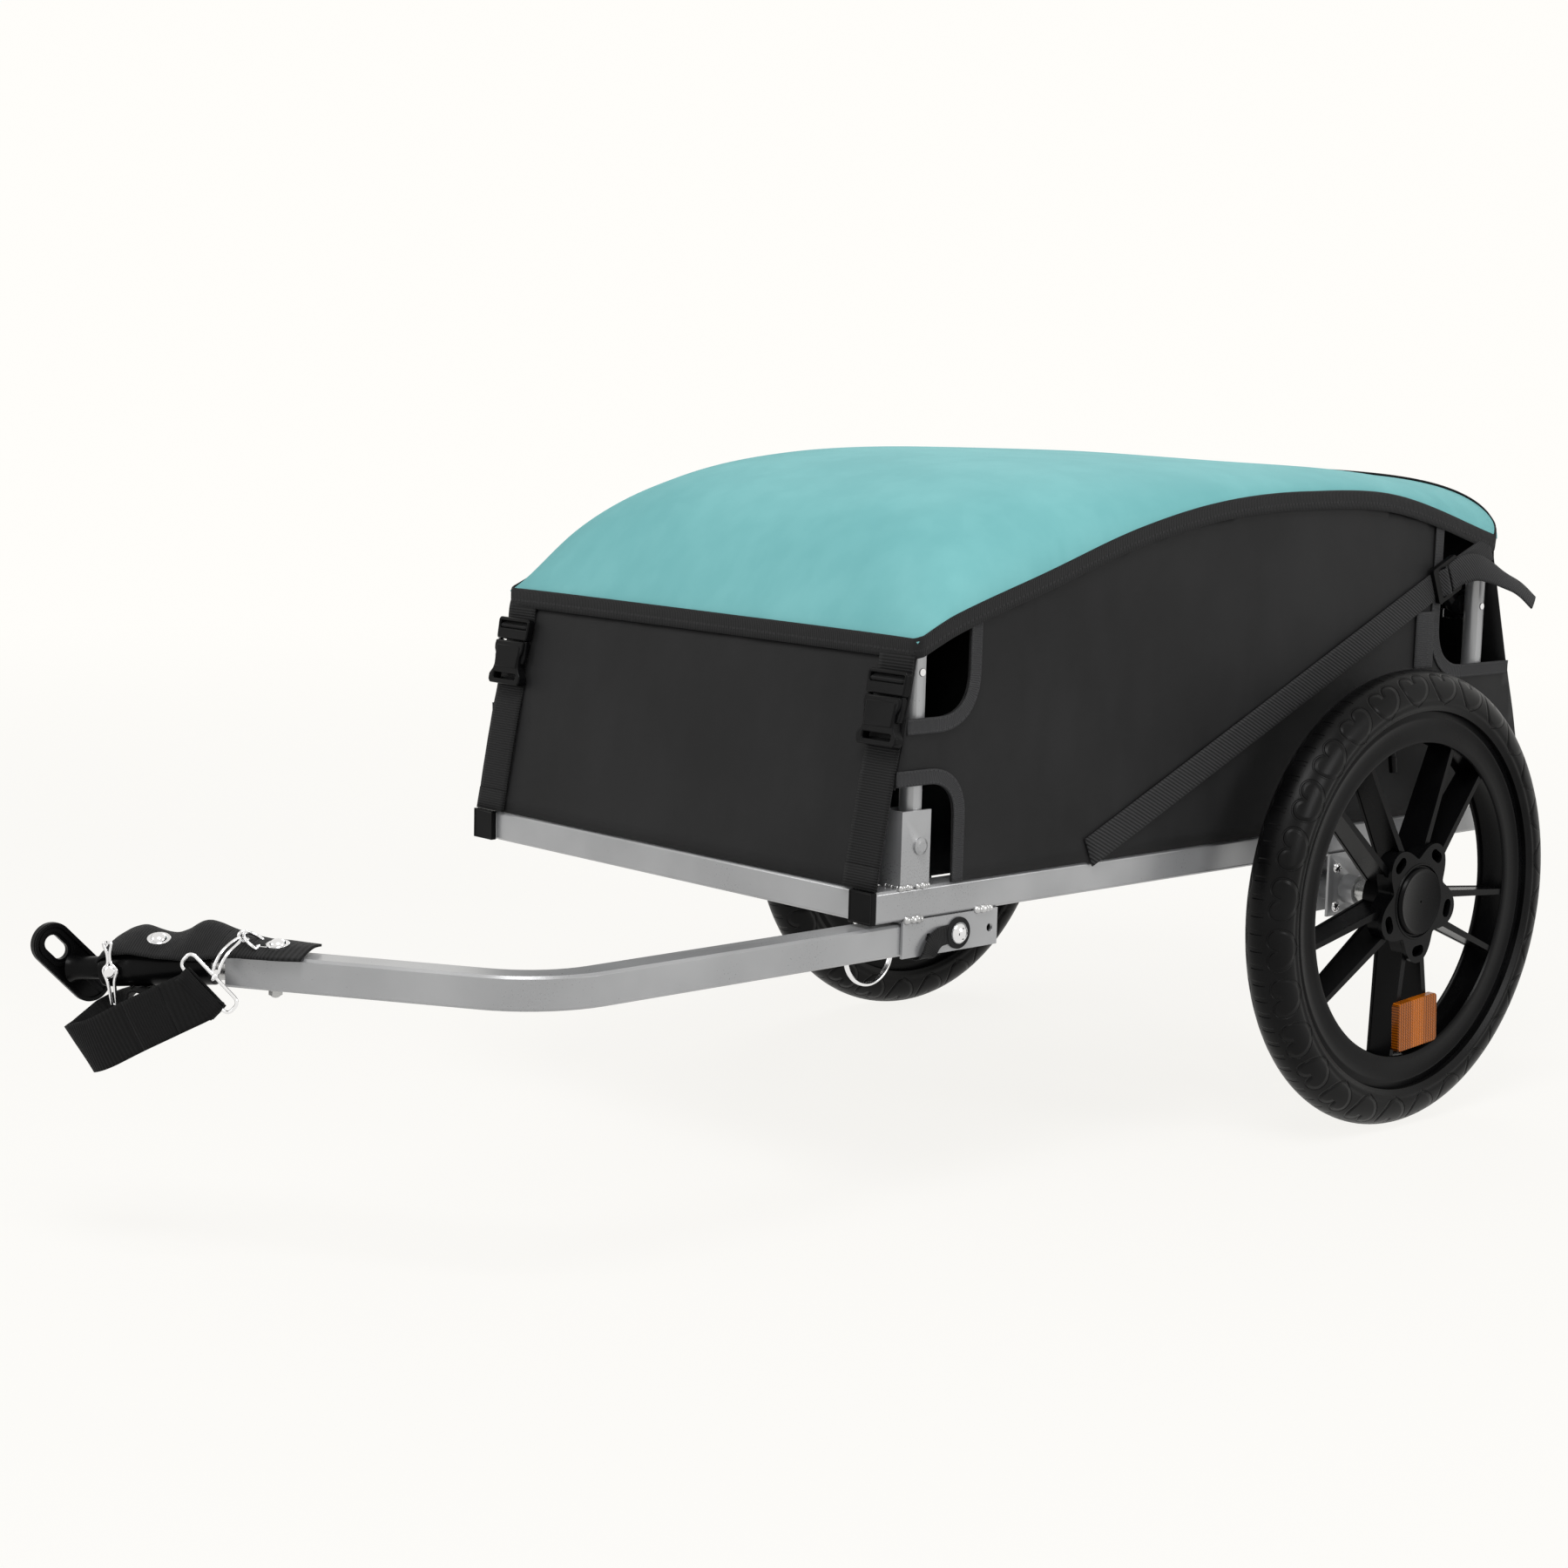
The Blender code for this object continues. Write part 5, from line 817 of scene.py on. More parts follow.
def turned(bm, outline, centre, steps):
    """Spins a closed (x, r) outline about a wheel's axle."""
    verts = [bm.verts.new((centre[0] + x, centre[1], centre[2] + r)) for x, r in outline]
    edges = [bm.edges.new(pair) for pair in zip(verts, verts[1:] + verts[:1])]
    bmesh.ops.spin(
        bm, geom=verts + edges, cent=centre, axis=(1, 0, 0), angle=2 * math.pi, steps=steps, use_merge=True,
    )
    bmesh.ops.remove_doubles(bm, verts=bm.verts[:], dist=0.000005)
    bmesh.ops.recalc_face_normals(bm, faces=bm.faces[:])


def wheel_direction(angle):
    outwards = Vector((0, math.cos(angle), math.sin(angle)))
    return outwards, Vector((0, -math.sin(angle), math.cos(angle)))


# %% Tyres
def tyre(name, side):
    middle = AXLE_Z - TYRE_WIDTH / 2
    outline = [(-0.0115, TYRE_SEAT), (0.0115, TYRE_SEAT), (0.0118, TYRE_SEAT + 0.0078)]
    for x, r in arc_points((0, middle), TYRE_WIDTH / 2, BEAD_ANGLE, 180 - BEAD_ANGLE, 60):
        angle = math.degrees(math.atan2(r - middle, abs(x)))
        ridge = 0.0009 * math.exp(-((angle + 19) / 3.0) ** 2) - 0.0007 * math.exp(-((angle + 9) / 3.0) ** 2)
        outline.append((x * (1 + ridge / (TYRE_WIDTH / 2)), r))
    outline.append((-0.0118, TYRE_SEAT + 0.0078))
    centre = Vector((side * TRACK_HALF, 0, AXLE_Z))
    bm = bmesh.new()
    turned(bm, outline, centre, 160)
    layer = bm.loops.layers.uv.new("cloth")
    for face in bm.faces:
        place = face.calc_center_median() - centre
        near = math.atan2(place.z, place.y)
        for loop in face.loops:
            co = loop.vert.co - centre
            turn = math.atan2(co.z, co.y)
            turn = near + math.remainder(turn - near, 2 * math.pi)
            height = math.degrees(math.atan2(math.hypot(co.y, co.z) - middle, abs(co.x)))
            up = (height - BEAD_ANGLE) / (90 - BEAD_ANGLE)
            loop[layer].uv = (-side * turn / (2 * math.pi) * TREAD_PATTERNS, up)
    settle(name + "_tyre_rubber", bm, tyre_rubber, name + "_wheel", (name + "_tyre",), smooth=50)


for side_name, side in SIDES:
    tyre(side_name, side)
print("two tyres,", TREAD_PATTERNS, "patterns round each")


# %% Rims
def blade(bm, start, end, across, widths, depths):
    """A flat bar between two points, with a width and a depth for its near and its far end."""
    for vert in add_box(bm, (1, 1, 1)):
        far = vert.co.z > 0
        at = end if far else start
        vert.co = at + across * vert.co.x * widths[far] + Vector((vert.co.y * depths[far], 0, 0))


def hub_outline(reach, lobe, steps=120):
    """A round plate with a lobe towards each pair of spokes."""
    found = []
    for i in range(steps):
        angle = 2 * math.pi * i / steps
        near = max(math.cos(angle - spoke) for spoke in SPOKE_ANGLES)
        share = max(0.0, (near - 0.81) / 0.19)
        radius = reach + lobe * share ** 1.6
        found.append((radius * math.cos(angle), radius * math.sin(angle)))
    return found


def punched(bm, outline, holes, place, depth):
    """A flat plate with holes: its loops are filled, then the face is pushed to its thickness."""
    edges = []
    for loop in [outline] + holes:
        verts = [bm.verts.new(place(u, v)) for u, v in loop]
        edges += [bm.edges.new(pair) for pair in zip(verts, verts[1:] + verts[:1])]
    filled = bmesh.ops.triangle_fill(bm, use_beauty=True, use_dissolve=False, edges=edges)["geom"]
    faces = [f for f in filled if isinstance(f, bmesh.types.BMFace)]
    pushed = bmesh.ops.extrude_face_region(bm, geom=faces)["geom"]
    moved = [v for v in pushed if isinstance(v, bmesh.types.BMVert)]
    bmesh.ops.translate(bm, vec=depth, verts=moved)
    bmesh.ops.recalc_face_normals(bm, faces=bm.faces[:])


def slot_outline(angle, radius, length, width, steps=6):
    """An oblong hole that lies across a wheel's radius."""
    outwards = Vector((math.cos(angle), math.sin(angle)))
    across = Vector((-outwards.y, outwards.x))
    centre = outwards * radius
    half = (length - width) / 2
    found = []
    for hand in (1, -1):
        for i in range(steps + 1):
            turn = math.pi * (i / steps - 0.5)
            out, over = width / 2 * math.sin(turn), half + width / 2 * math.cos(turn)
            found.append(centre + across * over * hand + outwards * out * hand)
    return [tuple(p) for p in found]


def rim(name, side):
    centre = Vector((side * TRACK_HALF, 0, AXLE_Z))
    half = [
        (0.0116, 0.1577), (0.0119, 0.1652), (0.0128, 0.1663), (0.0142, 0.1660), (0.0147, 0.1648),
        (0.0144, 0.1612), (0.0151, 0.1602), (0.0151, 0.1586), (0.0145, 0.1576), (0.0140, 0.1510),
        (0.0142, 0.1440), (0.0147, 0.1400), (0.0142, 0.1380), (0.0127, 0.1373), (0.0116, 0.1384),
        (0.0109, 0.1420), (0.0040, 0.1436),
    ]
    bm = bmesh.new()
    turned(bm, mirrored(half), centre, 128)
    face = side * HUB_PLATE_X
    for angle in SPOKE_ANGLES:
        outwards, across = wheel_direction(angle)
        for hand in (-1, 1):
            start = centre + outwards * 0.031 + across * hand * SPOKE_SPREAD[0]
            end = centre + outwards * 0.1405 + across * hand * SPOKE_SPREAD[1]
            lean = (end - start).normalized().cross(Vector((1, 0, 0)))
            blade(bm, start, end, lean, (0.0036, 0.0028), SPOKE_DEPTH)
            for rib, width in ((side, 0.0064), (-side, 0.0052)):
                near, far = start + Vector((rib * 0.0140, 0, 0)), end + Vector((rib * 0.0110, 0, 0))
                blade(bm, near, far, lean, (width, width * 0.75), (0.0028, 0.0024))
    slots = [slot_outline(a, 0.0442, 0.0165, 0.0095) for a in SPOKE_ANGLES]
    bore = [arc_points((0, 0), 0.0336, 0, 360, 48)[:-1]]
    punched(
        bm, hub_outline(0.0375, 0.0175), slots + bore,
        lambda u, v: centre + Vector((face, u, v)), (side * 0.0035, 0, 0),
    )
    walls = [[(x * 1.16, y * 1.16) for x, y in hub_outline(0.0315, 0.013)]]
    punched(
        bm, [(x * 1.03, y * 1.03) for x, y in walls[0]], walls,
        lambda u, v: centre + Vector((face - side * 0.013, u, v)), (side * 0.0125, 0, 0),
    )
    barrel = [
        (-0.0200, 0.0125), (-0.0200, 0.0270), (-0.0150, 0.0335), (0.0150, 0.0335), (0.0196, 0.0338),
        (0.0206, 0.0332), (0.0206, 0.0318), (0.0192, 0.0308), (0.0192, 0.0298), (0.0228, 0.0290),
        (0.0236, 0.0280), (0.0232, 0.0262), (0.0226, 0.0250), (0.0226, 0.0010), (0.0150, 0.0010),
        (0.0150, 0.0125),
    ]
    turned(bm, [(side * x, r) for x, r in barrel], centre, 64)
    outwards = wheel_direction(VALVE_ANGLE)[0]
    stem = centre + outwards * 0.1445
    add_rod(bm, stem, stem - outwards * 0.009, 0.0045, 20)
    add_rod(bm, stem - outwards * 0.009, stem - outwards * 0.017, 0.0031, 20)
    add_rod(bm, stem - outwards * 0.017, stem - outwards * 0.0305, 0.0038, 20, 0.0033)
    bmesh.ops.recalc_face_normals(bm, faces=bm.faces[:])
    settle(name + "_rim_moulding", bm, wheel_plastic, name + "_wheel", (name + "_rim",), "black_plastic", 40)


for side_name, side in SIDES:
    rim(side_name, side)
print("two rims with", 2 * len(SPOKE_ANGLES), "ribs each")


# %% Reflectors
def reflector(name, side):
    centre = Vector((side * TRACK_HALF, 0, AXLE_Z))
    outwards, across = wheel_direction(SPOKE_ANGLES[0])
    middle = centre + outwards * 0.1085 + Vector((side * 0.0173, 0, 0))
    bm = bmesh.new()
    add_box(bm, (0.0080, 0.056, 0.043))
    corners = [e for e in bm.edges if abs(e.verts[0].co.x - e.verts[1].co.x) > 0.001]
    bmesh.ops.bevel(bm, geom=corners, affect="EDGES", offset=0.0035, segments=4, profile=0.5, material=-1)
    layer = bm.loops.layers.uv.new("cloth")
    for face in bm.faces:
        for loop in face.loops:
            loop[layer].uv = (loop.vert.co.y, loop.vert.co.z)
    turned_place = Matrix((Vector((1, 0, 0)), across, outwards)).transposed().to_4x4()
    bmesh.ops.transform(bm, matrix=Matrix.Translation(middle) @ turned_place, verts=bm.verts[:])
    settle(name + "_prism_plate", bm, amber, name + "_wheel", (name + "_reflector",), bevel=0.0008)


for side_name, side in SIDES:
    reflector(side_name, side)
print("two reflectors")


# %% [markdown]
# ## Tube frame and its fittings
# The CAD already has these pieces in their true shape. A merged copy with softened edges is enough, plus the
# small things: weld beads, domed screws with painted shade in their cross recess, and the plugs' raised borders.

# %% Rails, brackets and uprights
for rail in ("left_rail", "right_rail", "front_rail", "middle_rail", "rear_rail"):
    refined(rail, silver_paint, 0.0006)
for end in ("front", "rear"):
    for side_name, _ in SIDES:
        refined("%s_%s_bracket" % (end, side_name), silver_paint, 0.0009)
        refined("%s_%s_upright" % (end, side_name), silver_paint, 0.0002)
for side_name, _ in SIDES:
    refined(side_name + "_axle_bracket", silver_paint, 0.0008)
    refined(side_name + "_axle", zinc_plate, 0.0003)
    refined(side_name + "_top_bar", black_paint, 0.0002)
refined("tow_receiver", silver_paint, 0.0008)
refined("front_top_bar", black_paint, 0.0002)
refined("cover_bow", black_paint, 0.0002)
print("frame tubes refined")


# %% Plugs with raised borders
TUBE = 0.025
FRONT_Y = -0.587
REAR_Y = 0.267
RAIL_TOP = 0.2585
FRAME_HALF_WIDTH = 0.246
RAIL_X = FRAME_HALF_WIDTH - TUBE / 2
CAP_THICK = 0.0050
SPIGOT_LONG = 0.014


def plug(name, side, y, outwards):
    """A square cap: its outer face is inset twice, so a raised border is left round a sunk field."""
    bm = bmesh.new()
    middle_z = RAIL_TOP - TUBE / 2
    add_box(bm, (TUBE, CAP_THICK, TUBE), (side * RAIL_X, y + outwards * (CAP_THICK / 2 + 0.0003), middle_z))
    bm.faces.ensure_lookup_table()
    face = max(bm.faces, key=lambda f: f.normal.y * outwards)
    bmesh.ops.inset_region(bm, faces=[face], thickness=0.0016, depth=0.0)
    bmesh.ops.inset_region(bm, faces=[face], thickness=0.0004, depth=-0.0006)
    inside = TUBE - 0.0052
    add_box(bm, (inside, SPIGOT_LONG, inside), (side * RAIL_X, y - outwards * SPIGOT_LONG / 2, middle_z))
    settle(name + "_cap", bm, black_plastic, "frame", (name,), smooth=30, bevel=0.0005)


for side_name, side in SIDES:
    plug("front_%s_plug" % side_name, side, FRONT_Y, -1)
    plug("rear_%s_plug" % side_name, side, REAR_Y, 1)
print("four plugs")


# %% Weld beads
def weld(bm, start, end, radius, seed):
    """A short row of overlapping drops of metal, the way a torch leaves them."""
    start, end = Vector(start), Vector(end)
    count = max(2, round((end - start).length / (radius * 0.9)))
    for i in range(count + 1):
        drop = bmesh.ops.create_icosphere(bm, subdivisions=3, radius=radius)["verts"]
        place = start.lerp(end, i / count)
        for vert in drop:
            rough = 1 + 0.14 * noise.noise(vert.co * 260 + Vector((seed, i * 1.7, 0)))
            vert.co = place + vert.co * rough * (0.86 + 0.14 * math.sin(2.1 * i + seed))


WELD_RADIUS = 0.0030
BRACKET_INNER_X = 0.2222
bm = bmesh.new()
for side in (1, -1):
    outer, inner = side * (FRAME_HALF_WIDTH - 0.0004), side * BRACKET_INNER_X
    for front, rear in ((-0.5625, -0.5315), (0.167, 0.198)):
        foot = RAIL_TOP + 0.0006
        weld(bm, (outer, front + 0.001, foot), (outer, front + 0.011, foot), WELD_RADIUS, 1.0)
        weld(bm, (outer, rear - 0.012, foot), (outer, rear - 0.001, foot), WELD_RADIUS, 3.0)
        weld(bm, (outer, front, foot), (inner + side * 0.008, front, foot), WELD_RADIUS * 0.8, 5.0)
    for y in (FRONT_Y + TUBE, -0.17 - TUBE / 2, -0.17 + TUBE / 2, REAR_Y - TUBE):
        corner = side * (FRAME_HALF_WIDTH - TUBE - 0.0006)
        weld(bm, (corner, y, RAIL_TOP - 0.022), (corner, y, RAIL_TOP - 0.004), WELD_RADIUS * 0.7, y * 9)
for y in (-0.5465, -0.4695):
    seam_x = FRAME_HALF_WIDTH - 0.0004
    weld(bm, (seam_x, y - 0.0075, 0.2337), (seam_x, y + 0.0075, 0.2337), 0.0038, y * 7)
settle("frame_welds", bm, weld_metal, "frame", slot="silver_paint", smooth=180)
print("weld beads")


# %% Screws and bolt heads
def pan_head(heads, recess_shade, centre, side, radius, height):
    """A domed head with a cross recess: two short dark bars sunk in its crown, as painted shade of the recess."""
    add_dome(heads, Vector(centre), (side, 0, 0), radius, height, 24)
    crown = centre[0] + side * height * 0.80
    for wide, tall in ((1.05, 0.20), (0.20, 1.05)):
        size = (0.0009 + side * 0.0001, radius * wide, radius * tall)
        add_box(recess_shade, size, (crown + side * 0.00005, centre[1], centre[2]))


AXLE_SCREWS = [(y, z) for y in (-0.0165, 0.0165) for z in (0.1853, 0.2197)]
heads, recess_shade = bmesh.new(), bmesh.new()
for side in (1, -1):
    for y, z in AXLE_SCREWS:
        pan_head(heads, recess_shade, (side * (FRAME_HALF_WIDTH + 0.0002), y, z), side, 0.0050, 0.0030)
TOW_BOLT = (FRAME_HALF_WIDTH + 0.0008, -0.498, 0.218)
pan_head(heads, recess_shade, TOW_BOLT, 1, 0.0086, 0.0062)
settle("screw_heads", heads, bright_wire, "frame", slot="zinc_plate", smooth=60)
# Black bars that paint the shade in the screws' cross recesses.
settle("screw_recesses", recess_shade, black_plastic, "frame", smooth=30)
print(len(AXLE_SCREWS) * 2 + 1, "domed screw heads")


# %% Uprights' tops and lock pins
UPRIGHT_X = 0.234
PIN_HEAD_X = 0.2037
BAIL_WIRE = 0.0009
UPRIGHTS = {"front": (-0.5425, 0.422, 0.4395), "rear": (0.187, 0.442, 0.467)}
for end, (y, pin_z, top_z) in UPRIGHTS.items():
    for side_name, side in SIDES:
        x = side * UPRIGHT_X
        corner_name = "%s_%s" % (end, side_name)
        bm = bmesh.new()
        add_rod(bm, (x, y, top_z - 0.003), (x, y, top_z + 0.0006), 0.0088, 32, 0.0080)
        settle(corner_name + "_tube_cap", bm, silver_paint, corner_name + "_upright", bevel=0.0004)
        bm = bmesh.new()
        add_rod(bm, (side * (PIN_HEAD_X - 0.005), y, pin_z), (side * PIN_HEAD_X, y, pin_z), 0.006)
        add_rod(bm, (side * PIN_HEAD_X, y, pin_z), (side * (UPRIGHT_X + 0.0091), y, pin_z), 0.0029)
        if end == "front":
            centre = (side * (PIN_HEAD_X - 0.0025), y + 0.012, pin_z)
            wire_into(bm, circle_points(centre, (1, 0, 0), 0.015, 56), BAIL_WIRE, True)
        else:
            back, tip = side * (PIN_HEAD_X - 0.0025), side * (UPRIGHT_X - 0.0112)
            corners = ((tip, 0.0132), (back, 0.0132), (back, -0.0132), (tip, -0.0132))
            wire_into(bm, [(x, y, pin_z + rise) for x, rise in corners], BAIL_WIRE)
        node = corner_name + "_lock_pin"
        settle(node + "_wire", bm, bright_wire, node, (node,), smooth=60)
print("four lock pins with wire bails")


# %% [markdown]
# ## Cloth body
# Each panel starts as one flat face with the outline that the cutter would follow. Many parallel planes cut
# it into a net with enough points to bulge and wrinkle. Cloth is never quite flat, so each sheet gets a slight
# swell between its fixed edges, and low, broad wrinkles.

# %% Shape of the body
BODY_X = 0.2478
CLOTH_X = 0.2463
CLOTH_BOTTOM = 0.2588
FRONT_TOP_Y = -0.554
REAR_TOP_Y = 0.196
SKIRT = 0.014
SIDE_EDGE = (
    (-0.554, 0.446), (-0.511, 0.464), (-0.416, 0.4915), (-0.306, 0.5235),
    (-0.200, 0.543), (-0.090, 0.5495), (0.040, 0.544), (0.196, 0.505),
)
CENTRE_EDGE = (
    (-0.554, 0.447), (-0.500, 0.520), (-0.420, 0.556), (-0.300, 0.573),
    (-0.150, 0.574), (0.050, 0.567), (0.196, 0.556),
)
FRONT_LEAN = 0.1899
REAR_LEAN = -0.30712
REAR_FOOT_Y = 0.2667
REAR_STRAIGHT_Z = 0.489
CLOTH_THICK = 0.0011


def height_along(knots, y):
    ys = [k[0] for k in knots]
    y = min(max(y, ys[0]), ys[-1])
    i = max(0, min(len(knots) - 2, sum(1 for k in ys[1:] if k <= y)))

    def slope(k):
        a, b = max(0, k - 1), min(len(knots) - 1, k + 1)
        return (knots[b][1] - knots[a][1]) / (knots[b][0] - knots[a][0])

    span = ys[i + 1] - ys[i]
    t = (y - ys[i]) / span
    ends = (2 * t**3 - 3 * t**2 + 1) * knots[i][1] + (3 * t**2 - 2 * t**3) * knots[i + 1][1]
    return ends + ((t**3 - 2 * t**2 + t) * slope(i) + (t**3 - t**2) * slope(i + 1)) * span


def cover_height(x, y):
    side = height_along(SIDE_EDGE, y)
    centre = height_along(CENTRE_EDGE, y)
    across = min(1.0, abs(x) / BODY_X)
    return side + (centre - side) * math.sqrt(max(0.0, 1 - across**4))


def front_face_y(z):
    """The flat front of the body: it leans back from the front rail."""
    return FRONT_Y + 0.0003 + (z - CLOTH_BOTTOM) * FRONT_LEAN


def rear_face_y(z):
    return REAR_FOOT_Y + (min(z, REAR_STRAIGHT_Z) - CLOTH_BOTTOM) * REAR_LEAN


def freedom(x, z, reach, height):
    """How free a panel is to swell: 0 at its held edges and 1 in its middle."""
    up = min(1, max(0, (z - CLOTH_BOTTOM) / height))
    return max(0.0, 1 - (abs(x) / reach) ** 4) * math.sin(math.pi * up)


def front_place(x, z, out=0.0):
    """On the front panel, which swells forward a little between its straps."""
    free = freedom(x, z, 0.20, 0.172)
    swell = 0.0022 * free + 0.0007 * wrinkle((x, 0, z), 13.0, 4.0) * free
    return Vector((x, front_face_y(z) - out - swell, z))


def rear_place(x, z, out=0.0):
    free = freedom(x, z, 0.235, 0.24)
    swell = 0.003 * free + 0.0012 * wrinkle((x, 2, z), 11.0, 7.0) * free
    return Vector((x, rear_face_y(z) + out + swell, z))


def side_swell(y, z):
    """How far a side panel's cloth moves in from its flat place, for soft wrinkles."""
    edge = min(1.0, max(0.0, (z - CLOTH_BOTTOM) / 0.05))
    return 0.0011 * edge * (wrinkle((y, z, 0), 9.0, 2.0) + 0.5 * wrinkle((y, z, 1), 24.0, 5.0) - 0.6)


print("body shape ready, cover top at", round(cover_height(0, -0.15), 3))


# %% Cutting a sheet from its outline
def cut_edge(before, cut, after, steps=10):
    """The edge of a cut-out, from one point to the other by way of a round corner of (a, b, radius)."""
    corner, radius = Vector(cut[:2]), cut[2]
    start = corner + (Vector(before) - corner).normalized() * radius
    end = corner + (Vector(after) - corner).normalized() * radius
    ts = [i / steps for i in range(steps + 1)]
    bend = [tuple(start * (1 - t) ** 2 + corner * 2 * t * (1 - t) + end * t**2) for t in ts]
    return [before] + bend + [after]


def cut_sheet(outline, place, spacing=0.012):
    """A flat face with this (a, b) outline, cut into a net, with a UV map in metres, then put in place."""
    bm = bmesh.new()
    bm.faces.new([bm.verts.new((a, b, 0)) for a, b in outline])
    for axis in (0, 1):
        low = min(p[axis] for p in outline)
        high = max(p[axis] for p in outline)
        normal = (1, 0, 0) if axis == 0 else (0, 1, 0)
        for i in range(1, int((high - low) / spacing) + 1):
            at = low + i * spacing
            whole = bm.verts[:] + bm.edges[:] + bm.faces[:]
            bmesh.ops.bisect_plane(bm, geom=whole, plane_co=(at, at, 0), plane_no=normal, dist=0.00002)
    layer = bm.loops.layers.uv.new("cloth")
    for face in bm.faces:
        for loop in face.loops:
            loop[layer].uv = (loop.vert.co.x, loop.vert.co.y)
    for vert in bm.verts:
        vert.co = place(vert.co.x, vert.co.y)
    return bm


def flat_area(outline):
    pairs = zip(outline, outline[1:] + outline[:1])
    return abs(sum(a[0] * b[1] - b[0] * a[1] for a, b in pairs)) / 2


FOLDED_SHARE = 0.40


def fold_down(obj):
    """When the top frame folds back and down, the cloth below it folds up towards the rails."""
    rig.squash(obj, "front_left_fold", (0, 0, 1), (0, 0, CLOTH_BOTTOM), FOLDED_SHARE)
    return obj


print("a folded body is", FOLDED_SHARE, "of its height")


# %% Side panels
FRONT_CUT = (-0.496, 0.388, 0.0336)
LOW_CUT = (-0.509, 0.337, 0.028)
REAR_CUT = (0.113, 0.391, 0.0392)
UNDER_BINDING = 0.004


def panel_top(y):
    return height_along(SIDE_EDGE, y) - SKIRT + UNDER_BINDING


front_high = (front_face_y(FRONT_CUT[1]), FRONT_CUT[1])
front_low = (front_face_y(LOW_CUT[1]), LOW_CUT[1])
rear_high = (rear_face_y(REAR_CUT[1]), REAR_CUT[1])
rear_edge = cut_edge(rear_high, REAR_CUT, (REAR_CUT[0], panel_top(REAR_CUT[0])))
front_edge = cut_edge((FRONT_CUT[0], panel_top(FRONT_CUT[0])), FRONT_CUT, front_high)
low_edge = cut_edge(front_low, LOW_CUT, (LOW_CUT[0], CLOTH_BOTTOM))
TOP_STEPS = 48
top_ys = [REAR_CUT[0] + (FRONT_CUT[0] - REAR_CUT[0]) * i / TOP_STEPS for i in range(1, TOP_STEPS)]
top_edge = [(y, panel_top(y)) for y in top_ys]
side_outline = [(REAR_FOOT_Y, CLOTH_BOTTOM)] + rear_edge + top_edge + front_edge + low_edge


def trim_line(edge, inset):
    """The middle line and the width directions of a tape sewn along an edge, on the cloth beside it."""
    ends = [Vector(p) for p in edge]
    dense = []
    for a, b in zip(ends, ends[1:]):
        count = max(1, int((b - a).length / 0.004))
        dense += [a.lerp(b, i / count) for i in range(count)]
    dense.append(ends[-1])
    line, across = [], []
    for i, point in enumerate(dense):
        ahead = dense[min(i + 1, len(dense) - 1)] - dense[max(i - 1, 0)]
        inwards = Vector((ahead.y, -ahead.x)).normalized()
        line.append(point + inwards * inset)
        across.append(inwards)
    return line, across


TRIM_WIDTH = 0.012
FLAT_PANEL = flat_area(side_outline)
PANEL_LENGTH = REAR_FOOT_Y - front_low[0]
PANEL_HEIGHT = max(z for _, z in side_outline) - CLOTH_BOTTOM
for side_name, side in SIDES:
    bm = cut_sheet(side_outline, lambda y, z: Vector((side * (CLOTH_X + 0.0007 + side_swell(y, z)), y, z)))
    nodes = (side_name + "_panel",)
    panel = fold_down(settle(side_name + "_side_cloth", bm, black_cloth, "frame", nodes, thick=CLOTH_THICK))
    tapes = []
    for number, edge in enumerate((front_edge, low_edge, rear_edge)):
        line, across = trim_line(edge, -TRIM_WIDTH / 2)
        points = [Vector((side * (BODY_X + 0.0004), p.x, p.y)) for p in line]
        spans = [Vector((0, a.x, a.y)) * side for a in across]
        name = "%s_cut_trim_%d" % (side_name, number + 1)
        tape = webbing(name, points, spans, TRIM_WIDTH, 0.0003, grey_trim, "frame", 0.0007, (), "black_cloth")
        tapes.append(fold_down(tape))
    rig.sheet(panel, (PANEL_LENGTH, PANEL_HEIGHT), "stretched", [side_name + "_rail"], FLAT_PANEL, tapes)
print("side panels of", round(PANEL_LENGTH, 3), "by", round(PANEL_HEIGHT, 3), "m, area", round(FLAT_PANEL, 4))


# %% Front, rear and floor
FRONT_TOP_Z = 0.432 + UNDER_BINDING
half = CLOTH_X - 0.0003
corner_cut = cut_edge((0.213, CLOTH_BOTTOM), (0.213, 0.335, 0.012), (half, 0.335))
front_outline = mirrored(corner_cut + [(half, FRONT_TOP_Z)])
bm = cut_sheet(front_outline, lambda x, z: front_place(x, z, -0.0007))
front_cloth = fold_down(settle("front_cloth", bm, black_cloth, "frame", ("front_panel",), thick=CLOTH_THICK))
lean = math.hypot(1, FRONT_LEAN)
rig.sheet(
    front_cloth, (2 * half, (FRONT_TOP_Z - CLOTH_BOTTOM) * lean), "stretched", ["front_rail"],
    flat_area(front_outline) * lean,
)

columns = 48
xs = [half * math.sin(math.pi * (i / columns - 0.5)) for i in range(columns + 1)]
rear_top = [(x, cover_height(x * BODY_X / half, REAR_TOP_Y) - SKIRT + UNDER_BINDING) for x in reversed(xs)]
rear_outline = [(-half, CLOTH_BOTTOM), (half, CLOTH_BOTTOM)] + rear_top
bm = cut_sheet(rear_outline, lambda x, z: rear_place(x, z, -0.0007))
rear_cloth = fold_down(settle("rear_cloth", bm, black_cloth, "frame", ("rear_panel",), thick=CLOTH_THICK))
rear_share = math.hypot(1, REAR_LEAN)
leaning = (REAR_STRAIGHT_Z - CLOTH_BOTTOM) * rear_share
upright_part = flat_area(rear_outline) - (REAR_STRAIGHT_Z - CLOTH_BOTTOM) * 2 * half
rear_flat = (2 * half, leaning + rear_top[columns // 2][1] - REAR_STRAIGHT_Z)
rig.sheet(rear_cloth, rear_flat, "stretched", ["rear_rail"], leaning * 2 * half + upright_part)

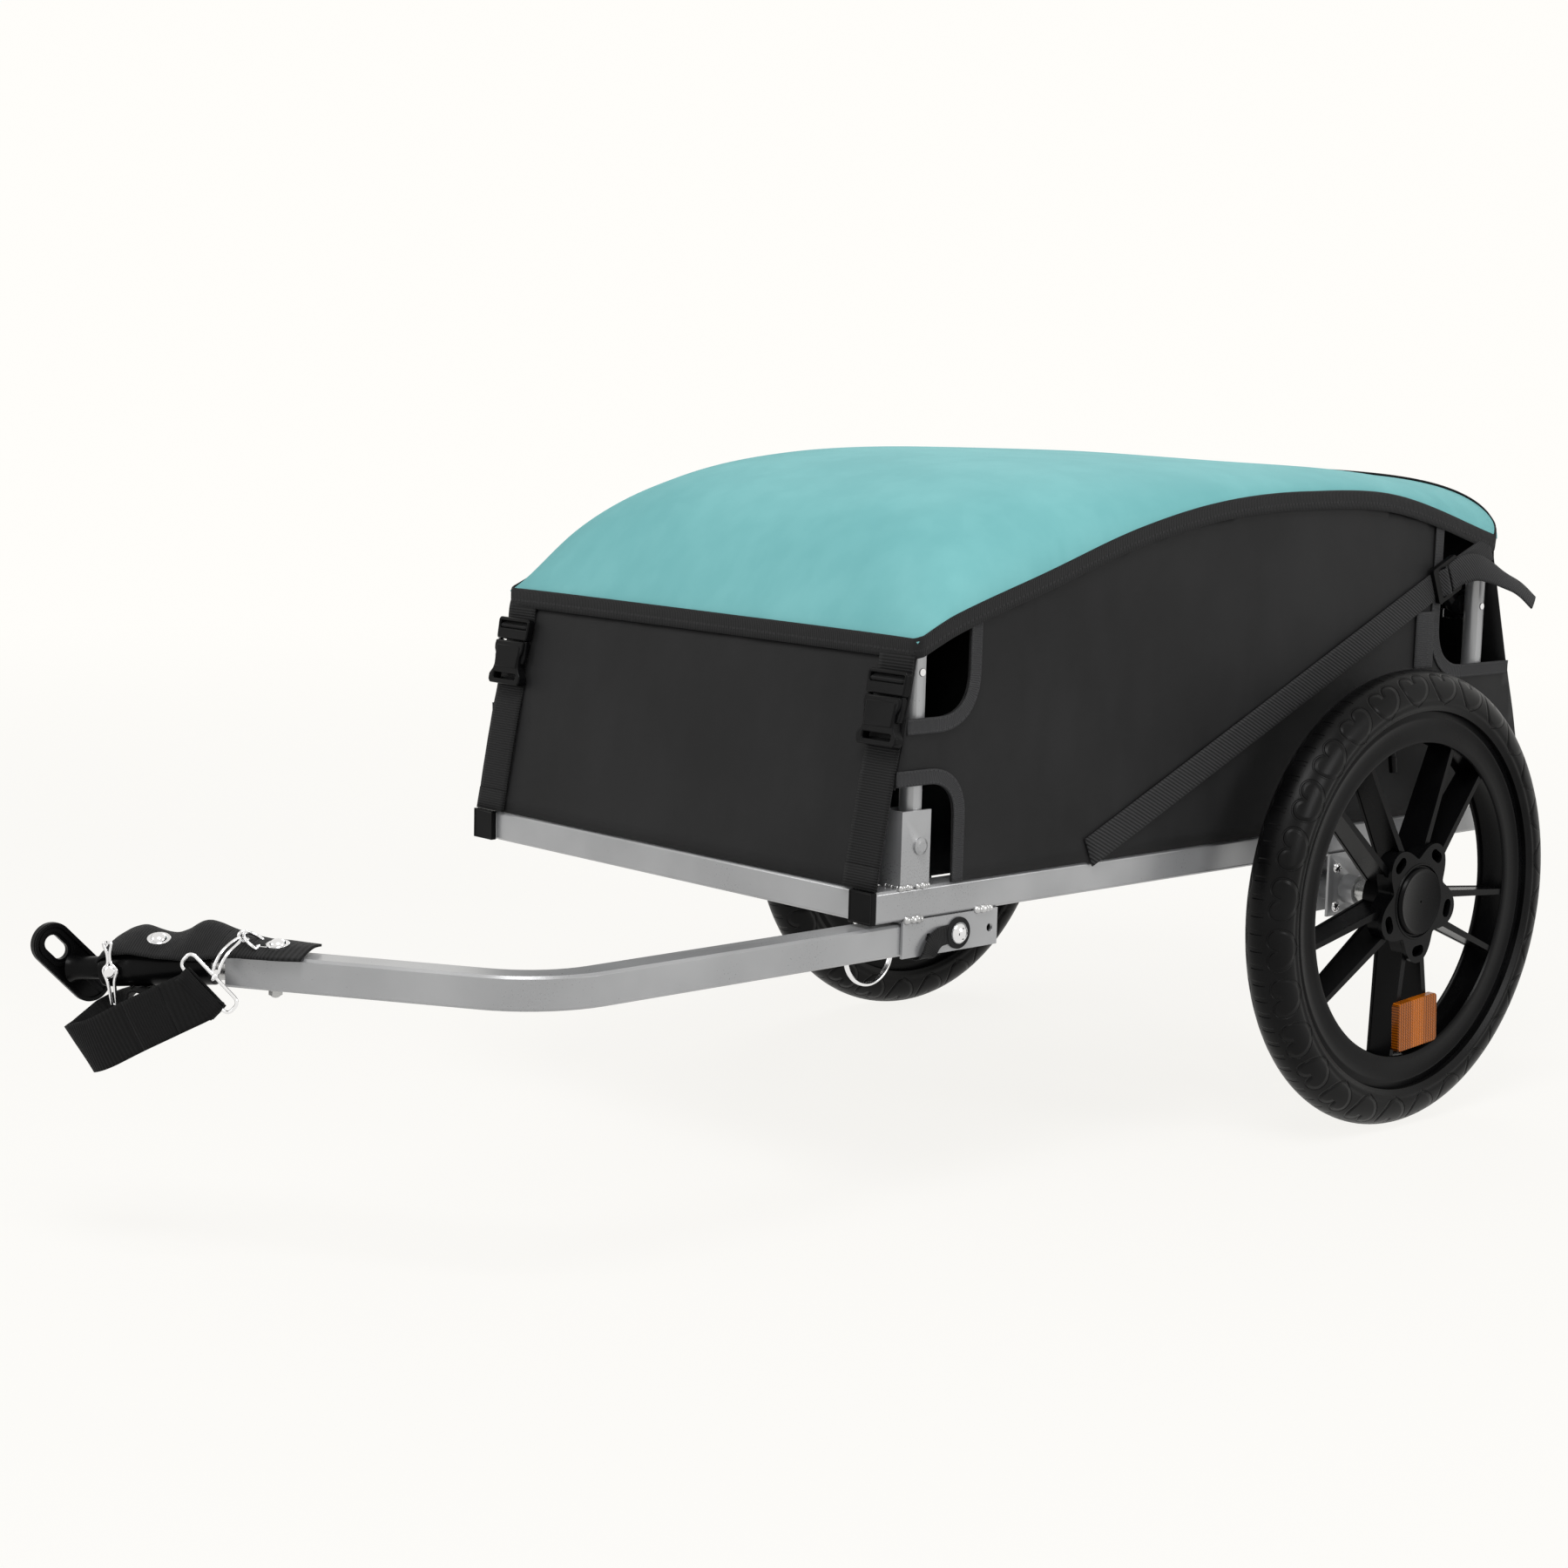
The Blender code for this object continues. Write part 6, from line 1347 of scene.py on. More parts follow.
floor_low, floor_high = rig.box("cargo_floor")
floor_size = floor_high - floor_low


def floor_place(u, v):
    x = floor_low.x + u * floor_size.x
    y = floor_low.y + v * floor_size.y
    edge = min(1.0, 12 * min(u, 1 - u), 12 * min(v, 1 - v))
    return Vector((x, y, floor_low.z + 0.0012 + edge * 0.0007 * wrinkle((x, y, 0), 8.0)))


bm = cloth_grid(40, 76, floor_place, (floor_size.x, floor_size.y))
floor_sheet = settle(
    "floor_sheet", bm, floor_cloth, "frame", ("cargo_floor",), "black_cloth", shift=False, thick=0.0012,
)
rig.sheet(floor_sheet, (floor_size.x, floor_size.y), "laid", ["left_rail", "right_rail"])
print("front, rear and floor cloths")


# %% [markdown]
# ## Cover and its binding
# The cover is sewn to a bound edge and pulled tight over the bars. A fine grid follows its shape, and noise
# adds the low waves of a coated cloth. The binding is a tape folded over the edge, with two rows of stitches.

# %% Cover
def cover_place(u, v):
    x = BODY_X * math.sin(math.pi * (u - 0.5))
    y = FRONT_TOP_Y + (REAR_TOP_Y - FRONT_TOP_Y) * (1 - math.cos(math.pi * v)) / 2
    hold = min(1.0, min(BODY_X - abs(x), y - FRONT_TOP_Y, REAR_TOP_Y - y) / 0.03)
    pulled = math.exp(-(y - FRONT_TOP_Y) / 0.10)
    wave = 0.0014 * wrinkle((x, y, 0), 6.0, 1.0) + 0.0016 * pulled * wrinkle((x * 1.6, y * 0.6, 1), 21.0, 3.0)
    return Vector((x, y, cover_height(x, y) - 0.001 + hold * wave))


def seen_length(place, steps=80):
    return path_length([place(i / steps) for i in range(steps + 1)])


stations = [i / 10 for i in range(11)]
COVER_FLAT = (
    max(seen_length(lambda t: cover_place(t, s)) for s in stations),
    max(seen_length(lambda t: cover_place(s, t)) for s in stations),
)
bm = cloth_grid(96, 116, cover_place, COVER_FLAT)
cover_area = sum(face.calc_area() for face in bm.faces)
cover_cloth = settle("cover_cloth", bm, teal_cloth, "cover", ("cover",), thick=0.0016)
print("cover cut about", [round(v, 3) for v in COVER_FLAT], "area", round(cover_area, 3))


# %% Binding tape
def edge_walk(half_width, front, rear, radius, spacing=0.005):
    """Plan points round the cover's edge, with small round corners, and the way out at each."""
    corners = [Vector(c) for c in mirrored([(half_width, front), (half_width, rear)])]
    points, outs = [], []
    for i, corner in enumerate(corners):
        ahead = (corner - corners[i - 1]).normalized()
        after = (corners[(i + 1) % 4] - corner).normalized()
        out = Vector((ahead.y, -ahead.x))
        centre = corner - ahead * radius - out * radius
        for k in range(7):
            turn = math.pi / 2 * k / 6
            outs.append(out * math.cos(turn) + ahead * math.sin(turn))
            points.append(centre + outs[-1] * radius)
        start, end = corner + after * radius, corners[(i + 1) % 4] - after * radius
        count = int((end - start).length / spacing)
        points += [start.lerp(end, k / count) for k in range(1, count)]
        outs += [Vector((after.y, -after.x))] * (count - 1)
    return points + points[:1], outs + outs[:1]


TAPE_FOLD = ((0.0000, 0.0016), (0.0010, 0.0008), (0.0016, -0.0012), (0.0017, -0.0072), (0.0012, -SKIRT))
TAPE_LENGTH = 2 * (2 * BODY_X + REAR_TOP_Y - FRONT_TOP_Y)
walk, ways_out = edge_walk(BODY_X, FRONT_TOP_Y, REAR_TOP_Y, 0.006)


def tape_place(u, v):
    at = v * (len(walk) - 1)
    i = min(int(at), len(walk) - 2)
    t = at - i
    point = walk[i].lerp(walk[i + 1], t)
    out = ways_out[i].lerp(ways_out[i + 1], t)
    k = min(int(u * 4), 3)
    a, b = TAPE_FOLD[k], TAPE_FOLD[k + 1]
    s = u * 4 - k
    off, rise = a[0] + (b[0] - a[0]) * s, a[1] + (b[1] - a[1]) * s
    off += 0.0006 * wrinkle((point.x, point.y, 3), 30.0) * u
    height = cover_height(max(-BODY_X, min(BODY_X, point.x * 1.0005)), point.y)
    return Vector((point.x + out.x * off, point.y + out.y * off, height + rise))


bm = cloth_grid(8, len(walk) - 1, tape_place, (0.0165, TAPE_LENGTH), closed=True)
binding = settle("cover_binding", bm, binding_tape, "cover", slot="black_webbing", thick=0.0012)
COVER_BARS = ["left_top_bar", "right_top_bar", "cover_bow"]
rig.sheet(cover_cloth, COVER_FLAT, "stretched", COVER_BARS, cover_area, [binding])
print("binding tape of", round(TAPE_LENGTH, 2), "m")


# %% [markdown]
# ## Straps and buckles
# Webbing is a strip swept along a line of points. Each strap keeps its real width, and a second list says
# which way that width lies at every point, so that a strap can twist. Its ribs come from the finish.

# %% Front straps
FRONT_WEB_X = 0.228
FRONT_WEB_WIDTH = 0.036
SOCKET_BOTTOM = 0.366
SLOT_Z = 0.4165
STRAP_RISE = SOCKET_BOTTOM + 0.006 - CLOTH_BOTTOM
CLIP_LOOP = (
    (0.4400, 0.0014), (0.4330, 0.0020), (0.4270, 0.0017), (0.4215, 0.0013), (0.4190, 0.0040),
    (SLOT_Z, 0.0078), (0.4140, 0.0050),
)


def front_webbing(name, side, points, width, crown, body, thick):
    return webbing(name, points, [(side, 0, 0)] * len(points), width, crown, black_webbing, body, thick)


for side_name, side in SIDES:
    x = side * FRONT_WEB_X
    points = []
    for i in range(25):
        z = CLOTH_BOTTOM + STRAP_RISE * i / 24
        slack = 0.0010 * math.sin(math.pi * i / 24) + 0.0005 * wrinkle((side, z, 0), 40.0)
        points.append(front_place(x, z, 0.0012 + slack))
    name = side_name + "_front_strap"
    fold_down(front_webbing(name, side, points, FRONT_WEB_WIDTH, 0.0004, "frame", 0.0014))
    hem = [front_place(x, CLOTH_BOTTOM + z, 0.0026) for z in (0.0002, 0.009, 0.018)]
    fold_down(front_webbing(name + "_hem", side, hem, FRONT_WEB_WIDTH - 0.001, 0.0003, "frame", 0.0012))
    loop = smooth_line([front_place(x, z, out) for z, out in CLIP_LOOP], 6)
    name = side_name + "_clip"
    front_webbing(name + "_webbing", side, loop, FRONT_WEB_WIDTH, 0.0002, name, 0.0013)
print("front straps of", round(STRAP_RISE, 3), "m on each side")


# %% Side-release buckles
def moulded_plate(bm, outline, holes, x, out, depth):
    """A moulded piece that lies on the front panel: its outline is (across, height)."""
    lean = Vector((0, -1, FRONT_LEAN)).normalized()
    punched(bm, outline, holes, lambda u, v: Vector((x + u, front_face_y(v) - out, v)), lean * depth)


def oblong(width, height, middle, radius=0.0012, steps=4):
    """A rectangle with rounded corners, as (across, height) points."""
    found = []
    for cx, cz, start in ((1, -1, -90), (1, 1, 0), (-1, 1, 90), (-1, -1, 180)):
        corner = (cx * (width / 2 - radius), middle + cz * (height / 2 - radius))
        found += arc_points(corner, radius, start, start + 90, steps)
    return found


SOCKET = [
    (0.0190, 0.3660), (0.0212, 0.3685), (0.0212, 0.3735), (0.0172, 0.3785), (0.0158, 0.3830),
    (0.0158, 0.3900), (0.0185, 0.3945), (0.0190, 0.4000), (0.0184, 0.4030),
]
RAISED = [(0.0150, 0.3815), (0.0160, 0.4005)]
CLIP = [(0.0192, 0.4042), (0.0202, 0.4070), (0.0210, 0.4205), (0.0190, 0.4228)]
PRONG = [(0.0150, 0.4045), (0.0196, 0.4045), (0.0203, 0.3900), (0.0190, 0.3850), (0.0164, 0.3845)]


def buckle_half(side_name, kind, bm):
    node = "%s_buckle_%s" % (side_name, kind)
    body = "%s_%s" % (side_name, kind)
    settle(body + "_moulding", bm, black_plastic, body, (node,), smooth=30, bevel=0.0010)


for side_name, side in SIDES:
    x = side * FRONT_WEB_X
    bm = bmesh.new()
    moulded_plate(bm, mirrored(SOCKET), [oblong(0.030, 0.0052, 0.3728)], x, 0.0020, 0.0088)
    moulded_plate(bm, mirrored(RAISED), [], x, 0.0095, 0.0022)
    buckle_half(side_name, "socket", bm)
    bm = bmesh.new()
    moulded_plate(bm, mirrored(CLIP), [oblong(0.0365, 0.0066, SLOT_Z)], x, 0.0024, 0.0070)
    for hand in (-1, 1):
        moulded_plate(bm, [(hand * u, v) for u, v in PRONG], [], x, 0.0042, 0.0040)
    buckle_half(side_name, "clip", bm)
print("two side-release buckles")


# %% Diagonal straps
DIAGONAL_WIDTH = 0.025
FOOT, LOCK, TOP = Vector((-0.352, 0.2665)), Vector((0.115, 0.470)), Vector((0.186, 0.497))
RUN = (TOP - FOOT).normalized()
OVER = Vector((-RUN.y, RUN.x))
TAIL = (
    (*(LOCK + RUN * 0.004), 0.0060), (*(LOCK + RUN * 0.020), 0.0076), (0.1530, 0.4800, 0.0098),
    (0.1700, 0.4755, 0.0130), (0.1826, 0.4690, 0.0180), (0.1974, 0.4600, 0.0270), (0.2075, 0.4477, 0.0360),
)


def side_line(side, knots, samples=10):
    """Points over a side panel through knots of (y, z, distance outside the cloth)."""
    return smooth_line([Vector((side * (BODY_X + out), y, z)) for y, z, out in knots], samples)


def in_plane_spans(points, side):
    """The width of a strap that lies flat on the side panel: square to its run, in the panel's plane."""
    spans = []
    for i in range(len(points)):
        run = points[min(i + 1, len(points) - 1)] - points[max(i - 1, 0)]
        spans.append(Vector((0, -run.z, run.y)).normalized() * side)
    return spans


def side_webbing(name, points, spans, crown, thick, replaced=()):
    strap = webbing(
        name, points, spans, DIAGONAL_WIDTH, crown, twill_webbing, "frame", thick, replaced, "black_webbing",
    )
    fold_down(strap)


def ladder_lock(side_name, side):
    """A small frame with two slots that the strap is threaded through."""
    def place(u, v):
        at = LOCK + RUN * u + OVER * v
        return Vector((side * (BODY_X + 0.0016), at.x, at.y))

    bm = bmesh.new()
    slots = [[(u + shift, v) for v, u in oblong(0.0265, 0.0052, 0.0, 0.001)] for shift in (-0.0085, 0.0035)]
    punched(bm, oblong(0.036, 0.034, 0.0, 0.003), slots, place, (side * 0.0044, 0, 0))
    fold_down(settle(side_name + "_ladder_lock", bm, black_plastic, "frame", smooth=30, bevel=0.0008))


for side_name, side in SIDES:
    knots = []
    for t in (0, 0.2, 0.4, 0.6, 0.8, 0.97):
        knots.append((*FOOT.lerp(LOCK, t), 0.0012 + 0.0008 * math.sin(math.pi * t)))
    knots += [(*LOCK, 0.0030), (*LOCK.lerp(TOP, 0.4), 0.0022), (*TOP, 0.0010)]
    points = side_line(side, knots)
    diagonal_length = path_length(points)
    nodes = (side_name + "_diagonal_strap",)
    side_webbing(side_name + "_diagonal_webbing", points, in_plane_spans(points, side), 0.0003, 0.0014, nodes)
    ladder_lock(side_name, side)
    thread = (0.013, 0.0058), (0.0035, 0.0046), (-0.0025, 0.0082), (-0.0085, 0.0052), (-0.0135, 0.0028)
    points = side_line(side, [(*(LOCK + RUN * u), out) for u, out in thread], 6)
    side_webbing(side_name + "_lock_webbing", points, in_plane_spans(points, side), 0.0, 0.0013)
    points = side_line(side, TAIL, 8)
    tail_length = path_length(points)
    loose = Vector((-0.441 * side, 0.814, 0.379)) * side
    twisted = [flat.lerp(loose, min(1.0, i / 36)) for i, flat in enumerate(in_plane_spans(points, side))]
    side_webbing(side_name + "_strap_tail", points, twisted, 0.0006, 0.0013)
    points = side_line(side, [(0.0915, z, 0.0009) for z in (0.391, 0.408, 0.425, 0.4415)], 6)
    patch = webbing(
        side_name + "_sewn_patch", points, in_plane_spans(points, side), 0.027, 0.0004, grey_trim, "frame",
        0.0010, slot="black_cloth",
    )
    fold_down(patch)
print("diagonal straps of", round(diagonal_length, 3), "m with tails of", round(tail_length, 3), "m")


# %% [markdown]
# ## Tow arm and hitch
# The arm is a bent square tube on a bolt under the left rail. A pin with a split ring locks it. At its tip a
# spring lets the moulded hitch tilt, and a riveted strap keeps the two together if the spring ever breaks.

# %% Tow arm and pin
refined("tow_arm", silver_paint, 0.0007)
refined("coupling_spring", zinc_plate, 0.0)
refined("tow_pin", bright_wire, 0.0004)
EYE = Vector((0.1814, -0.530, 0.218))
RING_RADIUS = 0.024
bm = bmesh.new()
centre = EYE - Vector((0, 0, RING_RADIUS))
turns = []
for i in range(121):
    angle = math.radians(90) + 2 * math.pi * 1.9 * i / 120
    spot = Vector((0, math.cos(angle), math.sin(angle))) * RING_RADIUS
    turns.append(centre + spot + Vector((0.0016 * (i / 60 - 1), 0, 0)))
wire_into(bm, turns, 0.00135, sides=5)
settle("split_ring", bm, bright_wire, "tow_ring", ("tow_ring",), smooth=60)
print("tow arm, pin and ring")


# %% Tether
FACE_X = FRAME_HALF_WIDTH + 0.00105
BOLT_Y = -0.5068
ring_catch = centre + Vector((0, math.cos(math.radians(20)), math.sin(math.radians(20)))) * RING_RADIUS
tether_knots = [
    (FACE_X, BOLT_Y + 0.008, 0.218), (FACE_X, BOLT_Y - 0.004, 0.2178),
    (FACE_X + 0.0012, BOLT_Y - 0.013, 0.217), (FACE_X + 0.0026, BOLT_Y - 0.021, 0.213),
    (FACE_X + 0.0030, BOLT_Y - 0.0255, 0.2065), (FACE_X - 0.0006, BOLT_Y - 0.0265, 0.2020),
    (FACE_X - 0.007, BOLT_Y - 0.0258, 0.2010), (0.2154, BOLT_Y - 0.024, 0.2006),
    (0.2004, BOLT_Y - 0.014, 0.2002), (ring_catch.x + 0.0030, ring_catch.y, ring_catch.z),
]
up, back = Vector((0, 0, 1)), Vector((0, 1, 0))
knot_spans = [up, up, up * 0.9 - back * 0.3, up * 0.6 - back, up * 0.2 - back] + [back * -1] * 5
points = smooth_line(tether_knots, 6)
spans = spans_between(knot_spans, points, 6)
webbing("tether_strip", points, spans, 0.015, 0.0006, black_webbing, "frame", 0.0012, ("tow_tether",))
bm = bmesh.new()
tab = Vector(TOW_BOLT)
add_rod(bm, tab - Vector((0.0005, 0, 0)), tab + Vector((0.0010, 0, 0)), 0.0125, 40)
settle("tether_tab", bm, black_webbing, "frame", bevel=0.0004)
print("tether of", round(path_length(points), 3), "m from the bolt to the ring")


# %% Hitch places
ARM_FORWARD = Vector((-0.85355, -0.52101, 0))
HITCH_SIDE = Vector((0.52101, -0.85355, 0))
ARM_TIP = Vector((0.03012, -1.01244, 0.218))
DROOP = math.radians(5.5)
HITCH_FORWARD = ARM_FORWARD * math.cos(DROOP) - Vector((0, 0, math.sin(DROOP)))
HITCH_UP = HITCH_FORWARD.cross(HITCH_SIDE)
HOUSING_REAR = ARM_TIP + ARM_FORWARD * 0.006 + HITCH_FORWARD * 0.006
HOUSING_FRONT = HOUSING_REAR + HITCH_FORWARD * 0.088
STUB_END = HOUSING_FRONT + HITCH_FORWARD * 0.026


def hitch_point(ahead, side, up):
    return ARM_TIP + ARM_FORWARD * ahead + HITCH_SIDE * side + Vector((0, 0, up))


def along_axis(bm, start, forward, outline, sides=40):
    """Turns an outline of (distance, radius) about an axis."""
    flat = bmesh.new()
    verts = [flat.verts.new((r, 0, d)) for d, r in outline]
    edges = [flat.edges.new(pair) for pair in zip(verts, verts[1:])]
    bmesh.ops.spin(
        flat, geom=verts + edges, cent=(0, 0, 0), axis=(0, 0, 1), angle=2 * math.pi, steps=sides,
        use_merge=True,
    )
    bmesh.ops.remove_doubles(flat, verts=flat.verts[:], dist=0.000005)
    bmesh.ops.transform(flat, matrix=Matrix.Translation(start) @ turn_to(forward), verts=flat.verts[:])
    bmesh.ops.recalc_face_normals(flat, faces=flat.faces[:])
    mesh = bpy.data.meshes.new("turned")
    flat.to_mesh(mesh)
    flat.free()
    bm.from_mesh(mesh)
    bpy.data.meshes.remove(mesh)


# %% Housing, stub and plate
bm = bmesh.new()
along_axis(bm, HOUSING_REAR, HITCH_FORWARD, [
    (0, 0), (0, 0.0118), (0.0014, 0.0133), (0.060, 0.0134), (0.0615, 0.0137), (0.064, 0.0137),
    (0.0655, 0.0134), (0.0860, 0.0135), (0.0876, 0.0131), (0.0880, 0.0122), (0.0880, 0.0094),
    (0.0860, 0.0090), (0.0860, 0),
])
settle("hitch_sleeve", bm, black_plastic, "hitch", ("hitch_housing",), smooth=40)

PLATE_LONG, PLATE_WIDE, EYE_AT = 0.074, 0.031, 0.018
PLATE_TILT = math.radians(45)
plate_centre = STUB_END + Vector((-0.0035, 0, 0.004))
long_way = Vector((0, -math.sin(PLATE_TILT), math.cos(PLATE_TILT)))
wide_way = Vector((0, math.cos(PLATE_TILT), math.sin(PLATE_TILT)))


def plate_loop(length, width, middle=0.0, steps=24):
    """An oblong on the hitch plate's face, as (along, across) points."""
    radius = width / 2
    found = []
    for hand in (1, -1):
        for i in range(steps + 1):
            turn = math.pi * (i / steps - 0.5)
            along = (length - width) / 2 + radius * math.cos(turn)
            found.append((middle + hand * along, hand * radius * math.sin(turn)))
    return found


def plate_layer(bm, outer, inner, depth, thickness):
    """A layer of the hitch plate with a hole. It starts at a depth from the middle of the plate."""
    start = plate_centre + Vector((depth, 0, 0))
    punched(bm, outer, [inner], lambda u, v: start + long_way * u + wide_way * v, (thickness, 0, 0))


bm = bmesh.new()
plate_layer(bm, plate_loop(PLATE_LONG, PLATE_WIDE), plate_loop(0.021, 0.012, EYE_AT), -0.0021, 0.0042)
for sign in (1, -1):
    ridge = plate_loop(PLATE_LONG - 0.0008, PLATE_WIDE - 0.0008)
    within = plate_loop(PLATE_LONG - 0.0062, PLATE_WIDE - 0.0062)
    plate_layer(bm, ridge, within, sign * 0.0019, sign * 0.0016)
    collar, lip = plate_loop(0.0305, 0.0215, EYE_AT), plate_loop(0.0258, 0.0168, EYE_AT)
    plate_layer(bm, collar, lip, sign * 0.0019, sign * 0.0014)
along_axis(bm, HOUSING_FRONT - HITCH_FORWARD * 0.020, HITCH_FORWARD, [
    (0, 0), (0, 0.0083), (0.0395, 0.0083), (0.0425, 0.0086), (0.0450, 0.0093), (0.0472, 0.0104), (0.0472, 0),
], 32)
add_rod(bm, plate_centre + long_way * 0.0020, plate_centre - long_way * 0.0345, 0.0032, 16)
settle("hitch_plate", bm, black_plastic, "hitch", ("hitch_coupler",), smooth=35, bevel=0.0007)
print("hitch sleeve, stub and plate")


# %% Hitch pin with its spring clip
pin_middle = HOUSING_FRONT - HITCH_FORWARD * 0.012
CLIP_WIRE = (
    (0.0160, 0.0210, 0.0004), (0.0160, 0.0200, 0.0030), (0.0160, 0.0130, 0.0012), (0.0160, 0.0060, 0.0014),
    (0.0160, 0.0010, 0.0052), (0.0160, -0.0080, 0.0026), (0.0140, -0.0240, 0.0018),
)
HOOP_WIRE = (
    (0.0140, -0.0240), (0.0080, -0.0275), (-0.0040, -0.0270), (-0.0130, -0.0200), (-0.0165, -0.0080),
    (-0.0160, 0.0),
)


def pin_point(side, up=0.0, ahead=0.0):
    """A place by the hitch pin: along it, above it and ahead of it."""
    return pin_middle + HITCH_SIDE * side + HITCH_UP * up + HITCH_FORWARD * ahead


bm = bmesh.new()
add_rod(bm, pin_point(-0.0165), pin_point(0.0175), 0.0029, 24)
add_dome(bm, pin_point(0.0172), HITCH_SIDE, 0.0046, 0.0022, 24)
add_rod(bm, pin_point(0.0142), pin_point(0.0172), 0.0046, 24)
for hand in (1, -1):
    clip = [pin_point(side, up, ahead * hand) for side, up, ahead in CLIP_WIRE]
    wire_into(bm, smooth_line(clip, 8), 0.00125, sides=4)
for shift in (-0.0011, 0.0011):
    hoop = smooth_line([pin_point(side, up) for side, up in HOOP_WIRE], 8)
    wire_into(bm, [p + HITCH_FORWARD * shift for p in hoop], 0.00095, sides=4)
settle("hitch_pin_and_clip", bm, bright_wire, "hitch_pin", ("hitch_pin",), smooth=60)
print("hitch pin with", len(CLIP_WIRE), "bends in its clip")


# %% Safety strap and its rivets
SAFETY_KNOTS = (
    (0.1010, 0.0030, -0.0030, 0.0125), (0.0960, 0.0105, 0.0015, 0.0130), (0.0880, 0.0165, 0.0040, 0.0138),
    (0.0760, 0.0205, 0.0060, 0.0150), (0.0640, 0.0180, 0.0058, 0.0160), (0.0520, 0.0165, 0.0052, 0.0165),
    (0.0410, 0.0205, 0.0050, 0.0160), (0.0300, 0.0270, 0.0052, 0.0155), (0.0190, 0.0268, 0.0062, 0.0158),
    (0.0080, 0.0235, 0.0088, 0.0168), (-0.0050, 0.0200, 0.0105, 0.0178), (-0.0200, 0.0182, 0.0112, 0.0184),
    (-0.0350, 0.0178, 0.0116, 0.0186), (-0.0600, 0.0168, 0.0122, 0.0186),
)
STRAP_WIDTH = 0.038
STRAP_THICK = 0.0018
FAR_SIDE = -0.0180
safety_line = smooth_line(SAFETY_KNOTS, 8)


def draped(u, v):
    """Between the strap's far edge (u = 0), which stands in humps, and its near edge beside the sleeve."""
    at = v * (len(safety_line) - 1)
    i = min(int(at), len(safety_line) - 2)
    ahead, far_up, near_up, near_side = safety_line[i].lerp(safety_line[i + 1], at - i)
    side = FAR_SIDE + (near_side - FAR_SIDE) * u
    bow = 0.0022 * (1 - (2 * u - 1) ** 2) + 0.0005 * wrinkle((u * 2, v * 9, 0), 1.6, 2.0)
    return hitch_point(ahead, side, far_up + (near_up - far_up) * u ** 1.25 + bow)


def bends_between(obj, first, second, ahead_from, ahead_to):
    """obj follows the first body up to one distance ahead of the arm's tip, and the second from the other."""
    ends = [hitch_point(ahead, 0, 0) + Vector((0, AXLE_Y, 0)) for ahead in (ahead_from, ahead_to)]
    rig.blend(obj, first, second, *ends)


def nearest_step(ahead):
    return min(range(len(safety_line)), key=lambda i: abs(safety_line[i][0] - ahead))


safety_length = seen_length(lambda t: draped(0.5, t))
steps = len(safety_line) - 1
cut_at = nearest_step(0.0065)
SAFETY_PARTS = (
    ("safety_webbing_front", 0, cut_at, (), "coupling", "hitch", 0.0080, 0.0340),
    ("safety_webbing", cut_at, steps, ("safety_strap",), "tow_arm", "coupling", -0.0260, 0.0050),
)
for name, first, last, nodes, from_body, to_body, ahead_from, ahead_to in SAFETY_PARTS:
    size = (STRAP_WIDTH, safety_length * (last - first) / steps)
    bm = cloth_grid(14, last - first, lambda u, v: draped(u, (first + v * (last - first)) / steps), size)
    strap = settle(name, bm, black_webbing, None, nodes, thick=STRAP_THICK)
    bends_between(strap, from_body, to_body, ahead_from, ahead_to)
for ahead, body in ((0.0575, "hitch"), (-0.034, "tow_arm")):
    bm = bmesh.new()
    at = nearest_step(ahead) / steps
    foot = draped(0.5, at)
    along, across = draped(0.5, at - 0.01) - draped(0.5, at + 0.01), draped(0.7, at) - draped(0.3, at)
    out = along.cross(across).normalized()
    out = out if out.z > 0 else -out
    add_rod(bm, foot, foot + out * 0.0020, 0.0084, 32)
    add_dome(bm, foot + out * 0.0018, out, 0.0060, 0.0036, 28)
    settle("strap_rivet_%s" % body, bm, bright_wire, body, slot="zinc_plate", smooth=50, bevel=0.0002)
bm = bmesh.new()
under = hitch_point(-0.033, 0, -0.0125)
add_rod(bm, under, under - up * 0.0012, 0.0062, 24)
add_rod(bm, under - up * 0.0010, under - up * 0.0052, 0.0050, 6)
add_dome(bm, under - up * 0.0050, -up, 0.0036, 0.0022, 20)
settle("strap_nut", bm, zinc_plate, "tow_arm", smooth=30, bevel=0.0003)
print("safety strap of", round(safety_length, 3), "m, with two rivets")


# %% [markdown]
# ## Hook and hanging strap
# A snap hook holds the loose strap out of the way when the trailer is parked. The strap is sewn round the
# hook's wire loop, hangs forward and down, folds over, and comes back under the hitch.

# %% D-ring and snap hook
refined("d_ring", bright_wire, 0.0, smooth=180)
LOOP_CENTRE = hitch_point(0.0047, 0.030, -0.0078)
loop_long = (ARM_FORWARD * 0.745 + Vector((0, 0, 0.667))).normalized()
loop_short = (ARM_FORWARD * 0.667 - Vector((0, 0, 0.745))).normalized()
HOOK_PATH = (
    (-0.0012, 0.0300, 0.0010), (-0.0030, 0.0290, 0.0075), (-0.0060, 0.0240, 0.0155),
    (-0.0108, 0.0100, 0.0232),
)
LOOP_CORNERS = ((0.02, -0.0001, 90), (0.02, -0.0038, 0), (-0.02, -0.0038, -90), (-0.02, -0.0001, 180))
RING_CATCH = hitch_point(-0.0115, 0.0062, 0.0238)
bm = bmesh.new()
loop_line = []
for u, v, start in LOOP_CORNERS:
    loop_line += arc_points((u, v), 0.0048, start, start - 90, 6)
wire_into(bm, [LOOP_CENTRE + loop_long * u + loop_short * v for u, v in loop_line], 0.0013, True, 5)
hook_line = smooth_line([hitch_point(*knot) for knot in HOOK_PATH], 8)
rails = [[], []]
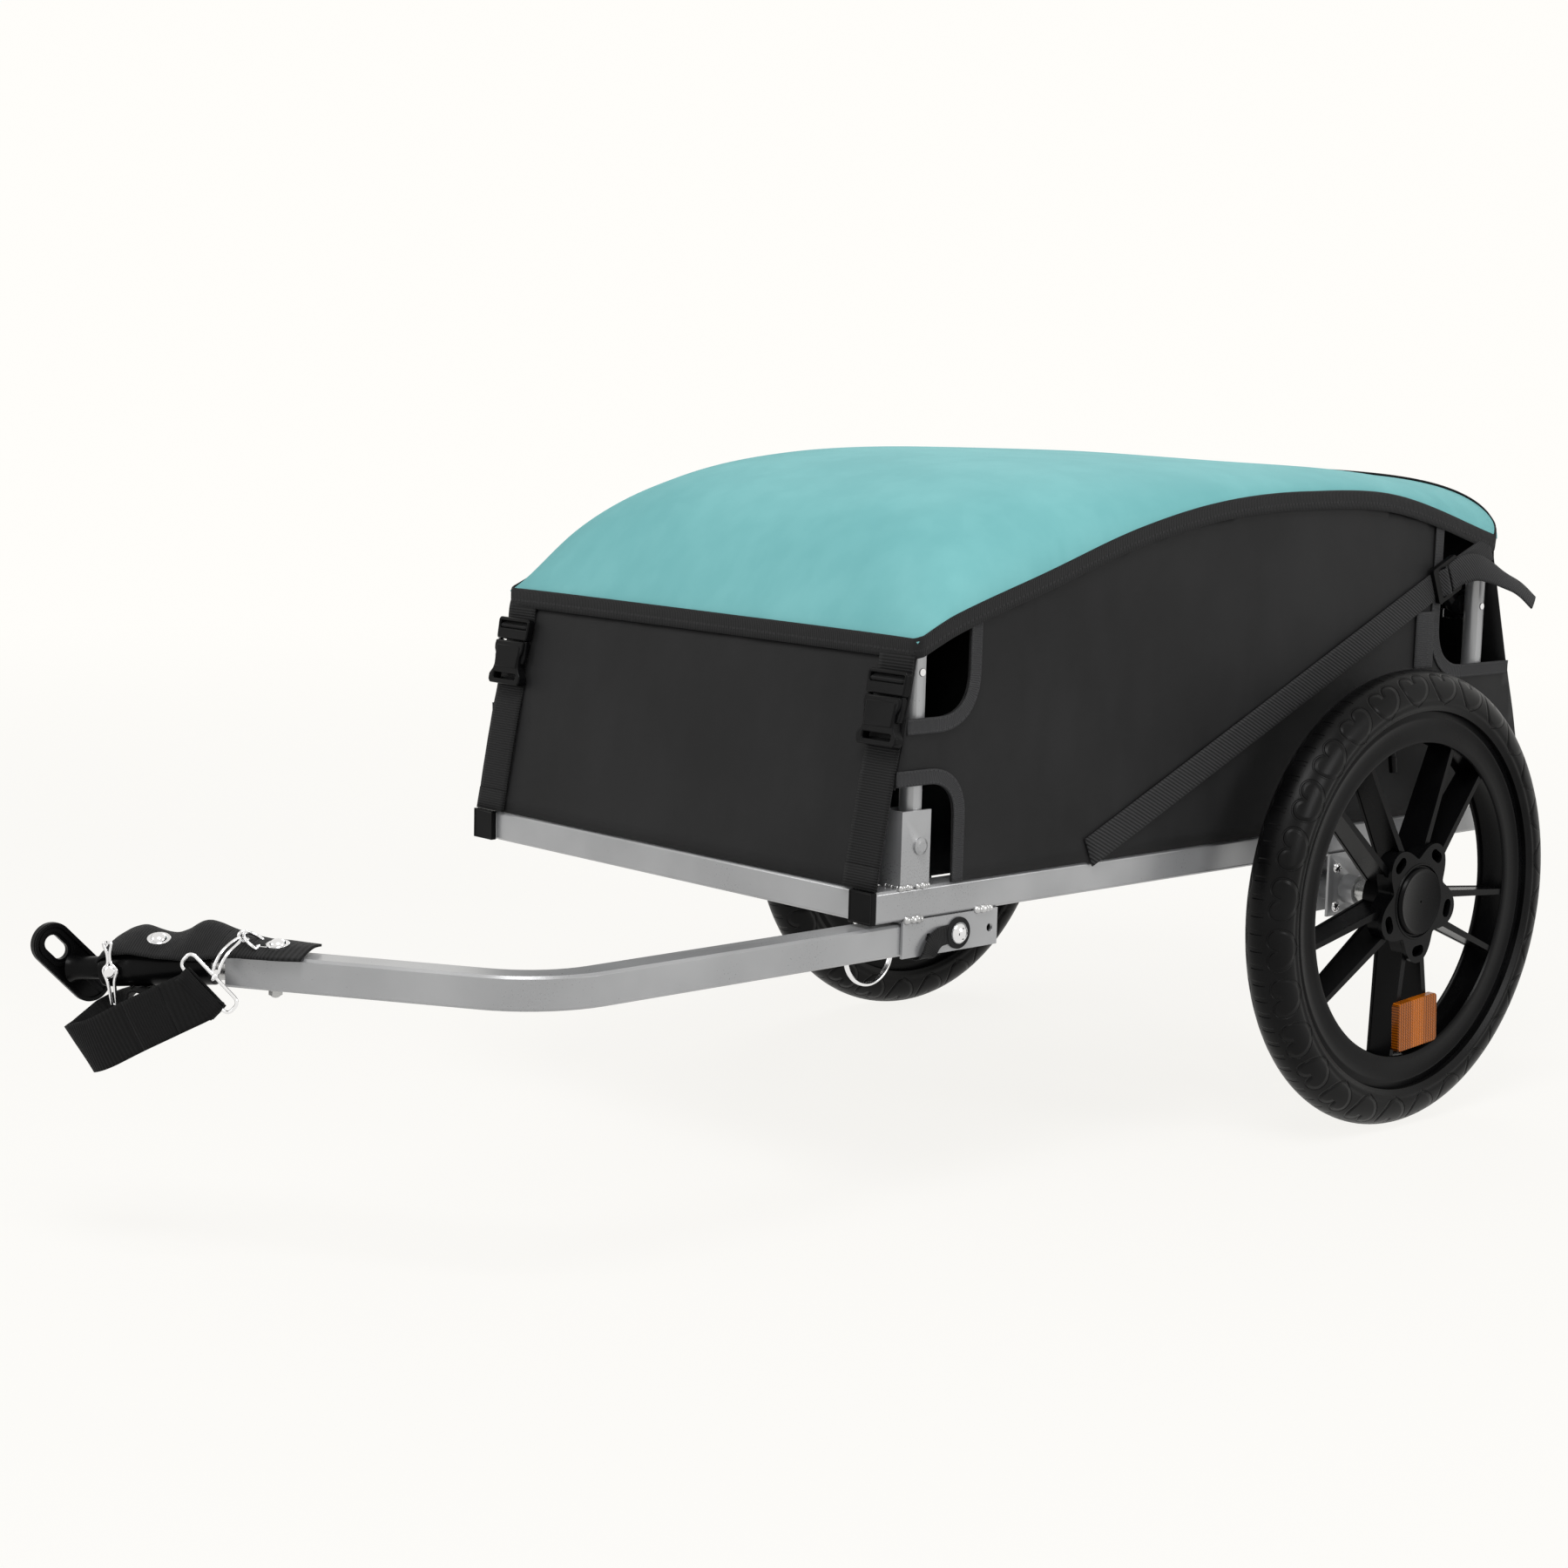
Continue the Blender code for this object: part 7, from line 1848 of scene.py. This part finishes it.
for i, point in enumerate(hook_line):
    t = i / (len(hook_line) - 1)
    run = (hook_line[min(i + 1, len(hook_line) - 1)] - hook_line[max(i - 1, 0)]).normalized()
    half_gap = 0.0024 * math.sqrt(1 - (2 * t - 1) ** 8)
    spread = run.cross(HITCH_SIDE * 0.8 + up * 0.6).normalized() * half_gap
    rails[0].append(point + spread)
    rails[1].append(point - spread)
wire_into(bm, rails[0] + rails[1][::-1], 0.0012, True, 4)
swivel = LOOP_CENTRE - loop_short * 0.0086
wire_into(bm, circle_points(swivel, loop_long, 0.0025, 20), 0.0011, True, 4)
add_rod(bm, swivel, hook_line[3], 0.0026, 20, 0.0020)
catch = circle_points(RING_CATCH, HITCH_SIDE * 0.79 - ARM_FORWARD * 0.5, 0.0036, 24, 2.0, 5.0)
wire_into(bm, catch, 0.0013, False, 4)
settle("snap_hook_wires", bm, bright_wire, "d_ring", ("snap_hook",), smooth=60)
bm = bmesh.new()
tab = hitch_point(-0.0285, 0, 0.0170)
tab_turn = Matrix((ARM_FORWARD, HITCH_SIDE, up)).transposed().to_4x4()
made = add_box(bm, (0.0150, 0.0110, 0.0010))
bmesh.ops.transform(bm, matrix=Matrix.Translation(tab) @ tab_turn, verts=made)
roll = hitch_point(-0.0212, 0, 0.0160)
add_rod(bm, roll - HITCH_SIDE * 0.0048, roll + HITCH_SIDE * 0.0048, 0.0022, 20)
settle("d_ring_tab", bm, bright_wire, "tow_arm", slot="zinc_plate", smooth=40, bevel=0.0003)
print("D-ring, tab and hook")


# %% Hanging strap
HANGING_KNOTS = (
    (0.032, 0.035, -0.0265), (0.060, 0.0355, -0.0412), (0.087, 0.0325, -0.0560), (0.1030, 0.028, -0.0620),
    (0.1075, 0.020, -0.0628), (0.1040, 0.011, -0.0583), (0.0940, 0.004, -0.0450),
)
HANGING_CROWN = -0.0008
tilted = ARM_FORWARD * 0.60 + up * 0.80
swung = ARM_FORWARD * 0.75 + up * 0.55 - HITCH_SIDE * 0.35
knots = [LOOP_CENTRE + loop_short * 0.0055, LOOP_CENTRE + loop_short * 0.011]
knots += [hitch_point(*knot) for knot in HANGING_KNOTS]
for back_by, below in ((0.024, 0.0154), (0.038, 0.0148)):
    knots.append(HOUSING_FRONT - HITCH_FORWARD * back_by - HITCH_UP * below)
widths = [loop_long] * 3 + [(loop_long + tilted) / 2] + [tilted] * 4 + [swung] + [HITCH_SIDE * -1] * 2
points = smooth_line(knots, 8)
spans = spans_between(widths, points, 8)
HANGING_PARTS = (
    ("hanging_webbing_top", 0, 16, "d_ring", "tow_arm", 0.0120, 0.0240),
    ("hanging_webbing_bend", 16, 24, "tow_arm", "coupling", 0.0320, 0.0560),
    ("hanging_webbing_front", 24, 48, "coupling", "hitch", 0.0640, 0.0900),
)


def hanging_piece(name, first, last, body, nodes=()):
    part, across = points[first:last + 1], spans[first:last + 1]
    return webbing(
        name, part, across, STRAP_WIDTH, HANGING_CROWN, dense_webbing, body, STRAP_THICK, nodes,
        "black_webbing", 12,
    )


for name, first, last, from_body, to_body, ahead_from, ahead_to in HANGING_PARTS:
    bends_between(hanging_piece(name, first, last, None), from_body, to_body, ahead_from, ahead_to)
hanging_piece("hanging_webbing", 48, len(points) - 1, "hitch", ("loop_strap",))
for hand, hem_name in ((1, "hanging_hem_outer"), (-1, "hanging_hem_inner")):
    hem = []
    for down, out in ((0.0160, 0.0015), (0.0090, 0.0026), (0.0052, 0.0030), (0.0020, 0.0022)):
        hem.append(LOOP_CENTRE + loop_short * down + HITCH_SIDE * (out * hand))
    hem = smooth_line(hem, 5)
    across = [loop_long] * len(hem)
    webbing(hem_name, hem, across, STRAP_WIDTH, 0.0, dense_webbing, "d_ring", 0.0014, (), "black_webbing")
print("hanging strap of", round(path_length(points), 3), "m")


# %% [markdown]
# ## Finish
# The last call takes the box round every shown piece, and writes it with the CAD box to extents.json.

# %% Finish
scene_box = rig.bounds()
with open("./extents.json", "w") as out:
    json.dump({"cad": [list(c) for c in cad_box], "scene": [list(c) for c in scene_box]}, out)
print("scene box", [[round(v, 4) for v in corner] for corner in scene_box])
